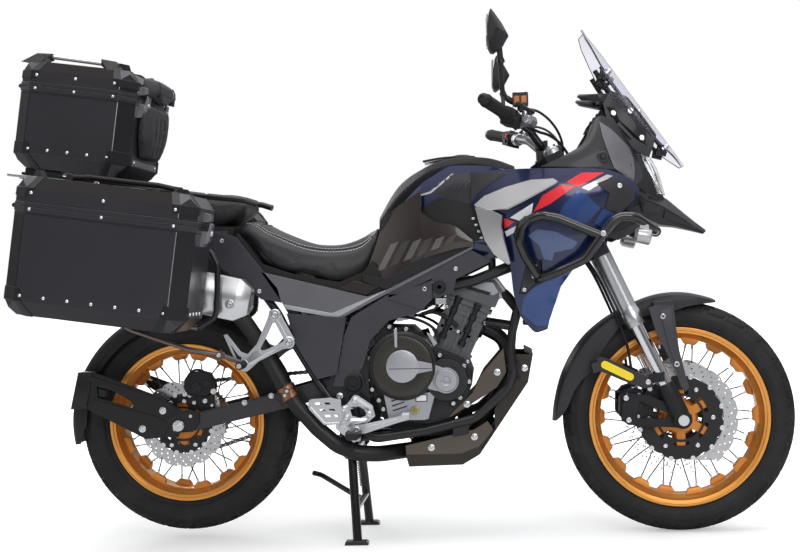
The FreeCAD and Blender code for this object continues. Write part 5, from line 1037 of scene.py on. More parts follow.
def make_tank():
    form = lofted(TANK, 5)
    tank = form.bvh()
    # the filler plate on top and the ridge down its middle
    plate = smooth_grid([[(60 + 215 * a, y, 1058 + 30 * sin(pi * (0.25 + 0.62 * a)) + (6 - abs(y) * 0.10)) for y in
                          (-52, -30, 0, 30, 52)] for a in (0, 0.2, 0.4, 0.6, 0.8, 1.0)], 2, 2)
    form.sheet(plate, 6, 1)
    form.lathe((172, 0, 1090), (0.02, 0, 1), ((0, 40), (6, 40), (8, 37), (8, 26), (10, 25), (12, 20)), 2, sides=40)
    for k in range(6):
        turn = k * pi / 3
        form.bolt((172 + 33 * cos(turn), 33 * sin(turn), 1097.5), (0, 0, 1), 3.4, 2, 3)
    piece("tank_shell", form, "chassis", [NAVY, GLOSS_BLACK, CARRIER_BLACK, BOLT], bevel=1.2, angle=42,
          replaces=["fuel_tank"])
    # black plates along the crown, either side of the filler: the black spine, widened over the shoulders as painted
    # shade where the navy's reflection shows dark
    crown = Form()
    rows = []
    for k in range(37):
        x = CROWN_LINE[0][0] + (CROWN_LINE[-1][0] - CROWN_LINE[0][0]) * k / 36
        half = tank.ray_cast(Vector((x, 2000, height_at(CROWN_LINE, x))), Vector((0, -1, 0)))[0].y - 1.0
        row = []
        for step in range(-14, 15):
            share = sin(step / 14 * pi / 2)
            place, normal = tank.ray_cast(Vector((x, half * share, 1500)), Vector((0, 0, -1)))[:2]
            outward = normal if normal.z > 0 else -normal
            row.append(place + outward * (3.2 - 2.0 * abs(share) ** 8))
        rows.append(row)
    crown.sheet(rows, -3.5, 0)
    piece("tank_crown", crown, "chassis", [CROWN_AND_PAINTED_SHADE], bevel=1.0)
    ribs = Form()
    for side in (-1, 1):
        # a black patch on the tank side where the recess between knee panel and scoop lies in shade: painted shade
        ribs.patch(((40, 905), (68, 949), (108, 971), (202, 948), (214, 920), (228, 870), (240, 832), (198, 842),
                    (161, 880), (129, 885), (75, 890)), tank, 0.6, 1.8, 2, side=side)
        for k in range(9):
            x0 = 96 + k * 15
            outline = ((x0 + 18, 968 - k), (x0 + 62, 1018 + k), (x0 + 67, 1018 + k), (x0 + 24, 968 - k))
            ribs.patch(outline, tank, 2.2, 3.2, 0, side=side)
        outline = ((84, 991), (149, 1036), (262, 1036), (300, 1028), (226, 980), (200, 950), (131, 967))
        ribs.patch(outline, tank, 0.8, 1.8, 0, side=side)
        line = ((28, 975), (84, 989), (149, 1038), (152, 1035), (88, 984), (30, 971))
        ribs.patch(line, tank, 0.8, 1.8, 1, side=side)
    piece("tank_grips", ribs, "chassis", [CARBON, SILVER_PAINT, RECESS])


CARBON = material("carbon_look", (0.022, 0.022, 0.026), 0.30, coat=0.5, mottle=0.5, mottle_size=2.6, grain=0.6,
                  grain_size=2.4)
make_tank()

FAIRING = (
    # rows from the top down, each (x, half width, height) from the rear forwards
    ((201, 178, 1037), (322, 198, 1038), (440, 214, 1034), (584, 204, 1024), (661, 178, 978)),
    ((206, 186, 962), (312, 214, 980), (440, 234, 985), (560, 226, 975), (656, 186, 950)),
    ((212, 188, 930), (294, 208, 914), (400, 232, 915), (500, 234, 905), (624, 200, 920)),
    ((258, 192, 880), (300, 202, 862), (390, 226, 850), (480, 232, 840), (576, 214, 880)),
    ((300, 190, 790), (330, 198, 790), (400, 214, 790), (455, 220, 780), (530, 216, 812)),
    ((312, 184, 690), (340, 188, 690), (380, 194, 700), (410, 198, 705), (440, 204, 716)),
    ((330, 180, 632), (345, 182, 610), (366, 184, 588), (384, 185, 590), (401, 186, 596)),
)


def make_fairing(side):
    rows = [[(x, side * y, z) for x, y, z in row] for row in FAIRING]
    skin = Form().sheet(smooth_grid(rows, 5, 5), -5.0 * side, 0)
    surface = skin.bvh()
    arm = (((213, 190, 942), (240, 202, 967), (300, 216, 988), (368, 228, 1004), (428, 236, 1006)),
           ((214, 197, 935), (258, 216, 926), (302, 236, 928), (366, 243, 958), (440, 239, 996)))
    leg = (((214, 197, 937), (258, 216, 928), (286, 232, 912)), ((222, 200, 900), (256, 216, 890), (284, 232, 880)),
           ((238, 204, 846), (264, 216, 846), (290, 230, 848)), ((262, 208, 808), (280, 216, 806), (298, 226, 814)),
           ((300, 212, 780), (303, 214, 780), (306, 216, 782)))
    for rows in (arm, leg):
        skin.sheet([[(x, side * y, z) for x, y, z in row] for row in rows], -7.0 * side, 1)
    skin.tube([(x, side * y, z) for x, y, z in ((214, 198, 938), (258, 218, 929), (302, 238, 929), (366, 244, 959),
                                               (436, 240, 995))], 2.2, 1, sides=8)
    skin.patch(((354, 854), (380, 870), (426, 863), (488, 832), (476, 815), (424, 805), (418, 783), (395, 789),
                (385, 824)), surface, 1.4, 3.0, 2, side=side)
    skin.patch(((492, 973), (520, 955), (552, 922), (518, 884), (470, 880), (436, 900), (450, 930)), surface, 1.0,
               2.0, 3, side=side)
    skin.patch(((330, 640), (372, 604), (402, 606), (440, 712), (470, 752), (440, 752), (400, 735), (352, 700),
                (336, 680)),
               surface, 1.2, 2.6, 3, side=side)
    stripes = (
        # outline, material
        (((370, 917), (397, 962), (447, 989), (487, 985), (417, 938)), 4),
        (((462, 996), (505, 1021), (567, 1020), (494, 981)), 4),
        (((289, 905), (318, 893), (291, 876)), 4),
        (((306, 905), (371, 943), (366, 915), (335, 895)), 5),
        (((291, 868), (334, 887), (336, 875), (296, 853)), 5),
        (((502, 979), (574, 1014), (590, 1010), (522, 970)), 6),
    )
    for outline, mark in stripes:
        skin.patch(outline, surface, 0.8, 1.5, mark, side=side)
    skin.patch(((546, 990), (592, 1008), (650, 972), (648, 944), (604, 908), (566, 920), (578, 962)), surface, 3.2,
               4.5, 7, side=side)
    skin.patch(((202, 952), (226, 981), (300, 1028), (262, 1035), (202, 1034)), surface, 1.6, 2.6, 9, side=side)
    for k in range(5):
        x0 = 208 + 13 * k
        skin.patch(((x0, 966 + 10 * k), (x0 + 26, 996 + 8 * k), (x0 + 31, 997 + 8 * k), (x0 + 5, 968 + 10 * k)),
                   surface, 3.0, 4.0, 9, side=side)
    skin.patch(((560, 921), (592, 908), (554, 870), (534, 883)), surface, 3.6, 5.0, 3, side=side)
    skin.bolt(surface_point(surface, 607, 982, side, 5.4), (0, side, 0), 7, 4, 8)
    name = "fairing_right" if side < 0 else "fairing_left"
    piece(name, skin, "chassis",
          [NAVY, SILVER_PAINT, BLUE_GREY, BLUE, RED, WHITE, SILVER_PAINT, PLASTIC_GREY, BOLT, CARBON], bevel=0.9,
          angle=38, replaces=["side_fairings"])


def surface_point(surface, x, z, side, lift=0.0):
    hit = surface.ray_cast(Vector((x, side * 2000, z)), Vector((0, -side, 0)))[0]
    return Vector((x, hit.y + side * lift, z))


for side in (-1, 1):
    make_fairing(side)


def make_side_panels():
    form = Form()
    back, face = 161.3, 168.0
    upper = ((-402, 778), (-318, 756), (-99, 699), (-46, 717), (-190, 650), (-340, 684))
    for side in (-1, 1):
        form.prism(upper, *between(side, back, face), 1)
        form.prism(((-340, 684), (-202, 655), (-46, 716), (-36, 709), (-190, 641), (-331, 670)),
                   *between(side, back, 169.5), 2)
        form.prism(((-177, 724), (-137, 745), (-70, 726), (-104, 704)), *between(side, back, 169.0), 3)
        form.prism(((-552, 903), (-470, 879), (-431, 827), (-354, 729), (-344, 689), (-402, 700), (-552, 822)),
                   *between(side, back, face), 0)
        form.prism(((-330, 658), (-161, 642), (-192, 483), (-248, 470), (-304, 566)), *between(side, 170.5, 177.2), 0)
        form.prism(((-147, 643), (-41, 704), (45, 706), (83, 735), (83, 685), (44, 650), (-40, 630), (-95, 576),
                    (-117, 505), (-124, 492), (-190, 492), (-170, 590)), *between(side, back, face), 0)
        form.prism(((-124, 500), (-140, 448), (-206, 448), (-190, 500)), *between(side, 158.5, 166), 0)
        form.prism(((-46, 692), (83, 740), (83, 690), (54, 657), (-2, 676)), *between(side, back, 171), 4)
        for x, z in ((-511, 869), (-407, 723), (62, 716)):
            form.bolt((x, side * 169, z), (0, side, 0), 6.5, 3.5, 5)
        # dark tray between the seat and the covers
        tray = ((-470, 890), (-435, 850), (-400, 800), (-300, 765), (-180, 742), (-112, 768), (-84, 800), (-60, 760),
                (-40, 700), (-190, 668), (-330, 700), (-402, 780), (-470, 860))
        form.prism(tray, *between(side, 118, 158), 6)
        form.prism(((-391, 775), (-301, 751), (-178, 719), (-115, 745), (-112, 736), (-178, 708), (-303, 742),
                    (-396, 767)),
                   *between(side, 150, 166), 6)
        form.prism(((-344, 690), (-330, 700), (-296, 664), (-300, 640), (-318, 640)), *between(side, 150, 166), 6)
        form.prism(((-179, 647), (-41, 718), (202, 832), (200, 824), (-38, 709), (-176, 640)),
                   *between(side, 160, 171), 1)
        form.prism(((-112, 762), (-42, 748), (60, 806), (196, 846), (206, 832), (-41, 716), (-112, 742)),
                   *between(side, 142, 168), 6)
        form.prism(((-41, 708), (196, 821), (253, 788), (205, 765), (152, 742), (142, 704), (100, 690), (84, 690),
                    (84, 744), (-40, 690)), *between(side, 160, 168), 0)
        form.bolt((151, side * 168, 770), (0, side, 0), 6.5, 3.5, 5)
        knob = []
        for k in range(24):
            reach, turn = (20, 17)[k % 2], pi * k / 12
            knob.append((104 + reach * cos(turn), 720 + reach * sin(turn)))
        form.prism(knob, *between(side, 166, 176), 6)
        form.lathe((104, side * 175, 720), (0, side, 0), ((0, 13), (2, 13), (3, 11), (3, 7), (1, 6)), 6, sides=28)
        near, far = between(side, 160, 174)
        form.box((92, near, 672), (122, far, 688), 5)
        form.tube(smooth_line([(100, side * 166, 672), (84, side * 168, 656), (60, side * 160, 648),
                               (30, side * 140, 640)]),
                  3.6, 6, sides=10)
        form.lathe((-148, side * 160, 458), (0, side, 0),
                   ((0, 24), (14, 24), (16, 22), (16, 17), (13, 16), (13, 9), (15, 8)), 6, sides=36)
        near, far = between(side, 170, 178)
        for k in range(4):
            form.box((200 + 7 * k, near, 905 - 18 * k), (209 + 7 * k, far, 911 - 18 * k), 5)
    piece("side_cover_panels", form, "chassis",
          [PANEL_GREY, PANEL_LIGHT, ALLOY, BROWN, PANEL_GREY, BOLT, RECESS], bevel=2.2, replaces=["side_panels"])
    knee = Form()
    rows = (((-50, 104, 915), (0, 132, 955), (60, 160, 990)), ((-75, 122, 840), (-10, 146, 860), (60, 168, 880)),
            ((-108, 138, 757), (-42, 156, 740), (56, 160, 800)))
    onward = (((60, 161, 932), (100, 171, 902), (150, 173, 890), (198, 171, 848)),
              ((58, 166, 860), (100, 173, 852), (150, 175, 850), (202, 172, 840)),
              ((56, 161, 800), (100, 170, 812), (150, 171, 826), (206, 168, 834)))
    for side in (-1, 1):
        front = smooth_grid([[(x, side * y, z) for x, y, z in row] for row in onward], 4, 4)
        back = smooth_grid([[(x, side * y, z) for x, y, z in row] for row in rows], 6, 6)
        skin = Form().sheet(front, -5.0 * side, 0).sheet(back, -5.0 * side, 0)
        surface = skin.bvh()
        # bars in a lighter and a darker copy of one finish by turns: painted light and shade of the facets
        for k in range(6):
            x, z, high = -74 + 39 * k, 768 + 13.5 * k, 76 - 11 * k
            lean = 0.55 * high
            bar = ((x, z), (x + 24, z + 8), (x + 24 + lean, z + 8 + high), (x + lean, z + high))
            skin.patch(bar, surface, 0.5, 1.2, 1 + k % 2, cell=9, side=side)
        knee.merge(skin)
    piece("knee_panels", knee, "chassis", [BROWN, FACET_PAINTED_LIGHT, FACET_PAINTED_SHADE], bevel=0.8)


make_side_panels()

SEAT = (
    # x, then half width and height from the bottom to the crown
    (-472, ((96, 880), (108, 888), (111, 897), (108, 907), (98, 914), (66, 917), (20, 918))),
    (-440, ((118, 862), (130, 874), (134, 888), (130, 908), (114, 924), (74, 929), (22, 930))),
    (-366, ((138, 790), (148, 806), (151, 824), (147, 862), (130, 884), (82, 892), (24, 890))),
    (-274, ((142, 762), (150, 778), (153, 796), (149, 828), (132, 848), (84, 856), (24, 853))),
    (-184, ((134, 742), (143, 759), (147, 778), (142, 818), (124, 840), (78, 848), (22, 846))),
    (-115, ((112, 768), (118, 784), (121, 802), (116, 838), (100, 860), (64, 870), (18, 870))),
    (-76, ((84, 848), (90, 858), (92, 870), (90, 886), (78, 900), (50, 907), (14, 909))),
)
PILLION = (
    (-796, ((96, 928), (106, 944), (110, 966), (104, 992), (92, 1002), (60, 1008), (18, 1009))),
    (-680, ((100, 920), (114, 936), (119, 958), (112, 988), (98, 1000), (64, 1007), (20, 1008))),
    (-560, ((104, 908), (120, 926), (126, 950), (118, 986), (100, 999), (66, 1006), (20, 1008))),
    (-484, ((104, 936), (116, 942), (121, 954), (114, 982), (98, 995), (64, 1002), (18, 1003))),
    (-448, ((98, 961), (102, 964), (105, 968), (102, 974), (92, 980), (58, 983), (18, 984))),
)


CLOTH_PRESSURE = 3.0
CLOTH_FRAMES = 15


def puffed(source, name, cap, voxel=6.0):
    """Fills a closed form with cloth pressure, each point moving no more than cap millimetres."""
    bpy.context.view_layer.objects.active = source
    remesh = source.modifiers.new("voxels", "REMESH")
    remesh.mode = "VOXEL"
    remesh.voxel_size = voxel / 1000
    shown = source.evaluated_get(bpy.context.evaluated_depsgraph_get())
    mesh = bpy.data.meshes.new_from_object(shown)
    source.modifiers.clear()
    rest = [v.co.copy() for v in mesh.vertices]
    soft = bpy.data.objects.new(name + "_soft", mesh)
    bpy.context.scene.collection.objects.link(soft)
    cloth = soft.modifiers.new("fill", "CLOTH")
    cloth.settings.use_pressure = True
    cloth.settings.uniform_pressure_force = CLOTH_PRESSURE
    cloth.settings.effector_weights.gravity = 0
    cloth.settings.quality = 5
    for number in range(1, CLOTH_FRAMES + 1):
        bpy.context.scene.frame_set(number)
    shown = soft.evaluated_get(bpy.context.evaluated_depsgraph_get())
    moved = [v.co.copy() for v in shown.data.vertices]
    bpy.data.objects.remove(soft)
    for v, before, after in zip(mesh.vertices, rest, moved):
        way = after - before
        if way.length > cap / 1000:
            way = way * (cap / 1000 / way.length)
        v.co = before + way
    finishes = list(source.data.materials)
    source.data = mesh
    mesh.materials.clear()
    for finish in finishes:
        mesh.materials.append(finish)
    mesh.shade_smooth()
    bpy.context.scene.frame_set(1)
    smooth = source.modifiers.new("soft", "SUBSURF")
    smooth.levels = smooth.render_levels = 1
    return source


def cushion(name, rows, node_name, finish, cap):
    shape = lofted(rows, 5)
    made = piece(name, shape, "chassis", [finish], angle=60, replaces=[node_name])
    puffed(made, name, cap)
    return made


def shrunk(rows, inset):
    """The same sections drawn in, to leave room for the filling."""
    out = []
    for x, levels in rows:
        middle = sum(z for y, z in levels) / len(levels)
        out.append((x, tuple((y - inset, z + (inset if z < middle else -inset)) for y, z in levels)))
    return tuple(out)


def surface_of(made):
    shown = made.evaluated_get(bpy.context.evaluated_depsgraph_get())
    mesh = shown.data
    points = [Vector((v.co.x * 1000 - SHIFT, v.co.y * 1000, v.co.z * 1000)) for v in mesh.vertices]
    return BVHTree.FromPolygons(points, [list(p.vertices) for p in mesh.polygons])


def seam(form, surface, line, aim, radius=1.1, sink=0.2, steps=8, mark=0):
    """A cord of piping laid on a surface, each point cast from outside along aim."""
    aim = Vector(aim)
    path = []
    for p in smooth_line(line, steps):
        hit = surface.ray_cast(p - aim * 300, aim)[0]
        if hit is not None:
            path.append(hit - aim * (radius - sink) * 0.6)
    return form.tube(path, radius, mark, sides=6)


def stitches(form, surface, line, aim, length=6.0, gap=2.6, radius=1.0, mark=0):
    """Single threads along a line on a surface."""
    aim = Vector(aim)
    path = []
    for p in smooth_line(line, 14):
        hit = surface.ray_cast(p - aim * 300, aim)[0]
        if hit is not None:
            path.append(hit - aim * 0.4)
    carried, start = 0.0, None
    for a, b in zip(path, path[1:]):
        span = (b - a).length
        way = (b - a) / max(span, 1e-6)
        travelled = 0.0
        while travelled < span:
            if start is None:
                room = gap - carried
            else:
                room = length - carried
            if travelled + room > span:
                carried += span - travelled
                break
            travelled += room
            carried = 0.0
            if start is None:
                start = a + way * travelled
            else:
                form.rod(start, a + way * travelled, radius, mark, sides=6, edge=0.3)
                start = None
    return form


def make_seats():
    rider = cushion("rider_cushion", shrunk(SEAT, 3.0), "rider_seat", VINYL, 5.0)
    pillion = cushion("pillion_cushion", shrunk(PILLION, 3.0), "pillion_seat", VINYL_PILLION, 5.0)
    surface = surface_of(rider)
    trim = Form()
    thread = Form()
    for side in (-1, 1):
        line = [(-455, side * 92, 990), (-400, side * 112, 960), (-330, side * 122, 920), (-260, side * 124, 900),
                (-190, side * 118, 900), (-130, side * 102, 920), (-92, side * 82, 950)]
        seam(trim, surface, line, (0, 0, -1), 1.5)
        for shift in (-5, 5):
            stitches(thread, surface, [(x, y + side * shift, z) for x, y, z in line], (0, 0, -1))
    seam(trim, surface, [(-410, y, 990) for y in (-104, -60, 0, 60, 104)], (0, 0, -1), 1.5)
    back = surface_of(pillion)
    for side in (-1, 1):
        line = [(-780, side * 84, 1050), (-660, side * 90, 1050), (-560, side * 92, 1050), (-490, side * 86, 1050)]
        seam(trim, back, line, (0, 0, -1), 1.5)
        stitches(thread, back, [(x, y - side * 5, z) for x, y, z in line], (0, 0, -1))
    piece("seat_piping", trim, "chassis", [VINYL])
    piece("seat_stitching", thread, "chassis", [THREAD])


make_seats()
# ---------------------------------------------------------------- engine, its guard and the exhaust
CLUTCH, PUMP = (-5, 502), (115, 459)


def round_face(form, centre, side, profile, mark, sides=64):
    """A turned cover on the side of the engine, from (distance out from the middle plane, radius)."""
    form.lathe((centre[0], 0, centre[1]), (0, side, 0), profile, mark, sides)


def arc_points(centre, radius, start, end, count):
    return [(centre[0] + radius * cos(radians(start + (end - start) * k / (count - 1))),
             centre[1] + radius * sin(radians(start + (end - start) * k / (count - 1)))) for k in range(count)]


def make_engine():
    """Covers, cylinders and head over one plain core, as seen from both sides."""
    form = Form()
    crankcase = ((-112, 549), (-118, 520), (-116, 470), (-86, 400), (-66, 348), (60, 335), (112, 348), (150, 372),
                 (176, 420), (184, 470), (168, 516), (120, 540), (60, 560), (10, 608), (-70, 612), (-100, 590))
    form.prism(crankcase, -138, 138, 0)
    form.prism(((-60, 352), (-48, 294), (108, 294), (148, 372)), -94, 94, 0)
    for k in range(7):
        form.prism(((-44 + 22 * k, 294), (-38 + 22 * k, 294), (-38 + 22 * k, 286), (-44 + 22 * k, 286)), -80, 80, 0)
    cylinders = ((62, 545), (168, 496), (236, 640), (252, 668), (122, 712), (112, 655))
    form.prism(cylinders, -112, 112, 1)
    form.prism(((120, 700), (256, 656), (268, 684), (270, 700), (150, 742), (132, 730)), -116, 116, 1)
    # cooling and joint lips round the cylinders, and the ribs down their face
    up = Vector((0.415, 0, 0.910))
    along = Vector((0.910, 0, -0.415))
    foot = Vector((115, 0, 520))
    for level, low, high, half in ((8, -60, 60, 120), (74, -58, 62, 117), (128, -60, 66, 119), (158, -66, 68, 121)):
        corners = [foot + up * (level + d) + along * s for s, d in ((low, 0), (high, 0), (high, 9), (low, 9))]
        form.prism([(p.x, p.z) for p in corners], -half, half, 1)
    for side in (-1, 1):
        for s in (-46, -20, 8, 36):
            corners = [foot + up * h + along * (s + w) for h, w in ((16, -5), (16, 5), (156, 5), (156, -5))]
            form.prism([(p.x, p.z) for p in corners], *between(side, 108, 117), 1)
        for s in (-33, 25):
            bottom, top = foot + up * 46 + along * s, foot + up * 158 + along * s
            form.rod((bottom.x, side * 121, bottom.z), (top.x, side * 121, top.z), 6.5, 2)
            for share in (0.0, 0.36, 0.7, 1.0):
                p = bottom.lerp(top, share)
                q = p + up * 16
                form.rod((p.x, side * 121, p.z), (q.x, side * 121, q.z), 10.5, 2)
        for s, h in ((-58, 12), (60, 12), (-56, 132), (64, 132), (2, 80)):
            p = foot + up * h + along * s
            form.bolt((p.x, side * 120, p.z), (0, side, 0), 5.5, 4, 3)
    # the head cover with its facets
    profile = ((140, 716), (262, 676), (284, 688), (286, 708), (262, 742), (160, 752), (134, 740))
    form.prism(profile, -108, 108, 4)
    for side in (-1, 1):
        form.hull(flank(side, ((150, 719, 108), (258, 682, 108), (278, 692, 108), (279, 706, 108), (258, 736, 108),
                               (164, 745, 108), (144, 736, 108), (166, 722, 117), (252, 693, 117), (266, 700, 117),
                               (252, 727, 117), (172, 737, 117))), 4)
        form.prism(((178, 712), (240, 692), (246, 700), (196, 716), (186, 724)), *between(side, 116, 119), 2)
        for x, z in ((150, 738), (268, 694)):
            form.bolt((x, side * 110, z), (0, side, 0), 6, 5, 3)
    # right side: clutch cover, water pump and the lower cover
    rim = arc_points(CLUTCH, 97, 30, 330, 34)
    form.prism(rim, -176, -137, 0)
    round_face(form, CLUTCH, -1, ((137, 96), (178, 95), (182, 91)), 0)
    round_face(form, CLUTCH, -1, ((176, 88), (190, 86.5), (194.5, 84), (196, 80), (193, 52), (192, 45), (186, 40)), 5,
               96)
    round_face(form, CLUTCH, -1, ((186, 46), (198, 46), (199.8, 44.6), (200.6, 42), (200.2, 2)), 6, 72)
    arm = ((34, 526), (76, 508), (112, 492), (142, 478), (150, 459), (142, 440), (116, 424), (66, 436), (44, 478),
           (36, 488))
    form.prism(arm, -181, -150, 6)
    blade = ((-20, 519), (30, 519), (78, 508), (79, 489), (30, 480), (-12, 480))
    form.prism(blade, -199.6, -186, 6)
    form.prism(((-42, 497.4), (78, 496.2), (78, 494.2), (-42, 495.2)), -201.2, -196, 7)
    round_face(form, PUMP, -1, ((137, 62), (168, 60), (172, 56)), 0)
    round_face(form, PUMP, -1, ((164, 37), (181, 36.5), (183.5, 35), (183.5, 32.5), (181, 31.5)), 6)
    round_face(form, PUMP, -1, ((164, 31), (182.5, 31), (184, 29), (184.6, 14), (182, 11), (182, 7), (184.4, 5.5)), 6)
    form.cut_plate(arc_points(PUMP, 60, -60, 110, 16) + [(96, 512), (76, 440)], [], -174, -150, 0)
    lower = ((-64, 438), (-30, 424), (-4, 413), (40, 420), (86, 432), (62, 352), (50, 349), (-42, 351), (-50, 356))
    form.prism(lower, -171, -137, 6)
    for k, (x, z, reach) in enumerate(((-42, 405, 18), (-40, 392, 36), (-38, 379, 42))):
        form.prism(((x, z), (x + reach, z + reach * 0.28), (x + reach, z + reach * 0.28 - 3), (x + 2, z - 3.4)),
                   -172.6, -168, 7)
    window = ((30, 419), (58, 419), (58, 403), (30, 403))
    form.prism([(44 + (x - 44) * 1.2, 411 + (z - 411) * 1.3) for x, z in window], -172.4, -168, 7)
    form.prism(window, -173.2, -168, 8)
    round_face(form, (26, 377), -1, ((165, 12), (174, 12), (176, 10), (176, 6), (173, 5)), 9, 28)
    form.prism(((24.8, 365), (27.2, 365), (27.2, 389), (24.8, 389)), -177.5, -174, 9)
    form.rod((-21, -176, 606), (-21, -195, 590), 5, 3)
    form.hull([(x, y, z) for x, z in ((-25, 606), (-16, 606), (-17, 556), (-24, 556)) for y in (-176, -200.5)], 3)
    rim_bolts = ((-98, 588), (-77, 601), (-107, 551), (-112, 506), (-108, 464), (-96, 436), (-78, 405), (-66, 380),
                 (-42, 612), (5, 604), (60, 540), (98, 528), (165, 496), (178, 452), (152, 408), (132, 392),
                 (-100, 524))
    for x, z in rim_bolts:
        form.lathe((x, -128, z), (0, -1, 0), ((0, 9.5), (20, 9.5), (21, 8.5)), 0, sides=20)
        form.bolt((x, -149, z), (0, -1, 0), 6.4, 5, 3)
    # left side: generator cover, sprocket cover and their screws
    generator = (70, 450)
    round_face(form, generator, 1, ((137, 86), (170, 84), (176, 78), (178, 60)), 0)
    round_face(form, generator, 1, ((170, 60), (186, 58.5), (188, 55), (187, 40), (185, 34), (187, 30), (187, 4)), 5)
    for k in range(9):
        x, z = (generator[0] + 78 * cos(2 * pi * k / 9 + 0.2), generator[1] + 78 * sin(2 * pi * k / 9 + 0.2))
        form.lathe((x, 160, z), (0, 1, 0), ((0, 9), (14, 9), (16, 8)), 0, sides=18)
        form.bolt((x, 176, z), (0, 1, 0), 5.6, 4, 3)
    drive = (-72, 470)
    round_face(form, drive, 1, ((108, 18), (126, 18), (128, 15), (128, 8)), 3, 6)
    # drive sprocket's teeth show inside the chain
    for k in range(15):
        turn = 2 * pi * k / 15
        form.lathe((drive[0] + 29 * cos(turn), 100, drive[1] + 29 * sin(turn)), (0, 1, 0), ((0, 3.4), (8, 3.4)), 3,
                   sides=8)
    # fuel rail, throttle bodies and the pipes behind the cylinders
    for y in (-52, 52):
        form.lathe((96, y, 690), (-0.93, 0, 0.36),
                   ((0, 27), (18, 27), (19, 31), (34, 31), (36, 24), (64, 24), (66, 30), (96, 31)), 2, sides=28)
    form.rod((62, -84, 672), (62, 84, 672), 9, 2)
    for side in (-1, 1):
        form.tube(smooth_line([(40, side * 90, 640), (80, side * 118, 650), (120, side * 122, 632),
                               (150, side * 122, 606)]),
                  6, 2, sides=10)
        form.tube(smooth_line([(-60, side * 110, 628), (-20, side * 124, 640), (40, side * 126, 628),
                               (84, side * 124, 600), (96, side * 122, 560)]), 4.5, 2, sides=10)
        form.tube(smooth_line([(10, side * 100, 660), (60, side * 124, 664), (110, side * 128, 700),
                               (150, side * 128, 726)]),
                  3.6, 2, sides=8)
        form.hull([(x, side * y, z) for x, z in ((-24, 624), (10, 630), (12, 644), (-20, 642)) for y in (96, 124)], 3)
        form.hull([(x, side * y, z) for x, z in ((30, 560), (58, 574), (50, 596), (20, 588)) for y in (100, 126)], 2)
        form.hull([(x, side * y, z) for x, z in ((60, 592), (72, 588), (90, 560), (80, 552)) for y in (112, 126)], 3)
    form.lathe((128, -128, 382), (0.3, 0, 1), ((0, 12), (26, 12), (28, 16), (40, 16)), 2, sides=20)
    piece("engine_covers", form, "chassis",
          [ENGINE_BLACK, ENGINE_GREY, PLASTIC, BOLT, COVER_SILVER, OLIVE, COVER_SILVER, CARRIER_BLACK, WHITE, BRASS],
          bevel=1.3, replaces=["engine"])


def make_guard():
    """The plate under the engine: skin, cheeks either side of the cradle tube, slots and bolts."""
    form = Form()
    outer = ((-6, 247), (1, 215), (153, 218), (202, 246), (293, 375), (343, 446), (359, 525), (334, 538))
    inner = ((334, 532), (352, 524), (337, 449), (288, 379), (197, 251), (151, 223), (5, 220), (0, 245))
    form.prism(outer + inner, -142, 142, 1)
    low = ((-7, 275), (189, 317), (226, 340), (244, 312), (198, 252), (150, 221), (3, 219), (-6, 247))
    edge = ((-7, 249), (150, 250), (200, 268), (244, 312), (198, 252), (150, 219), (1, 217))
    high = ((297, 525), (300, 450), (246, 372), (246, 318), (289, 378), (337, 448), (354, 524))
    upper = ((277, 543), (283, 476), (256, 434), (177, 385), (117, 350), (124, 362), (186, 420), (212, 470))
    for side in (-1, 1):
        form.prism(low, *between(side, 136, 143.5), 0)
        form.prism(edge, *between(side, 140, 144.6), 1)
        form.prism(high, *between(side, 136, 143), 1)
        form.prism(upper, *between(side, 141, 146.5), 0)
        form.prism(((300, 500), (318, 504), (322, 456), (304, 448)), *between(side, 142, 145), 2)
        form.prism(((203, 262), (246, 322), (249, 318), (206, 258)), *between(side, 143, 146), 2)
        for x, z, y in ((66, 268, 143.5), (188, 296, 143.5), (258, 476, 146.5), (170, 388, 146.5), (334, 486, 143)):
            form.lathe((x, side * y, z), (0, side, 0), ((-1, 10), (1.6, 10), (2.4, 8.6), (3, 6)), 3, sides=24)
            form.bolt((x, side * (y + 2), z), (0, side, 0), 5.6, 4, 3)
    for k in range(4):
        y = -66 + 44 * k
        corners = [(0.2, 0.0), (0.34, 0.0), (0.34, 1.0), (0.2, 1.0)]
        a, b = Vector((202, 0, 246)), Vector((293, 0, 375))
        out = Vector((0.817, 0, -0.577))
        form.hull([a.lerp(b, s) + out * r + Vector((0, y + w * 26 - 13, 0)) for s, w in corners for r in (0.2, 3.0)],
                  0)
    piece("guard_plate", form, "chassis", [BRONZE, BASH_DARK, CAP_BLACK, BOLT], bevel=0.9,
          replaces=["bash_plate"])


TAIL_PIPE = ((40, -40, 254), (-20, -90, 254), (-80, -150, 254), (-140, -172, 260), (-196, -178, 284),
             (-250, -180, 332), (-305, -181, 396), (-343, -181, 452), (-380, -184, 524),
             (-413, -190, 588), (-442, -201, 636), (-476, -211, 676))


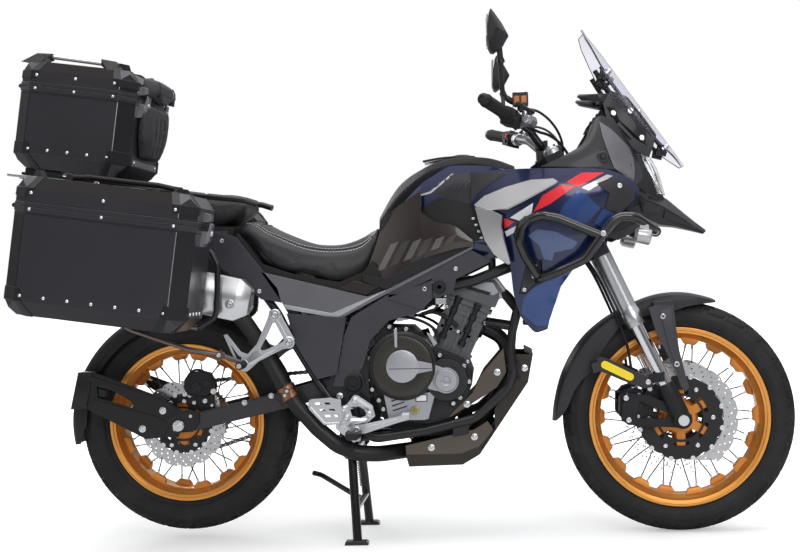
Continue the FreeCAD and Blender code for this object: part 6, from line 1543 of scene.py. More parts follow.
def make_exhaust():
    form = Form()
    path = rounded_path(TAIL_PIPE, 90, 5)
    form.tube(path, 22.6, 0, sides=28)
    for y in (-48, 48):
        form.tube(rounded_path([(214, y, 600), (284, y, 562), (280, y, 440), (204, y * 0.9, 318), (150, y * 0.7, 262),
                                (60, -28 + y * 0.2, 254), (30, -34, 254)], 70, 6), 18.4, 0, sides=24)
        form.lathe((222, y, 596), (0.88, 0, -0.47), ((-8, 30), (2, 30), (4, 27), (4, 20)), 0, sides=32)
        form.lathe((280, y, 470), (0, 0, 1), ((0, 20.4), (8, 21.2), (14, 21.2), (22, 20.4)), 1, sides=32)
    form.lathe((60, -28, 254), (-1, -0.2, 0), ((-40, 30), (-20, 44), (34, 44), (60, 27)), 0, sides=32)
    way = Vector((-37, -1, 72)).normalized()
    at = Vector((-331, -181, 437))
    form.lathe(at - way * 19, way, ((0, 24), (1, 26.6), (12, 26.6), (13.5, 24.4), (18, 24.2), (24, 24.4), (26, 26.6),
                                    (37, 26.6), (38, 24)), 1, sides=36)
    form.hull([at + Vector((a, -24 + b, c)) for a in (-9, 9) for b in (-8, 4) for c in (-12, 12)], 1)
    form.bolt(at + Vector((2, -31, 5)), (0, -1, 0), 5, 4, 2)
    form.bolt(at + Vector((-4, -31, -7)), (0, -1, 0), 5, 4, 2)
    for start in (0.30, 0.62):
        index = int(len(path) * start)
        way = (path[index + 1] - path[index]).normalized()
        form.lathe(path[index], way, ((-3, 22.6), (-1, 24), (4, 24), (6, 22.6)), 0, sides=32)
    piece("exhaust_tubes", form, "chassis", [PIPE, CLAMP_BRONZE, BOLT], bevel=0.0, angle=40,
          replaces=["exhaust_pipes"])


def make_silencer():
    """A faceted can: tapered nose cap with its bolt, brushed body with end bands, and the outlet."""
    start, end = Vector((-456, -216, 702)), Vector((-905, -216, 808))
    way = (end - start).normalized()
    rise = Vector((0, 0, 1)) - way * way.z
    rise.normalize()
    section = ((-44, -18), (-28, -60), (22, -60), (44, -24), (44, 24), (26, 58), (-26, 58), (-44, 20))

    def ring_at(reach, scale):
        return [start + way * reach + ACROSS * (a * scale) + rise * (b * scale) for a, b in section]

    length = (end - start).length
    form = Form()
    form.loft([ring_at(-34, 0.60), ring_at(-31, 0.66), ring_at(-2, 0.98), ring_at(3, 1.0), ring_at(60, 1.0)], 1)
    form.loft([ring_at(62, 0.985), ring_at(64, 1.0), ring_at(length - 66, 0.905), ring_at(length - 64, 0.89)], 0)
    form.loft([ring_at(length - 62, 0.905), ring_at(length - 4, 0.885), ring_at(length + 2, 0.84)], 2)
    form.lathe(end, way, ((-6, 24), (24, 24), (28, 23), (28, 20), (-30, 19.5)), 2, sides=32, closed=False,
               capped=False)
    for reach in (58, length - 70):
        scale = 1.0 - 0.115 * reach / length
        form.loft([ring_at(reach, 1.012 * scale), ring_at(reach + 8, 1.012 * scale)], 1)
    face = start + way * 14 + ACROSS * -43.4 - rise * 16
    form.lathe(face, (0, -1, 0), ((-1, 13), (2, 13), (3, 11.5), (3, 8)), 1, sides=28)
    form.bolt(face + Vector((0, -2, 0)), (0, -1, 0), 7, 5, 3)
    piece("silencer_can", form, "chassis", [SILENCER, SILENCER, PLASTIC, BOLT], bevel=1.4,
          replaces=["silencer"])


def make_radiator():
    form = Form()
    core = ((338, 610), (368, 604), (412, 724), (386, 736))
    form.prism(core, -84, 84, 0)
    way = Vector((46, 0, 128)).normalized()
    face = Vector((372, 0, 604))
    for k in range(22):
        p = face + way * (4 + 5.6 * k)
        q = p + way * 1.6
        form.prism([(p.x, p.z), (p.x + 2.4, p.z - 1), (q.x + 2.4, q.z - 1), (q.x, q.z)], -82, 82, 1)
    for side in (-1, 1):
        form.prism(((332, 606), (373, 599), (419, 729), (383, 743)), *between(side, 82, 97), 2)
        form.rod((366, side * 92, 668), (350, side * 118, 690), 14, 2)
        form.rod((372, side * 90, 700), (350, side * 150, 707), 6.5, 2)
        form.tube(smooth_line([(350, side * 90, 640), (318, side * 104, 652), (288, side * 100, 690),
                               (262, side * 84, 704)]),
                  13, 3, sides=16)
        form.lathe((330, side * 99, 648), (-0.8, side * 0.3, 0.3), ((-4, 14.5), (4, 14.5)), 4, sides=20)
    piece("radiator_core", form, "chassis", [FIN, CHAIN_STEEL, PLASTIC, RUBBER, BOLT], bevel=0.8,
          replaces=["radiator"])


make_engine()
make_guard()
make_exhaust()
make_silencer()
make_radiator()
# ---------------------------------------------------------------- nose, headlamp and screen
COWL = (
    # rows from the top down, each (x, half width, height) from the rear forwards
    ((540, 148, 1150), (562, 146, 1180), (592, 142, 1170), (613, 136, 1150), (650, 116, 1092)),
    ((512, 176, 1098), (548, 176, 1120), (590, 168, 1112), (620, 154, 1094), (662, 122, 1056)),
    ((452, 194, 1066), (530, 194, 1070), (584, 184, 1056), (622, 166, 1046), (674, 132, 1010)),
    ((393, 200, 1042), (480, 204, 1036), (560, 198, 1030), (606, 186, 1022), (656, 162, 984)),
)
SCREEN_ROWS = (
    # x and height on the middle line, half width, how far the edge lies back
    (531, 1441, 70, 8), (548, 1416, 98, 16), (572, 1385, 118, 24), (620, 1316, 144, 38), (656, 1263, 150, 43),
    (690, 1214, 148, 43), (754, 1122, 108, 29), (788, 1072, 64, 14), (806, 1045, 26, 7),
)


def screen_point(share, level, lift=0.0):
    """A point on the windscreen: share across from -1 to 1, level along its rows."""
    low = min(int(level), len(SCREEN_ROWS) - 2)
    part = level - low
    x, z, half, back = [a + (b - a) * part for a, b in zip(SCREEN_ROWS[low], SCREEN_ROWS[low + 1])]
    lie = back * abs(share) ** 1.6
    return Vector((x - lie + lift * 0.82, share * half, z - 0.4 * lie + lift * 0.57))


def make_screen():
    shares = [-1, -0.86, -0.6, -0.3, 0, 0.3, 0.6, 0.86, 1]
    rows = [[screen_point(share, level) for share in shares] for level in range(len(SCREEN_ROWS))]
    glass = Form().sheet(smooth_grid(rows, 5, 3), 3.6, 0)
    piece("screen_glass", glass, "chassis", [SCREEN], angle=60, replaces=["windscreen"])
    trim = Form()
    for side in (-1, 1):
        edge = [screen_point(side * 0.995, level / 4) for level in range(0, 4 * (len(SCREEN_ROWS) - 1) + 1)]
        trim.tube(smooth_line(edge, 2), 1.5, 0, sides=8)
        # slider rail, its knobs and the two clamps that hold the glass
        rail = [screen_point(side * 0.62, level, -14) for level in (2.6, 4.2, 5.8, 6.6)]
        trim.tube(smooth_line(rail, 3), 5.0, 1, sides=14)
        trim.tube(smooth_line([p + Vector((-16, -side * 4, -10)) for p in rail[:3]], 3), 7.0, 1, sides=14)
        for level in (2.9, 5.1, 6.35):
            place = screen_point(side * 0.62, level, 0)
            out = Vector((0.82, 0, 0.57))
            trim.lathe(place - out * 16, out, ((0, 9), (14, 9), (20, 7.5), (21, 6), (22, 3)), 2, sides=22)
            trim.hull([place - out * 13 + Vector(c)
                       for c in ((-20, -8, -14), (-20, 8, -14), (8, -8, -22), (8, 8, -22), (12, -8, 8), (12, 8, 8),
                                 (-14, -8, 14), (-14, 8, 14))], 1)
    trim.tube([screen_point(share / 8, 0.02) for share in range(-8, 9)], 1.5, 0, sides=8)
    trim.tube([screen_point(share / 8, len(SCREEN_ROWS) - 1.02) for share in range(-8, 9)], 1.5, 0, sides=8)
    for level in (3.1, 6.2):
        trim.tube([screen_point(share / 6, level, -15) for share in range(-4, 5)], 5.5, 1, sides=14)
    piece("screen_trim", trim, "chassis", [EDGE_SMOKE, PLASTIC, BOLT], bevel=0.6)


EDGE_SMOKE = material("screen_edge", (0.10, 0.09, 0.13), 0.2, coat=0.6, mottle=0.1)


def make_nose():
    form = Form()
    for side in (-1, 1):
        grid = smooth_grid([[(x, side * y, z) for x, y, z in row] for row in COWL], 5, 5)
        skin = Form().sheet(grid, -5.0 * side, 0)
        surface = skin.bvh()
        panel = ((561, 1166), (590, 1146), (646, 1091), (654, 1060), (656, 1030), (650, 990), (596, 1033),
                 (586, 1062), (568, 1120))
        skin.patch(panel, surface, 2.4, 4.0, 1, cell=9, side=side)
        lip = ((393, 1043), (470, 1040), (560, 1034), (566, 1038), (470, 1050), (428, 1056))
        skin.patch(lip, surface, 1.6, 3.0, 0, side=side)
        hit = surface_point(surface, 566, 1064, side, 0.5)
        skin.lathe(hit, (0, side, 0), ((-2, 17), (3, 17), (5, 14), (5, 9), (1, 8)), 0, sides=26)
        skin.lathe(hit, (0, side, 0), ((0, 8), (4, 8), (5, 5)), 3, sides=18)
        form.merge(skin)
        # inner mount behind the screen, with its lips, slots and knobs
        form.prism(((577, 1223), (598, 1258), (646, 1236), (690, 1176), (722, 1128), (712, 1096), (700, 1066),
                    (664, 1084), (612, 1140), (586, 1172)), *between(side, 104, 113), 0)
        form.hull(flank(side, ((584, 1212, 113), (606, 1240, 113), (654, 1212, 113), (692, 1150, 113),
                               (694, 1098, 113), (620, 1150, 113), (606, 1206, 126), (634, 1206, 126),
                               (668, 1152, 126), (664, 1128, 126), (620, 1170, 126))), 0)
        for x, z in ((604, 1192), (650, 1196), (680, 1120)):
            form.lathe((x, side * 120, z), (0, side, 0), ((0, 8), (5, 8), (7, 6), (7, 3)), 2, sides=18)
        form.prism(((612, 1160), (650, 1118), (655, 1124), (618, 1168)), *between(side, 118, 128), 0)
        # visor arm over the instruments
        form.hull(flank(side, ((507, 1251, 66), (512, 1257, 62), (578, 1252, 96), (616, 1250, 104), (598, 1232, 104),
                               (576, 1229, 98), (520, 1239, 68), (507, 1251, 50), (578, 1252, 74), (612, 1248, 84),
                               (576, 1231, 74), (520, 1240, 50))), 0)
        # cheek beside the lamp
        form.hull(flank(side, ((652, 1092, 116), (664, 1090, 100), (676, 1044, 100), (704, 990, 96), (744, 951, 70),
                               (736, 944, 74), (690, 962, 112), (664, 986, 134), (660, 1040, 126))), 0)
        form.rod((640, side * 118, 1040), (640, side * 158, 1040), 7, 0)
    form.prism(((608, 1120), (640, 1104), (652, 1088), (668, 1042), (676, 996), (650, 990), (620, 1040)), -120, 120,
               0)
    form.prism(((640, 1000), (676, 994), (696, 964), (688, 902), (650, 894), (634, 915)), -112, 112, 0)
    form.rod((588, -138, 1146), (588, 138, 1146), 7, 0)
    # bridge across the top of the mounts, carrying the visor
    form.hull([(x, y, z) for x, z in ((560, 1252), (612, 1250), (606, 1238), (566, 1240)) for y in (-96, 96)], 0)
    piece("cowl_shell", form, "chassis", [COWL_BLACK, PANEL_LIGHT, BOLT, CARRIER_BLACK], bevel=1.6,
          angle=30, replaces=["nose_fairing"])


COWL_BLACK = material("cowl_black", (0.020, 0.020, 0.023), 0.40, coat=0.15, grain=0.35, mottle=0.08, edge=1.0)


def make_beak():
    """The pointed front: an upper blade with a raised middle, side facets and the lower lip."""
    form = Form()
    stations = (
        # x and height of the ridge, of the shoulder, of the lower edge; half width of ridge, shoulder, lower edge
        ((690, 986), (664, 952), (640, 904), (66, 128, 98)),
        ((722, 966), (706, 940), (690, 896), (58, 108, 84)),
        ((754, 946), (742, 926), (728, 878), (50, 86, 66)),
        ((800, 906), (792, 896), (778, 871), (34, 54, 40)),
        ((836, 876), (830, 870), (820, 860), (20, 30, 22)),
        ((863, 855), (860, 853), (857, 849), (8, 11, 7)),
    )
    sections = []
    for (tx, tz), (sx, sz), (lx, lz), (top, wide, low) in stations:
        sections.append([Vector(p) for p in ((lx, -low, lz), (sx, -wide, sz), (tx, -top, tz),
                                             (tx + 2, -top * 0.5, tz + 5), (tx + 2, top * 0.5, tz + 5), (tx, top, tz),
                                             (sx, wide, sz), (lx, low, lz))])
    form.loft(sections, 0)
    for side in (-1, 1):
        form.hull(flank(side, ((668, 950, 129), (700, 938, 112), (742, 922, 88), (716, 908, 94), (676, 914, 118),
                               (684, 940, 127), (712, 924, 106))), 1)
        form.hull(flank(side, ((742, 918, 84), (790, 894, 56), (842, 862, 26), (784, 876, 48), (738, 896, 76))), 1)
        for a, b in (((690, 985), (722, 966)), ((722, 966), (754, 946)), ((754, 946), (800, 907)),
                     ((800, 907), (862, 856))):
            form.rod((a[0], side * 3 + side * 60 * (862 - a[0]) / 172, a[1]),
                     (b[0], side * 3 + side * 60 * (862 - b[0]) / 172, b[1]), 2.4, 1, sides=8)
    for side in (-1, 1):
        form.hull(flank(side, ((572, 846, 140), (606, 836, 126), (668, 864, 100), (690, 896, 96), (640, 902, 104),
                               (584, 872, 124), (600, 850, 134), (634, 872, 132), (646, 890, 124))), 1)
    piece("beak_shell", form, "chassis", [BEAK_GREY, BEAK_GREY], bevel=1.4, angle=14)


def make_headlamp():
    shell, glow = Form(), Form()
    front = ((700, 1091), (729, 1039), (742, 994), (750, 963))
    rear = ((676, 1070), (672, 1036), (672, 1000), (700, 962))
    rows = [[Vector((x, y, z)) for x, z in front] for y in (-86, -60, -20, 20, 60, 86)]
    for row, back in zip(rows, (16, 5, 0, 0, 5, 16)):
        for p in row:
            p.x -= back
    shell.sheet(smooth_grid(rows, 3, 3), 3.0, 0)
    for side in (-1, 1):
        shell.sheet(smooth_grid([[Vector((x - 16, side * 86, z)) for x, z in front],
                                 [Vector((x, side * 92, z)) for x, z in rear]], 3, 3), 3.0 * side, 0)
    piece("headlamp_lens", shell, "chassis", [LENS], angle=50, replaces=["headlamp"])
    glow.prism(((678, 1062), (674, 1000), (700, 966), (706, 968), (686, 1004), (690, 1066)), -80, 80, 1)
    for side in (-1, 1):
        for x, z, radius in ((700, 1050, 19), (712, 1004, 23)):
            way = Vector((0.95, 0, -0.1))
            glow.lathe((x - 24, side * 42, z), way,
                       ((-6, radius), (16, radius), (18, radius - 2), (12, radius - 4), (2, 5)), 1, sides=36)
            glow.dome((x - 20, side * 42, z), way, radius - 5, 12, 2, sides=28)
        for shift, lift in ((0, 0), (9, 3)):
            line = [(688 - shift, side * (86 - shift * 0.4), 1078 - lift),
                    (704 - shift, side * (84 - shift * 0.4), 1040), (722 - shift, side * (78 - shift * 0.4), 994),
                    (738 - shift, side * (66 - shift), 962 + lift), (733 - shift, side * (60 - shift), 956 + lift)]
            glow.tube(smooth_line(line, 4), 2.1, 0, sides=8)
        glow.tube(smooth_line([(726, side * 12, 1030), (738, side * 20, 990), (742, side * 30, 962)], 4), 2.6, 3,
                  sides=8)
    glow.hull([(x, y, z) for x, z in ((700, 1082), (716, 1052), (712, 1048), (694, 1076)) for y in (-30, 30)], 0)
    piece("headlamp_inside", glow, "chassis", [REFLECTOR, CARRIER_BLACK, LAMP_BOWL, WHITE], bevel=0.4)


LAMP_BOWL = material("lamp_bowl", (0.62, 0.64, 0.68), 0.10, metal=0.9, mottle=0.05)


def make_display():
    form = Form()
    form.prism(((578, 1206), (548, 1174), (532, 1154), (536, 1142), (552, 1138), (590, 1134), (600, 1180),
                (592, 1204)), -80, 80,
               0)
    a, b = Vector((577, 0, 1207)), Vector((531, 0, 1155))
    normal = Vector((-0.749, 0, 0.663))
    form.hull([p + normal * r + Vector((0, y, 0)) for p in (a, b) for r in (0, 4) for y in (-84, 84)], 0)
    form.hull([a.lerp(b, s) + normal * r + Vector((0, y, 0)) for s in (0.12, 0.88) for r in (3, 5)
               for y in (-66, 66)], 1)
    form.prism(((536, 1160), (506, 1112), (520, 1106), (564, 1138), (570, 1160)), -20, 20, 0)
    for side in (-1, 1):
        for s in (0.3, 0.5, 0.7):
            p = a.lerp(b, s) + normal * 4
            form.lathe(p + Vector((0, side * 75, 0)), normal, ((0, 4.5), (2, 4.5), (3, 3)), 2, sides=16)
    piece("display_panel", form, "chassis", [PLASTIC, DIAL, CARRIER_BLACK], bevel=1.6,
          replaces=["instruments"])


def make_bar_lamps():
    """Small driving lamps under the ends of the crash bars, and clamps where the bars are held."""
    form = Form()
    for side in (-1, 1):
        centre = Vector((668, side * 232, 842))
        form.lathe(centre + Vector((-26, 0, 6)), (0.97, 0, -0.22), ((0, 14), (8, 21), (40, 22), (44, 20), (44, 17)),
                   0, sides=32)
        form.lathe(centre + Vector((13, 0, -3)), (0.97, 0, -0.22), ((0, 17), (4, 17), (6, 12), (6, 2)), 1, sides=32)
        form.hull([centre + Vector(c) for c in ((-14, -7, 18), (14, -7, 14), (-14, 7, 18), (14, 7, 14), (-10, -7, 34),
                                                (12, -7, 30), (-10, 7, 34), (12, 7, 30))], 0)
        for place, way in (((345, 156, 712), (0.5, 0.8, 0.3)), ((300, 152, 800), (0.4, 0.9, 0.2)),
                           ((706, 156, 856), (0, 1, 0))):
            form.lathe((place[0], side * place[1], place[2]), (way[0], side * way[1], way[2]),
                       ((-8, 15), (10, 15), (12, 13.4)), 2, sides=28)
        form.lathe((556, side * 256, 852), (0, side, 0), ((-13, 8), (13, 8), (14, 7)), 3, sides=18)
    piece("driving_lamps", form, "chassis", [SILVER_PAINT, LAMP_BOWL, GLOSS_BLACK, BOLT], bevel=0.8)


make_screen()
make_nose()
make_beak()
make_headlamp()
make_display()
make_bar_lamps()
# ---------------------------------------------------------------- handlebar, controls and mirrors
GRIP_IN, GRIP_OUT = Vector((304, 312, 1180)), Vector((249, 432, 1204.5))
GRIP_WAY = (GRIP_OUT - GRIP_IN).normalized()


def on_bar(reach, side):
    p = GRIP_IN + GRIP_WAY * reach
    return Vector((p.x, side * p.y, p.z))


def bar_way(side):
    return Vector((GRIP_WAY.x, side * GRIP_WAY.y, GRIP_WAY.z))


def bar_frame(reach, side):
    """Turns (along the bar, ahead, up) offsets into places."""
    origin, way = on_bar(reach, side), bar_way(side)
    up = Vector((0, 0, 1)) - way * way.z
    up.normalize()
    ahead = up.cross(way) * side
    if ahead.x < 0:
        ahead = -ahead
    return lambda a, b, c: origin + way * a + ahead * b + up * c


def make_grips():
    form = Form()
    for side in (-1, 1):
        profile = [(0, 15.5), (0.5, 21), (4.5, 21), (5.5, 16.6)]
        for k in range(16):
            low = 8 + 6.4 * k
            profile += [(low, 16.4), (low + 0.8, 17.4), (low + 4.4, 17.4), (low + 5.2, 16.4)]
        profile += [(113, 17.2), (119, 18.6), (123.5, 18.2), (124, 15)]
        form.lathe(on_bar(0, side), bar_way(side), profile, 0, sides=30)
        form.lathe(on_bar(124, side), bar_way(side),
                   ((0, 11), (0.4, 15), (5, 15.6), (16, 15.6), (20, 13.6), (22, 8), (19, 6.5)), 1, sides=30)
    piece("grip_sleeves", form, "steering", [RUBBER, CARRIER_BLACK], angle=35, replaces=["grips"])


def make_controls():
    form = Form()
    for side in (-1, 1):
        place = bar_frame(-36, side)
        # switch housing with its split line, buttons and rocker
        form.lathe(on_bar(-64, side), bar_way(side),
                   ((0, 17), (1, 21), (26, 22.5), (27, 21), (28, 22.5), (56, 22.5), (58, 19)), 0, sides=30)
        form.hull([place(a, b, c) for a in (-20, 20)
                   for b, c in ((-24, -20), (-24, 14), (16, -30), (22, 0), (10, 22))], 0)
        for a, c, mark in ((-10, 9, 4), (8, 9, 5), (-2, -7, 5)):
            form.hull([place(a + da, -23 - db, c + dc) for da in (-6, 6)
                       for db, dc in ((0, -5), (0, 5), (4.5, -4), (4.5, 4))],
                      mark)
        form.hull([place(a, b, c) for a in (-8, 8) for b, c in ((-14, 18), (-4, 26), (6, 24), (4, 16))], 4
                  if side < 0 else 5)
        # perch, master cylinder and its clamp
        perch = bar_frame(-78, side)
        form.lathe(on_bar(-92, side), bar_way(side), ((0, 17), (1, 18), (25, 18), (26, 17)), 2, sides=26)
        form.hull([perch(a, b, c) for a in (-16, 16) for b, c in ((8, -12), (44, -14), (52, -4), (48, 10), (10, 14))],
                  2)
        form.lathe(perch(-30, 34, -2), bar_way(side), ((0, 9), (4, 12), (56, 12), (60, 9)), 2, sides=24)
        form.bolt(perch(-4, 17, 14), (0, 0, 1), 4.4, 4, 3)
        form.bolt(perch(-4, 46, 6), (0, 0, 1), 4.4, 4, 3)
        # lever: a flat blade that ends in a ball
        path = smooth_line([(352, side * 284, 1186), (374, side * 300, 1182), (372, side * 330, 1180),
                            (360, side * 370, 1182), (345, side * 408, 1188), (338, side * 422, 1191)], 5)
        form.tube(path, [7.5 - 2.6 * k / (len(path) - 1) for k in range(len(path))], 5, sides=12)
        form.dome((337, side * 425, 1191), (-0.3, side, 0.2), 6.5, 6, 5)
        form.lathe((356, side * 288, 1176), (0, 0, 1), ((0, 9), (18, 9), (20, 7)), 3, sides=20)
    # fluid bottle of the front brake: black frame round an amber window, lid on top
    base = Vector((344, -280, 1205))
    form.box((323, -301, 1203), (365, -261, 1209), 5)
    form.box((323, -301, 1229), (365, -261, 1237), 5)
    for x in (325, 344, 363):
        for y in (-299, -263):
            form.box((x - 2.4, y - 2, 1208), (x + 2.4, y + 2, 1230), 5)
    for x, y in ((330, -294), (358, -294), (330, -268), (358, -268)):
        form.bolt((x, y, 1237), (0, 0, 1), 3.2, 2, 3)
    form.box((326, -298, 1208), (362, -264, 1230), 6)
    form.rod((base.x, base.y, 1190), (base.x, base.y, 1206), 9, 5)
    # bar clamps, riser tops and the top clamp's bolts
    for side in (-1, 1):
        form.hull([(x, side * y, z) for x in (386, 420) for y in (38, 64) for z in (1112, 1128)], 5)
        for x in (391, 415):
            form.bolt((x, side * 51, 1128), (0, 0, 1), 4.6, 4, 3)
    form.lathe(on_fork(829, 0) + Vector((-LEG_OFFSET * cos(RAKE), 0, -LEG_OFFSET * sin(RAKE))), UP_FORK,
               ((0, 22), (8, 22), (10, 20), (10, 10), (6, 9)), 3, sides=6)
    form.hull([(x, y, z) for x, z in ((430, 1104), (444, 1108), (452, 1086), (436, 1080)) for y in (-18, 18)], 5)
    form.lathe((446, 0, 1098), (-0.35, 0, 0.94), ((0, 13), (12, 13), (13, 11), (13, 4)), 3, sides=24)
    piece("lever_controls", form, "steering",
          [PLASTIC, RUBBER, ALLOY, BOLT, RED_SWITCH, CARRIER_BLACK, AMBER_FILL], bevel=0.9, replaces=["bar_controls"])


AMBER_FILL = material("amber_fluid", (0.62, 0.20, 0.035), 0.10, coat=1.0, mottle=0.12, mottle_size=12)


def make_mirrors():
    shell, glass = Form(), Form()
    back = ((278, 1447), (272, 1436), (265, 1392), (262, 1348), (267, 1337), (275, 1335), (300, 1352), (318, 1382),
            (302, 1412))
    for side in (-1, 1):
        sections = []
        for y, size, shift, grow in ((328, 0.72, 0, 0.80), (331, 0.9, 0, 0.93), (338, 1.0, 0, 1.0),
                                     (372, 0.98, -1, 1.02), (412, 0.80, -2, 0.95), (444, 0.56, -1, 0.78),
                                     (452, 0.36, 0, 0.62)):
            sections.append([Vector((266 + shift + (x - 266) * size, side * y, 1392 + (z - 1392) * grow))
                             for x, z in back])
        shell.loft(sections, 0)
        plate = [(264.5, side * 336, 1350), (268.0, side * 336, 1434), (264.5, side * 372, 1438),
                 (263.0, side * 412, 1430), (262.5, side * 444, 1412), (262.5, side * 446, 1366),
                 (262.0, side * 414, 1352), (261.5, side * 372, 1346)]
        glass.loft([[Vector(p) for p in plate], [Vector(p) + Vector((-3.0, 0, 0)) for p in plate]], 0)
        stalk = smooth_line([(331, side * 281, 1212), (312, side * 282, 1222), (297, side * 287, 1244),
                             (295, side * 300, 1280), (294, side * 320, 1326), (292, side * 336, 1352)], 6)
        shell.tube(stalk, [8.5 if k < 8 else 6.4 if k < 22 else 8.0 for k in range(len(stalk))], 1, sides=18)
        shell.lathe((338, side * 281, 1205), (-0.7, 0, 0.66), ((0, 11), (10, 11), (12, 9.5), (18, 9)), 1, sides=6)
        shell.dome((295, side * 316, 1318), (0, side * 0.4, 1), 11, 16, 1, sides=20)
    piece("mirror_shells", shell, "steering", [PLASTIC, CARRIER_BLACK], bevel=1.2, angle=28,
          replaces=["mirrors"])
    piece("mirror_glasses", glass, "steering", [MIRROR_GLASS], bevel=0.5)


make_grips()
make_controls()
make_mirrors()
# ---------------------------------------------------------------- luggage
CASE_TILT = radians(8.6)
CORNER = 40.0
LOW_SLANT, TOP_SLANT = 38.0, 30.0


# how far out the carriers' rails run
RAIL_Y = 276.7


class CaseFrame:
    """Places on a case: u forwards, v out from its inner wall, w up, from its lower rear corner."""

    def __init__(self, name, rear_u, floor_w, length, width, body, lid, inner, sign, body_name, lid_name):
        self.name, self.length, self.width, self.body, self.lid = name, length, width, body, lid
        self.rear_u, self.floor_w, self.inner, self.sign = rear_u, floor_w, inner, sign
        self.body_name, self.lid_name = body_name, lid_name
        self.top = body + lid

    def at(self, u, v, w):
        u, w = u + self.rear_u, w + self.floor_w
        return Vector((u * cos(CASE_TILT) + w * sin(CASE_TILT), self.sign * (self.inner + v),
                       -u * sin(CASE_TILT) + w * cos(CASE_TILT)))

    def outline(self, grow, inner_cut):
        """The case seen from above with its slanted corners, grown by a little."""
        length, width, cut, g = self.length, self.width, CORNER, grow
        return [(-g + inner_cut, -g), (length + g - inner_cut, -g), (length + g, -g + inner_cut),
                (length + g, width - cut + 0.4 * g), (length - cut + 0.4 * g, width + g), (cut - 0.4 * g, width + g),
                (-g, width - cut + 0.4 * g), (-g, -g + inner_cut)]

    def band(self, form, low, high, proud, mark, inner_cut):
        """A lip all the way round between two levels."""
        thick = 1.6
        rounds = [[self.at(u, v, w) for u, v in self.outline(grow, inner_cut)]
                  for w, grow in ((low, proud - 0.6), (low + 0.8, proud), (high - 0.8, proud), (high, proud - 0.6),
                                  (high, proud - thick), (low, proud - thick))]
        return form.loft(rounds, mark, closed=True)


TOP = CaseFrame("top_case", -1277, 928, 341, 376, 232, 75, -188, 1, "chassis", "top_case_lid_body")
PANNIERS = [CaseFrame("side_case_" + name, -1126, 527, 490, 230, 285, 80, 285, sign, "chassis", name + "_case_lid")
            for name, sign in (("right", -1), ("left", 1))]
LID_SEAM = 1.0


def rivet(form, case, u, v, w, way, mark=0, radius=5.0):
    centre = case.at(u, v, w)
    form.dome(centre, case.at(u + way[0], v + way[1], w + way[2]) - centre, radius, 3.2, mark, sides=18)


def corner_cap(form, case, end, face, low, high, lug, mark):
    """A faceted plastic cap on a corner of the lid; end 0 rear, 1 front; face 0 inner side, 1 outer."""
    def place(u, v, w):
        return case.at(case.length - u if end else u, v if face else case.width - v, w)

    width = case.width
    form.hull([place(*p) for p in (
        (-2.5, width - 54, low), (-2.5, width - CORNER + 2, low), (CORNER - 2, width + 2.5, low),
        (54, width + 2.5, low), (-2.5, width - 60, high - TOP_SLANT), (60, width + 2.5, high - TOP_SLANT),
        (-2.5, width - CORNER, high - TOP_SLANT), (CORNER, width + 2.5, high - TOP_SLANT),
        (29, width - 74, high + 2.5), (74, width - 29, high + 2.5), (29, width - 60, high + 2.5),
        (60, width - 29, high + 2.5),
    )], mark)
    if lug:
        form.hull([place(*p) for p in (
            (30, width - 64, high), (44, width - 78, high), (64, width - 30, high), (78, width - 44, high),
            (38, width - 60, high + lug), (44, width - 66, high + lug), (58, width - 38, high + lug),
            (66, width - 44, high + lug),
        )], mark)


def foot_cap(form, case, end, mark):
    """A faceted cap on a lower outer corner."""
    def place(u, v, w):
        return case.at(case.length - u if end else u, v, w)

    width = case.width
    form.hull([place(*p) for p in (
        (-3, width - 52, LOW_SLANT + 34), (-3, width - CORNER, LOW_SLANT + 34), (CORNER, width + 3, LOW_SLANT + 34),
        (52, width + 3, LOW_SLANT + 34), (-3, width - 58, LOW_SLANT), (-3, width - CORNER, LOW_SLANT),
        (CORNER, width + 3, LOW_SLANT), (58, width + 3, LOW_SLANT), (36, width - 84, -2), (84, width - 36, -2),
        (36, width - 66, -2), (66, width - 36, -2),
    )], mark)


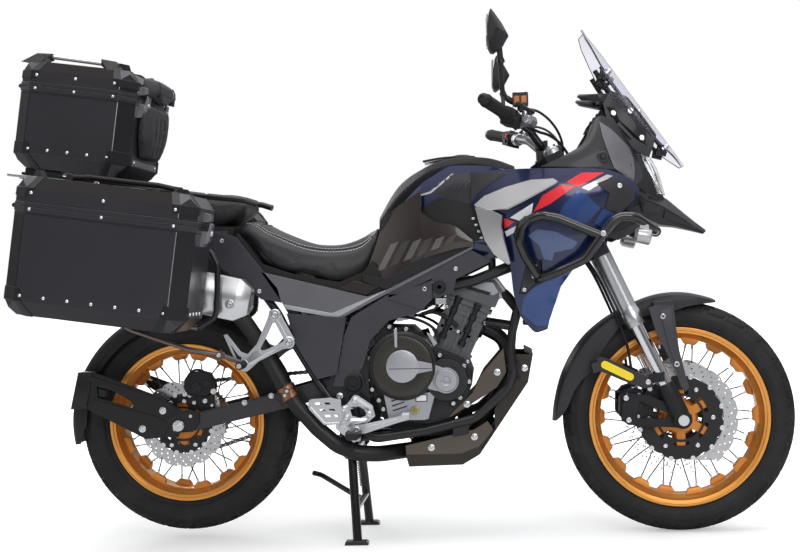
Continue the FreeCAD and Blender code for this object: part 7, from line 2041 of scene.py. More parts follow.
def dress_case(case, faces, rivets, lid_rivets, inner_cut):
    """Painted-shade skins on the chamfers and slants, edge rods of painted highlight and shade, seam bands, rivets,
    caps and latches of one case; faces lists its outward sides.
    """
    body, lid = Form(), Form()
    length, width = case.length, case.width
    for face in faces:
        def flip(v):
            return v if face else case.width - v

        def skin(form, corners, mark, lift=0.7, depth=1.5):
            """A thin plate of painted shade just proud of a flat facet, corners in order."""
            points = [case.at(u, flip(v), w) for u, v, w in corners]
            normal = (points[1] - points[0]).cross(points[2] - points[0]).normalized()
            middle = sum(points, Vector((0, 0, 0))) / len(points)
            heart = case.at(length / 2, width / 2, case.body / 2)
            if normal.dot(middle - heart) < 0:
                normal = -normal
            form.loft([[p + normal * lift for p in points], [p - normal * (depth - lift) for p in points]], mark)

        low, seam = LOW_SLANT, case.body
        # darker skins on the vertical chamfers and the lower slant, a matt one on the lid's upper slant: painted
        # shade
        for u_edge, u_in in ((0, CORNER), (length, length - CORNER)):
            skin(body, ((u_edge, width - CORNER, low), (u_in, width, low), (u_in, width, seam - 20),
                        (u_edge, width - CORNER, seam - 20)), 1)
            skin(lid, ((u_edge, width - CORNER, seam + 16), (u_in, width, seam + 16),
                       (u_in, width, case.top - TOP_SLANT), (u_edge, width - CORNER, case.top - TOP_SLANT)), 1)
        skin(body, ((CORNER, width, low), (length - CORNER, width, low), (length - CORNER - 16, width - 38, 0),
                    (CORNER + 16, width - 38, 0)), 1)
        skin(lid, ((CORNER, width, case.top - TOP_SLANT), (length - CORNER, width, case.top - TOP_SLANT),
                   (length - CORNER - 14, width - 30, case.top), (CORNER + 14, width - 30, case.top)), 5)
        # thin rods down the vertical edges: a painted highlight on the front edge, painted shade on the rear one
        for u, u_in in ((length - CORNER, -0.6), (CORNER, 0.6)):
            painted_light_mark = 3 if u > length / 2 else 1
            body.rod(case.at(u + u_in, flip(width + 0.5), low + 4), case.at(u + u_in, flip(width + 0.5), seam - 20),
                     1.35, painted_light_mark, sides=8, edge=0.3)
            lid.rod(case.at(u + u_in, flip(width + 0.5), seam + 16), case.at(u + u_in, flip(width + 0.5),
                    case.top - TOP_SLANT), 1.35, painted_light_mark, sides=8, edge=0.3)
        out = 1 if face else -1
        for u in rivets:
            rivet(body, case, u, flip(width + 0.6), 52, (0, out, 0), 2)
        for u in lid_rivets:
            rivet(body, case, u, flip(width + 2.2), case.body - 6, (0, out, 0), 2, 4.6)
            rivet(lid, case, u, flip(width + 0.8), case.top - 43, (0, out, 0), 2)
        for end in (0, 1):
            corner_cap(lid, case, end, face, case.top - 52, case.top, 20 if case is TOP or end == 0 else 14, 4)
            if face:
                foot_cap(body, case, end, 4)
            else:
                far_cap = Form()
                foot_cap(far_cap, case, end, 4)
                body.merge(far_cap.other_side())
    case.band(body, case.body - 13, case.body - 0.3, 2.2, 0, inner_cut)
    case.band(body, case.body - 20, case.body - 16, 1.4, 4, inner_cut)
    case.band(lid, case.body + LID_SEAM + 0.3, case.body + 12, 2.2, 0, inner_cut)
    case.band(lid, case.body + 12.8, case.body + 15, 1.2, 4, inner_cut)
    for k in range(5):
        v = width * (0.2 + 0.15 * k)
        rivet(body, case, length + 0.6, v, 52, (1, 0, 0), 2)
        rivet(body, case, -0.6, v, 52, (-1, 0, 0), 2)
    # stiffening ribs pressed into the lid
    for k in range(4):
        u = length * (0.26 + 0.16 * k)
        lid.hull([case.at(u + a, v + b, case.top + c) for a, b, c in (
            (-9, 0, 0), (9, 0, 0), (-5, 0, 2.4), (5, 0, 2.4)) for v in (width * 0.27, width * 0.73)], 0)
    # toggle latches on the front wall
    for v in ((case.width / 2,) if case is not TOP else (90, 286)):
        body.hull([case.at(length + a, v + b, case.body + c)
                   for a, c in ((-1, -52), (10, -50), (16, -34), (18, -12), (-1, -8))
                   for b in (-17, 17)], 3)
        body.hull([case.at(length + a, v + b, case.body + c)
                   for a, c in ((14, -44), (24, -30), (26, 10), (20, 14), (16, -10))
                   for b in (-13, 13)], 3)
        lid.hull([case.at(length + a, v + b, case.body + c)
                  for a, c in ((-1, 14), (10, 16), (22, 20), (20, 36), (-1, 40))
                  for b in (-15, 15)], 3)
        body.lathe(case.at(length + 24, v, case.body - 14), case.at(1, 0, 0) - case.at(0, 0, 0),
                   ((0, 7), (3, 7), (4, 6), (4, 2.2), (2.5, 2)), 2, sides=20)
    finishes = [CASE, CHAMFER_PAINTED_SHADE, BOLT, PAINTED_EDGE_HIGHLIGHT, CAP_BLACK, SLANT_PAINTED_SHADE]
    piece(case.name + "_fittings", body, case.body_name, finishes, bevel=0.8)
    piece(case.name + "_lid_fittings", lid, case.lid_name, finishes, bevel=0.8)


# a bright rod colour for the light caught on the cases' front edges: a painted highlight
PAINTED_EDGE_HIGHLIGHT = material("painted_edge_highlight", (0.42, 0.42, 0.45), 0.28, metal=0.9, mottle=0.15)

dress_case(TOP, (0, 1), [54 + 58.3 * k for k in range(5)], (56, 170.5, 285), CORNER)
for case in PANNIERS:
    dress_case(case, (1,), [54.6 + 64.1 * k for k in range(7)], (54, 248, 440), 12)


def make_handles():
    """Tie-down tubes along the top case's lid and carrying handles on the panniers."""
    form = Form()
    for v in (TOP.width / 2 - 128, TOP.width / 2 + 128):
        form.rod(TOP.at(66, v, 327), TOP.at(232, v, 323), 6.5, 0, sides=20)
        outward = -1 if v < TOP.width / 2 else 1
        for u, reach in ((52, -1), (246, 1)):
            form.hull([TOP.at(u + a * reach, v + b * outward, w) for a, b, w in (
                (-24, -16, 335), (-24, 12, 335), (20, -14, 332), (20, 14, 332), (-22, -16, 318), (-22, 14, 316),
                (58, -14, 306), (58, 34, 300), (14, -20, 304), (10, 40, 296))], 1)
    piece("top_case_lid_handles", form, "top_case_lid_body", [HANDLE, CAP_BLACK], bevel=1.0)
    for case in PANNIERS:
        grip = Form()
        for u in (92, 398):
            grip.hull([case.at(u + a, 60 + b, case.top + c) for a in (-22, 22) for b in (-14, 14) for c in (0, 4)], 1)
            grip.hull([case.at(u + a, 60 + b, case.top + c) for a, b, c in (
                (-12, -10, 3), (12, -10, 3), (-12, 10, 3), (12, 10, 3), (-8, -7, 22), (8, -7, 22), (-8, 7, 22),
                (8, 7, 22))], 1)
        path = rounded_path([case.at(92, 60, case.top + 14), case.at(150, 60, case.top + 20),
                             case.at(340, 60, case.top + 20), case.at(398, 60, case.top + 14)], 60)
        grip.tube(path, 7.5, 1)
        piece(case.name + "_lid_grip", grip, case.lid_name, [HANDLE, CAP_BLACK], bevel=1.2)


HANDLE = material("handle_silver", (0.72, 0.72, 0.74), 0.22, metal=0.9, mottle=0.04)
make_handles()


def pad_sections(rows, sink=1.0):
    """Pads on the top case's front wall from rows of (height, proud, half width at the wall, at the front)."""
    middle = TOP.width / 2
    out = []
    for up, proud, wide, narrow in rows:
        profile = ((-wide, sink), (-wide * 0.99, proud * 0.42), (-narrow, proud * 0.86), (-narrow * 0.62, proud),
                   (-narrow * 0.2, proud), (narrow * 0.2, proud), (narrow * 0.62, proud), (narrow, proud * 0.86),
                   (wide * 0.99, proud * 0.42), (wide, sink))
        out.append([TOP.at(TOP.length + reach, middle + across, up) for across, reach in profile])
    return out


LOWER_PAD = ((64, 12, 66, 44), (70, 30, 74, 50), (92, 37, 86, 58), (122, 42, 104, 74), (160, 43, 110, 82),
             (200, 40, 113, 88), (219, 36, 110, 84), (224, 22, 102, 76))
UPPER_PAD = ((241, 18, 98, 76), (247, 38, 106, 84), (262, 49, 111, 90), (280, 47, 109, 88), (294, 40, 104, 82),
             (300, 20, 94, 72))


def make_backrest():
    for name, rows, body, cad in (("backrest_lower_pad", LOWER_PAD, "chassis", "backrest_lower"),
                                  ("backrest_upper_pad", UPPER_PAD, "top_case_lid_body", "backrest_upper")):
        form = Form().loft(blend_rows(pad_sections(rows), 3), 0)
        made = piece(name, form, body, [PAD], angle=50, replaces=[cad])
        puffed(made, name, 3.0, voxel=4.0)
    surface = surface_of(bpy.data.objects["backrest_lower_pad"])
    middle = TOP.width / 2
    trim, web = Form(), Form()
    inward = TOP.at(-1, 0, 0) - TOP.at(0, 0, 0)

    def on_pad(v, w, lift, cover=surface):
        start = TOP.at(TOP.length + 200, middle + v, w)
        hit = cover.ray_cast(start, inward)[0]
        return (hit if hit is not None else TOP.at(TOP.length + 10, middle + v, w)) - inward * lift

    for low, high in ((84, 112), (120, 152), (160, 194)):
        corners = [(-17, low), (17, low), (17, high), (-17, high)]
        loops = [[on_pad(v * size, (w - (low + high) / 2) * size + (low + high) / 2, lift) for v, w in corners]
                 for size, lift in ((1.0, -1.5), (1.0, 1.6), (0.9, 2.4), (0.9, -1.5))]
        trim.loft(loops, 0)
    for v in (-58, -26, 26, 58):
        line = [on_pad(v * share, w, 0.2)
                for share, w in ((0.72, 76), (0.86, 100), (1.0, 140), (1.05, 180), (1.05, 216))]
        trim.tube(line, 1.5, 1, sides=6)
    for k in range(2):
        w = 74 + 132 * k
        trim.tube([on_pad(v, w, 0.2) for v in (-46, -24, 0, 24, 46)], 1.4, 1, sides=6)
    piece("backrest_lower_trim", trim, "chassis", [PAD, CAP_BLACK], bevel=0.6)
    cover = surface_of(bpy.data.objects["backrest_upper_pad"])
    for v in (-72, 72):
        row = [on_pad(v, w, 1.4, cover) for w in (244, 252, 266, 282, 294)]
        beside = [p + Vector((0, 16, 0)) for p in row]
        web.sheet([row, beside], 1.6, 0)
        centre = on_pad(v + 8, 252, 3.0, cover)
        web.hull([centre + d for d in (TOP.at(a, b, c) - TOP.at(0, 0, 0) for a in (-3, 4) for b in (-13, 13)
                                       for c in (-9, 9))], 1)
    for shift in (0.6, -0.6):
        web.tube([on_pad(v, 271 + 14 * shift, 0.4, cover) for v in (-96, -60, -20, 20, 60, 96)], 1.5, 1, sides=6)
    piece("backrest_upper_straps", web, "top_case_lid_body", [PAD, CAP_BLACK], bevel=0.5)
    plate = Form()
    for low, high in ((40, 58), (226, 231)):
        plate.hull([TOP.at(TOP.length + a, middle + b, c) for a in (0.3, 3.5) for b in (-122, 122)
                    for c in (low, high)], 0)
    for v in (-108, 108):
        rivet(plate, TOP, TOP.length + 3.5, middle + v, 49, (1, 0, 0), 1)
    piece("backrest_plate", plate, "chassis", [PLATE_GREY, BOLT], bevel=0.6)


PLATE_GREY = material("backrest_plate", (0.26, 0.26, 0.30), 0.36, metal=0.7, mottle=0.06)
make_backrest()


def make_rack():
    """Bright plates between the top case and the grab rails, with their screws."""
    form = Form()
    for v in (60, 316):
        for u, reach in ((-16, 92), (150, 130), (300, 96)):
            form.hull([TOP.at(u + a, v + b, w) for a in (0, reach) for b in (-15, 15) for w in (-31, -24)], 0)
        for u in (24, 298):
            form.bolt(TOP.at(u, v, -31), TOP.at(0, 0, -1) - TOP.at(0, 0, 0), 7, 5, 1)
    for side in (-1, 1):
        for x, z in ((-560, 1000), (-690, 1020), (-880, 1046)):
            form.lathe((x, side * 135, z), (0, side, 0), ((-2, 10), (4, 10), (6, 8), (6, 4)), 1, sides=20)
    piece("rack_plates", form, "chassis", [ALLOY, BOLT], bevel=0.8)
    rods = Form()
    for side in (-1, 1):
        for x, y, z in ((-560, 262, 846), (-900, 262, 899)):
            rods.lathe((x, side * y, z), (0, side, 0), ((0, 16), (12, 16), (14, 13), (14, 6)), 0, sides=28)
        for x, z in ((-789, 664), (-503, 549), (-446, 522)):
            rods.lathe((x, side * (RAIL_Y if x < -700 else 252 if x < -480 else 222), z), (0, -side, 0),
                       ((-9, 11), (9, 11), (11, 9)), 0, sides=20)
    piece("carrier_bosses", rods, "chassis", [RACK_BRONZE], bevel=0.6)


make_rack()
# ---------------------------------------------------------------- rear end: guard, arm, brake, chain, damper
ARM_OUT = 142.0
PIVOT_X, PIVOT_Z = -147.0, 455.0
STAY = ((-247, 159), (-64, 88), (7, 45), (16, 5), (-4, -33), (-44, -33), (-99, -37), (-269, 53))
STAY_WINDOW = ((-239, 117), (-194, 105), (-130, 67), (-134, 54), (-237, 85))
HOUSING = ((-39, 19), (-18, -21), (41, -18), (59, 8), (58, 36), (25, 46), (-25, 27))
ARM = ((-375, 430), (-150, 486), (-126, 480), (-120, 462), (-125, 440), (-341, 388), (-606, 330), (-694, 324),
       (-704, 345), (-694, 368), (-606, 380))


def from_axle(outline, scale=1.0):
    """Points from the rear axle; scale draws them in towards their middle."""
    middle_x = sum(x for x, z in outline) / len(outline)
    middle_z = sum(z for x, z in outline) / len(outline)
    return [(REAR[0] + middle_x + (x - middle_x) * scale, REAR[2] + middle_z + (z - middle_z) * scale)
            for x, z in outline]


def circle(x, z, radius, sides=20):
    return [(x + radius * cos(2 * pi * k / sides), z + radius * sin(2 * pi * k / sides)) for k in range(sides)]


def make_hugger():
    form = Form()
    sections = []
    steps = 30
    for step in range(steps + 1):
        angle = radians(112 + 78 * step / steps)
        point = max(0.0, (step - steps + 4) / 4)
        hem = 292 + 26 * point
        half = 84 - 4 * point
        row = ((hem, half), (326, half), (336, half - 7), (340, half - 24), (341, 0))
        outer = [(r, -y) for r, y in row] + [(r, y) for r, y in reversed(row[:-1])]
        inner = [(r - (3 if abs(y) < half else 0), y * (1 - 3 / half)) for r, y in reversed(outer)]
        sections.append([around(REAR, angle, r, y) for r, y in outer + inner])
    form.loft(sections, 0)
    for side in (-1, 1):
        ridge = []
        for step in range(22):
            angle = radians(114 + 66 * step / 21)
            ridge.append([around(REAR, angle, 322, side * 83), around(REAR, angle, 320, side * 86.5),
                          around(REAR, angle, 308, side * 86.5), around(REAR, angle, 305, side * 83)])
        form.loft(ridge, 0)
        plate_y = between(side, ARM_OUT, ARM_OUT + 4)
        form.cut_plate(from_axle(STAY), [from_axle(STAY_WINDOW)], *plate_y, 0)
        rim_y = between(side, ARM_OUT + 3.5, ARM_OUT + 7)
        upper = ((-262, 150), (-64, 82), (-5, 50), (-22, 40), (-124, 72), (-194, 110), (-254, 128))
        lower = ((-262, 56), (-99, -31), (-45, -28), (-28, 6), (-66, 28), (-138, 48), (-252, 82))
        form.prism(from_axle(upper), *rim_y, 0)
        form.prism(from_axle(lower), *rim_y, 0)
        foot = ((-247, 159), (-269, 53), (-319, 53), (-294, 159))
        corners = [(x, side * 80, z) for x, z in from_axle(foot)]
        corners += [(x, side * (ARM_OUT + 1), z) for x, z in from_axle(foot)]
        corners += [(x, side * (ARM_OUT + 6), z) for x, z in from_axle(foot, 0.8)]
        form.hull(corners, 0)
        form.prism(from_axle(((-236, 112), (-214, 106), (-212, 86), (-234, 88))), *between(side, 120, 143), 0)
        for x, z in ((-702, 389), (-763, 338)):
            form.lathe((x, side * (ARM_OUT + 6.5), z), (0, side, 0), ((0, 10.5), (1.4, 10.5), (1.8, 9.5)), 1,
                       sides=20)
            form.bolt((x, side * (ARM_OUT + 8), z), (0, side, 0), 7, 4, 1)
    piece("hugger_guard", form, "chassis", [HUGGER_BLACK, BOLT], bevel=1.2,
          replaces=["rear_mudguard"])


def make_arm():
    form = Form()
    for side in (-1, 1):
        form.prism(ARM, *between(side, 112, ARM_OUT - 3), 0)
        inset = [(x + (4 if x < -650 else 0), z + (-3 if z > 0.225 * (x + 147) + 455 else 3)) for x, z in ARM]
        form.prism(inset, *between(side, 118, ARM_OUT), 0)
        form.lathe((PIVOT_X, side * 112, PIVOT_Z), (0, side, 0), ((0, 27), (36, 27), (38, 25), (38, 12)), 0, sides=32)
        # the axle's housing in front of the guard's plate, with its nut and adjuster
        low, high = between(side, ARM_OUT + 3, ARM_OUT + 9)
        form.cut_plate(from_axle(HOUSING), [circle(REAR[0], REAR[2], 17.5)], low, high, 1)
        form.cut_plate(from_axle(HOUSING, 0.82), [circle(REAR[0], REAR[2], 19)],
                       *between(side, ARM_OUT + 8, ARM_OUT + 11), 1)
        form.lathe((-690, side * 127, 346), (-1, 0, 0), ((0, 7), (14, 7), (15, 5.5), (15, 3)), 2, sides=6)
        form.bolt((-620, side * (ARM_OUT + 10), 372), (0, side, 0), 5, 3.5, 2)
        form.bolt((-668, side * (ARM_OUT + 10), 335), (0, side, 0), 4.5, 3.5, 2)
        for x, z in ((-465, 406), (-387, 424)):
            form.lathe((x, side * (ARM_OUT - 0.5), z), (0, side, 0), ((0, 8), (1.4, 8)), 2, sides=18)
            form.bolt((x, side * (ARM_OUT + 0.5), z), (0, side, 0), 6, 4.2, 2)
        # weld beads where the forging joins the sheet
        form.tube([(-352, side * (ARM_OUT - 1), 393), (-372, side * (ARM_OUT - 0.5), 412),
                   (-384, side * (ARM_OUT - 1), 425)],
                  2.2, 0, sides=8)
    form.prism([(-252, 392), (-252, 428), (-246, 434), (-204, 434), (-198, 428), (-198, 392), (-204, 386),
                (-246, 386)],
               -113, 113, 0)
    for x, z in ((-235, 430), (-215, 430)):
        form.rod((x, -14, z), (x, -22, z + 12), 6, 0)
    form.rod((-225, -26, 440), (-225, -14, 440), 13, 0)
    form.rod((-225, 14, 440), (-225, 26, 440), 13, 0)
    # chain slider over the front of the left arm
    form.prism(((-330, 442), (-150, 489), (-118, 482), (-112, 460), (-118, 438), (-124, 438), (-119, 460),
                (-124, 478), (-150, 483), (-330, 436)), 90, 113, 3)
    piece("arm_blades", form, "chassis", [ARM_SATIN, CARRIER_BLACK, BOLT, RUBBER], bevel=2.2,
          replaces=["swingarm"])
    nuts = Form()
    for side in (-1, 1):
        place = (REAR[0], side * 151.5, REAR[2])
        nuts.lathe(place, (0, side, 0), ((-4, 16), (1.5, 16), (2, 15)), 0, sides=28)
        nuts.lathe(place, (0, side, 0), ((1, 13), (9, 13), (11, 11.5), (11, 8)), 0, sides=6)
        nuts.lathe(place, (0, side, 0), ((1, 7), (14, 7), (15, 6), (15, 3.5), (12, 3)), 0, sides=24)
    piece("rear_axle_nuts", nuts, "chassis", [BOLT], bevel=0.8)


def make_rear_brake():
    form = Form()
    block = ((16, 86), (34, 78), (78, 78), (98, 92), (97, 120), (84, 145), (60, 152), (24, 148), (10, 128), (8, 104))
    form.prism(from_axle(block), -112, -103, 0)
    form.prism(from_axle(block, 0.92), -116, -111, 0)
    form.prism(from_axle(block), -91, -79, 0)
    form.prism(from_axle(((14, 131), (96, 118), (84, 147), (60, 153), (24, 149))), -104, -90, 0)
    form.prism(from_axle(((56, 36), (98, 44), (92, 96), (34, 96))), -112, -105, 0)
    form.lathe((-611, -115, 447), (0, -1, 0), ((0, 17), (5, 17), (7, 15), (7, 10), (5, 9)), 1, sides=28)
    form.lathe((-580, -115, 462), (0, -1, 0), ((0, 10), (4, 10), (5, 8.5), (5, 6)), 1, sides=24)
    for x, z, radius in ((-644, 432, 7.5), (-560, 438, 9), (-647, 412, 6.5), (-586, 411, 7.5), (-566, 398, 5)):
        form.bolt((x, -115 if z > 415 else -112, z), (0, -1, 0), radius, 5, 2)
    # bleed nipple, hose joint and the pad pin
    form.lathe((-600, -97, 488), (0.3, 0, 1), ((-6, 5), (4, 5), (5, 3), (11, 3), (12, 4), (15, 3)), 2, sides=12)
    form.lathe((-632, -100, 478), (-0.4, 0, 1), ((-6, 8), (4, 8), (5, 6), (9, 6)), 2, sides=16)
    form.tube(smooth_line([(-633, -100, 484), (-626, -102, 496), (-600, -106, 500), (-560, -108, 476),
                           (-552, -109, 450)]),
              3.4, 3, sides=10)
    form.rod((-640, -112, 455), (-640, -84, 455), 4, 2)
    piece("rear_caliper_body", form, "chassis", [CAST_BLACK, CARRIER_BLACK, BOLT, RUBBER], bevel=1.6,
          replaces=["rear_caliper"])


def chain_path(pitch):
    """Joints of the chain round the two sprockets, in order."""
    big, small = Vector((REAR[0], 0, REAR[2])), Vector((-85, 0, 450))
    big_radius, small_radius = 106.0, 38.0
    span = small - big
    lean = math.acos((big_radius - small_radius) / span.length)
    along = math.atan2(span.z, span.x)
    path = []
    for centre, radius, start, sweep in ((small, small_radius, along + lean, -2 * lean),
                                         (big, big_radius, along - lean, -(2 * pi - 2 * lean))):
        for step in range(25):
            angle = start + sweep * step / 24
            path.append(Vector((centre.x + radius * cos(angle), 0, centre.z + radius * sin(angle))))
    path.append(path[0])
    reaches = [0.0]
    for a, b in zip(path, path[1:]):
        reaches.append(reaches[-1] + (b - a).length)
    count = 2 * round(reaches[-1] / pitch / 2)
    joints, leg = [], 0
    for k in range(count):
        reach = reaches[-1] * k / count
        while reaches[leg + 1] < reach:
            leg += 1
        share = (reach - reaches[leg]) / (reaches[leg + 1] - reaches[leg])
        joints.append(path[leg].lerp(path[leg + 1], share))
    return joints


def make_chain():
    form = Form()
    joints = chain_path(15.875)
    for k, joint in enumerate(joints):
        after = joints[(k + 1) % len(joints)]
        way = (after - joint).normalized()
        over = Vector((-way.z, 0, way.x))
        outline = []
        for centre, start in ((joint, 90), (after, -90)):
            for turn in range(5):
                angle = radians(start + 45 * turn)
                outline.append(centre + way * (6.4 * cos(angle)) + over * (6.4 * sin(angle)))
        outline.insert(5, (joint + after) / 2 - over * 4.4)
        outline.append((joint + after) / 2 + over * 4.4)
        plate_in, plate_out = ((4.2, 5.6), (6.0, 7.4))[k % 2]
        for side in (-1, 1):
            form.prism([(p.x, p.z) for p in outline], *sorted((99 + side * plate_in, 99 + side * plate_out)), 0)
        form.lathe((joint.x, 91, joint.z), ACROSS,
                   ((0, 2.6), (2.6, 2.6), (4, 4.9), (12, 4.9), (13.4, 2.6), (16, 2.6)), 1, sides=10)
    piece("chain_links", form, "chassis", [CHAIN_STEEL, BOLT], replaces=["chain"])
    teeth = 40
    rim = []
    for k in range(teeth):
        for share, radius in ((0.0, 91.5), (0.25, 93.5), (0.42, 97.2), (0.58, 97.2), (0.75, 93.5)):
            angle = 2 * pi * (k + share) / teeth
            rim.append((REAR[0] + radius * cos(angle), REAR[2] + radius * sin(angle)))
    holes = [circle(REAR[0], REAR[2], 49, 32)]
    for k in range(6):
        angle = 2 * pi * k / 6
        middle = []
        for reach, turns in ((82, (-0.36, -0.18, 0, 0.18, 0.36)), (62, (0.30, 0, -0.30))):
            middle += [(REAR[0] + reach * cos(angle + t), REAR[2] + reach * sin(angle + t)) for t in turns]
        holes.append(middle)
    wheel = Form()
    wheel.cut_plate(rim, holes, 95.2, 101.8, 0)
    for k in range(6):
        p = around(REAR, 2 * pi * (k + 0.5) / 6, 58, 101.5)
        wheel.lathe(p, ACROSS, ((0, 8), (3, 8), (4, 6.5)), 1, sides=6)
    piece("rear_sprocket_teeth", wheel, "rear_wheel", [STEEL, BOLT], bevel=0.5,
          replaces=["rear_sprocket"])


def make_damper():
    form = Form()
    foot, head = Vector((-225, 0, 440)), Vector((-160, 0, 730))
    span = head - foot
    way, aside, over = basis(span)
    length = span.length
    coil = []
    turns = 7.5
    for step in range(int(turns * 18) + 1):
        share = step / (turns * 18)
        angle = 2 * pi * turns * share
        coil.append(foot + way * (length * (0.18 + 0.52 * share)) + aside * (25.5 * cos(angle))
                    + over * (25.5 * sin(angle)))
    form.tube(coil, 5.2, 1, sides=10)
    form.lathe(foot, way, ((length * 0.05, 10), (length * 0.08, 16), (length * 0.14, 18), (length * 0.15, 31),
                           (length * 0.175, 31), (length * 0.18, 20)), 0)
    form.lathe(foot, way, ((length * 0.17, 9), (length * 0.45, 9)), 2, sides=24)
    form.lathe(foot, way, ((length * 0.44, 17), (length * 0.70, 17), (length * 0.705, 31), (length * 0.73, 31),
                           (length * 0.74, 22), (length * 0.90, 22), (length * 0.92, 16), (length * 0.95, 10)), 0)
    form.lathe(foot, way, ((length * 0.735, 29), (length * 0.76, 29)), 0, sides=12)
    for end in (foot, head):
        form.lathe(end - Vector((0, 13, 0)), ACROSS, ((0, 9), (1, 14), (25, 14), (26, 9)), 0, sides=24)
    piece("damper_coil", form, "chassis", [ENGINE_GREY, SPRING_GREY, CHROME],
          replaces=["rear_damper"])


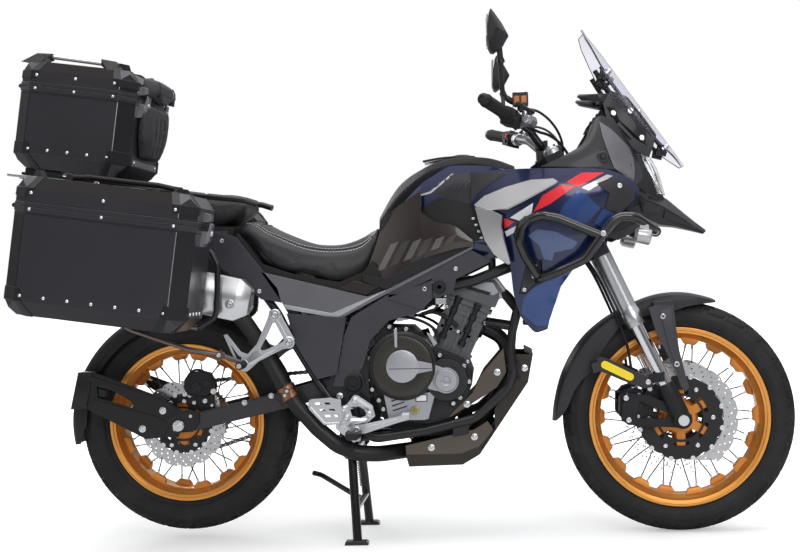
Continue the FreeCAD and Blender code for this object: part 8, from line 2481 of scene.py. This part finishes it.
def make_foot_rests():
    alloy = Form()
    passenger = ((-358, 672), (-340, 662), (-332, 644), (-302, 588), (-302, 572), (-316, 563), (-336, 560),
                 (-404, 528), (-438, 500), (-452, 502), (-468, 524), (-502, 604), (-492, 606), (-455, 556),
                 (-436, 548), (-408, 577), (-374, 652), (-370, 668))
    window = ((-354, 634), (-330, 586), (-336, 580), (-392, 556), (-398, 562), (-362, 634))
    slot = ((-486, 582), (-462, 546), (-452, 540), (-458, 528), (-466, 534))
    # the casting: a plate with a raised rim along each edge
    alloy.cut_plate(passenger, [window, slot], -222, -215, 0)
    rim_in = ((-348, 645), (-318, 585), (-326, 574), (-396, 547), (-410, 562), (-370, 640))
    alloy.cut_plate(rim_in, [window], -227, -221, 0)
    alloy.hull([(-352, -221, 560), (-442, -221, 510), (-452, -221, 520), (-420, -221, 556), (-398, -221, 556),
                (-362, -226, 562), (-438, -226, 520), (-414, -226, 548)], 0)
    for x, z in ((-355, 656), (-318, 578)):
        alloy.lathe((x, -214, z), (0, -1, 0), ((0, 17), (10, 17), (12, 15), (12, 11), (9, 10.5)), 0, sides=28)
        alloy.lathe((x, -216, z), (0, 1, 0), ((0, 10), (62, 10)), 0, sides=20)
        alloy.bolt((x, -222, z), (0, -1, 0), 9, 5, 1)
    alloy.lathe((-446, -212, 520), (0, -1, 0), ((0, 13), (16, 13), (18, 11)), 0, sides=24)
    # the folding rest: alloy core, ribbed rubber
    alloy.rod((-446, -226, 520), (-446, -296, 520), 7, 0)
    for k in range(9):
        alloy.lathe((-446, -236 - 6.6 * k, 520), (0, -1, 0), ((0, 9), (1, 10.6), (4, 10.6), (5, 9)), 2, sides=20)
    rider = ((-142, 426), (-130, 424), (-90, 396), (-84, 366), (-110, 346), (-124, 320), (-128, 300), (-146, 294),
             (-178, 318), (-196, 334), (-192, 362), (-176, 392), (-160, 404))
    rider_window = ((-154, 386), (-132, 394), (-114, 386), (-106, 370), (-126, 362), (-148, 368))
    alloy.cut_plate(rider, [rider_window], -206, -199, 0)
    alloy.hull([(-140, -206, 424), (-94, -206, 394), (-90, -206, 372), (-114, -206, 390), (-136, -206, 400),
                (-134, -211, 414), (-100, -211, 390), (-118, -211, 396)], 0)
    alloy.hull([(-190, -206, 352), (-150, -206, 362), (-98, -206, 362), (-112, -206, 346), (-150, -206, 340),
                (-180, -206, 332), (-182, -211, 345), (-150, -211, 354), (-112, -211, 356)], 0)
    for x, z in ((-139, 410), (-163, 364), (-169, 388), (-100, 372)):
        alloy.lathe((x, -205, z), (0, -1, 0), ((0, 10), (5, 10), (6.5, 8.5)), 0, sides=24)
        alloy.bolt((x, -211, z), (0, -1, 0), 6.5, 4, 1)
    alloy.rod((-138, -203, 405), (-138, -150, 405), 10, 0)
    heel = ((-268, 414), (-262, 418), (-206, 421), (-178, 414), (-176, 358), (-184, 346), (-222, 344), (-230, 348),
            (-268, 390), (-271, 400))
    holes = []
    for x, z in ((-244, 405), (-231, 387), (-217, 370)):
        for step in (0, 27):
            holes.append([(x + step - 9, z + 3), (x + step + 6, z + 3), (x + step + 10, z - 3),
                          (x + step - 5, z - 3)])
    alloy.cut_plate(heel, holes, -212, -206, 0)
    for line in (((-264, 396), (-226, 350)), ((-226, 349), (-184, 350))):
        alloy.tube([(x, -211, z) for x, z in line], 2.6, 0, sides=10)
    alloy.rod((-140, -199, 318), (-140, -214, 318), 15, 0)
    # the rider's rest: an oblong steel shell with teeth round a rubber
    start, end = Vector((-140, -212, 318)), Vector((-140, -292, 322))
    oblong = ((-19, -6), (-19, 6), (-14, 9), (14, 9), (19, 6), (19, -6), (12, -12), (-12, -12))
    alloy.loft([[p + Vector((x * size, 0, z * size)) for x, z in oblong]
                for p, size in ((start, 0.7), (start.lerp(end, 0.12), 1.0), (start.lerp(end, 0.96), 1.0),
                                (end, 0.8))], 3)
    for k in range(6):
        p = start.lerp(end, 0.16 + 0.15 * k)
        for x in (-16.5, 0, 16.5):
            alloy.hull([p + Vector((x - 2.5, -3.5, 8)), p + Vector((x + 2.5, -3.5, 8)), p + Vector((x - 2.5, 3.5, 8)),
                        p + Vector((x + 2.5, 3.5, 8)), p + Vector((x, 0, 13))], 3)
    other_rest = alloy.other_side()
    # brake pedal on the right, gear lever on the left
    pedal = ((-150, 330), (-146, 342), (-118, 345), (-20, 365), (6, 373), (14, 367), (12, 356), (-20, 348),
             (-112, 320), (-140, 318))
    alloy.prism(pedal, -218, -211, 0)
    alloy.prism(((-110, 338), (-24, 358), (-24, 354), (-108, 330)), -220, -217, 0)
    alloy.bolt((-136, -218, 331), (0, -1, 0), 9, 4, 1)
    alloy.bolt((-62, -218, 345), (0, -1, 0), 5, 3, 1)
    alloy.hull([(x, y, z) for x in (-8, 14) for y in (-236, -202) for z in (358, 372)], 0)
    for k in range(5):
        alloy.box((-7, -234 + 6.6 * k, 371), (13, -231 + 6.6 * k, 375), 0)
    alloy.rod((-124, -212, 301), (-14, -212, 316), 3.2, 3)
    alloy.merge(other_rest)
    lever = ((-148, 324), (-144, 338), (-116, 336), (-60, 329), (14, 336), (22, 328), (14, 321), (-60, 315),
             (-120, 320))
    alloy.prism(lever, 211, 218, 0)
    alloy.bolt((-136, 218, 330), (0, 1, 0), 9, 4, 1)
    alloy.rod((16, 206, 328), (16, 244, 328), 6, 0)
    for k in range(5):
        alloy.lathe((16, 214 + 6 * k, 328), ACROSS, ((0, 7.5), (1, 8.6), (4, 8.6), (5, 7.5)), 2, sides=20)
    piece("foot_rest_castings", alloy, "chassis", [REST_ALLOY, BOLT, RUBBER, CARRIER_BLACK], bevel=1.3,
          replaces=["foot_pegs"])


def make_tail():
    form = Form()
    stations = ((-904, 0.86), (-900, 1.0), (-860, 1.0), (-770, 1.0), (-700, 1.0), (-640, 1.0), (-560, 1.0),
                (-486, 1.0))
    low = ((70, 880), (86, 900), (84, 925), (60, 938))
    mid = ((100, 850), (122, 872), (122, 918), (96, 926))
    high = ((112, 820), (136, 842), (130, 905), (104, 912))
    sections = []
    for x, size in stations:
        if x < -640:
            share = (x + 900) / 260
            pairs = zip(low, mid)
        else:
            share = (x + 640) / 154
            pairs = zip(mid, high)
        half = [(a[0] + (b[0] - a[0]) * share, a[1] + (b[1] - a[1]) * share) for a, b in pairs]
        half = [(y * size, 908 + (z - 908) * size) for y, z in half]
        sections.append([(x, y, z) for y, z in half] + [(x, -y, z) for y, z in reversed(half)])
    form.loft(sections, 0)
    for side in (-1, 1):
        form.hull([(-700, side * 118, 905), (-500, side * 132, 900), (-500, side * 135, 868), (-700, side * 114, 878),
                   (-690, side * 121, 898), (-510, side * 136, 892), (-510, side * 138.5, 872)], 0)
        form.bolt((-511, side * 136, 869), (0, side, 0), 9, 5, 1)
    # mud flap and plate holder under the lamp, the plate left blank
    form.hull([(-898, y, z) for y in (-58, 58) for z in (880, 888)] + [(-880, y, 850) for y in (-40, 40)], 0)
    piece("tail_shell", form, "chassis", [PLASTIC, BOLT], bevel=3.0, replaces=["tail_body"])
    lens = Form()
    bowed = []
    for k in range(13):
        y = -70 + 140 * k / 12
        x = -917 + 10 * (y / 70) ** 2
        bowed.append([(x, y, 886), (x - 2, y, 906), (x, y, 927), (-899, y, 927), (-899, y, 886)])
    lens.loft(bowed, 0)
    for side in (-1, 1):
        for row in (896, 916):
            lens.hull([(-917 + 10 * (side * y / 70) ** 2, side * y, row + z) for y in (14, 60) for z in (-3, 3)]
                      + [(-919.5 + 10 * (side * y / 70) ** 2, side * y, row) for y in (16, 58)], 1)
    piece("tail_lamp_lens", lens, "chassis", [RED_LENS, RED_GLOW], bevel=1.0)


def make_frame_dress():
    """Caps and bolts on the frame, and the spring and feet of the centre stand."""
    form = Form()
    for side in (-1, 1):
        form.lathe((PIVOT_X, side * 158, PIVOT_Z), (0, side, 0),
                   ((0, 34), (3, 34), (5, 31), (5, 25), (3, 24), (3, 20), (6, 19), (6, 12), (4, 11)), 0, sides=40)
        form.lathe((PIVOT_X, side * 163, PIVOT_Z), (0, side, 0), ((0, 10), (1.5, 10), (2, 8)), 1, sides=6)
        for x, z, radius in ((-306, 649, 7), (-120, 318, 7), (-188, 420, 6)):
            form.lathe((x, side * 157, z), (0, side, 0), ((0, radius + 4), (2, radius + 4), (3, radius + 2)), 1,
                       sides=20)
            form.bolt((x, side * 159, z), (0, side, 0), radius, 4, 1)
        # the centre stand's pin
        form.lathe((-165, side * 147, 262), (0, side, 0), ((0, 12), (6, 12), (7, 10)), 1, sides=6)
    piece("frame_fasteners", form, "chassis", [PAINT_BLACK, BOLT], bevel=0.8)
    form = Form()
    coil = []
    for step in range(160):
        share = step / 159
        angle = 2 * pi * 16 * share
        middle = Vector((-176, 122, 240)).lerp(Vector((-166, 132, 120)), share)
        coil.append(middle + Vector((7 * cos(angle), 7 * sin(angle), 0)))
    form.tube(coil, 1.7, 0, sides=8)
    for side in (-1, 1):
        form.hull([(-184 + x, side * (152 + y), z)
                   for x, y, z in ((-2, -19, 0), (66, -19, 0), (66, 19, 0), (-2, 19, 0), (2, -15, 11), (60, -15, 11),
                                   (60, 15, 11), (2, 15, 11))], 1)
    piece("centre_stand_feet", form, "centre_stand_body", [CHAIN_STEEL, GLOSS_BLACK], bevel=1.0)


def make_carriers():
    """Pannier rails: bronze where they run low; black behind the cases, a painted shade of the cases' shadow."""
    form = Form()
    rail = ((-503, 720), (-500, 800), (-520, 840), (-905, 900), (-960, 880), (-985, 730), (-960, 690), (-560, 628),
            (-510, 655), (-503, 722))
    for side in (-1, 1):
        # runs behind the cases in black: painted shade
        for first, last, mark in ((0, 5, 0), (5, 7, 1), (7, 9, 0)):
            run = [(x, side * RAIL_Y, z) for x, z in rail[first:last + 1]]
            form.tube(rounded_path(run, 30), 8, mark, sides=16)
        form.rod((-560, side * 276, 846), (-560, side * 113, 846), 8, 0)
        form.rod((-900, side * 276, 899), (-896, side * 98, 905), 8, 0)
        form.tube(rounded_path([(-789, side * RAIL_Y, 664), (-760, side * 270, 630), (-587, side * 262, 566),
                                (-503, side * 252, 549), (-446, side * 222, 522)], 60), 7, 1, sides=16)
        form.hull([(x, side * y, z) for x, z in ((-520, 549), (-502, 566), (-496, 540), (-512, 534))
                   for y in (246, 262)], 1)
        form.bolt((-508, side * 262, 550), (0, side, 0), 6, 4, 2)
    piece("carrier_rails", form, "chassis", [PAINT_BLACK, RACK_BRONZE, BOLT],
          replaces=["case_carriers"])


def make_bar_loops():
    """The crash bars' rear loops, with the cast feet that join them to the frame."""
    form = Form()
    for side in (-1, 1):
        loop = [(356, side * 250, 900), (336, side * 252, 876), (329, side * 250, 838), (345, side * 240, 796),
                (378, side * 224, 742)]
        form.tube(rounded_path(loop, 30), 12.3, 0, sides=20)
        form.hull([(350, side * 196, 788), (392, side * 216, 788), (386, side * 214, 734), (346, side * 196, 694),
                   (324, side * 190, 694), (346, side * 196, 740), (350, side * 212, 786), (388, side * 222, 784),
                   (382, side * 222, 738), (344, side * 206, 700), (328, side * 204, 698)], 0)
        for x, z in ((370, 770), (366, 742), (340, 706)):
            form.bolt((x, side * 219, z), (0, side, 0), 6, 5, 1)
    piece("crash_bar_loops", form, "chassis", [GLOSS_BLACK, BOLT], bevel=1.0)


HUGGER_BLACK = material("hugger_black", (0.010, 0.010, 0.011), 0.44, grain=0.3, coat=0.1, mottle=0.08, edge=1.0)
ARM_SATIN = material("arm_satin", (0.036, 0.036, 0.042), 0.36, metal=0.4, coat=0.15, mottle=0.08, edge=1.0)
REST_ALLOY = material("rest_alloy", (0.60, 0.61, 0.64), 0.30, metal=0.85, mottle=0.08, grain=0.3, edge=1.0)
SPRING_GREY = material("spring_satin", (0.30, 0.30, 0.32), 0.30, metal=0.6, coat=0.3, mottle=0.08)
RED_GLOW = material("red_bars", (0.80, 0.03, 0.03), 0.20, coat=0.6, mottle=0.05)
make_hugger()
make_arm()
make_rear_brake()
make_chain()
make_damper()
make_foot_rests()
make_tail()
make_frame_dress()
make_carriers()
make_bar_loops()
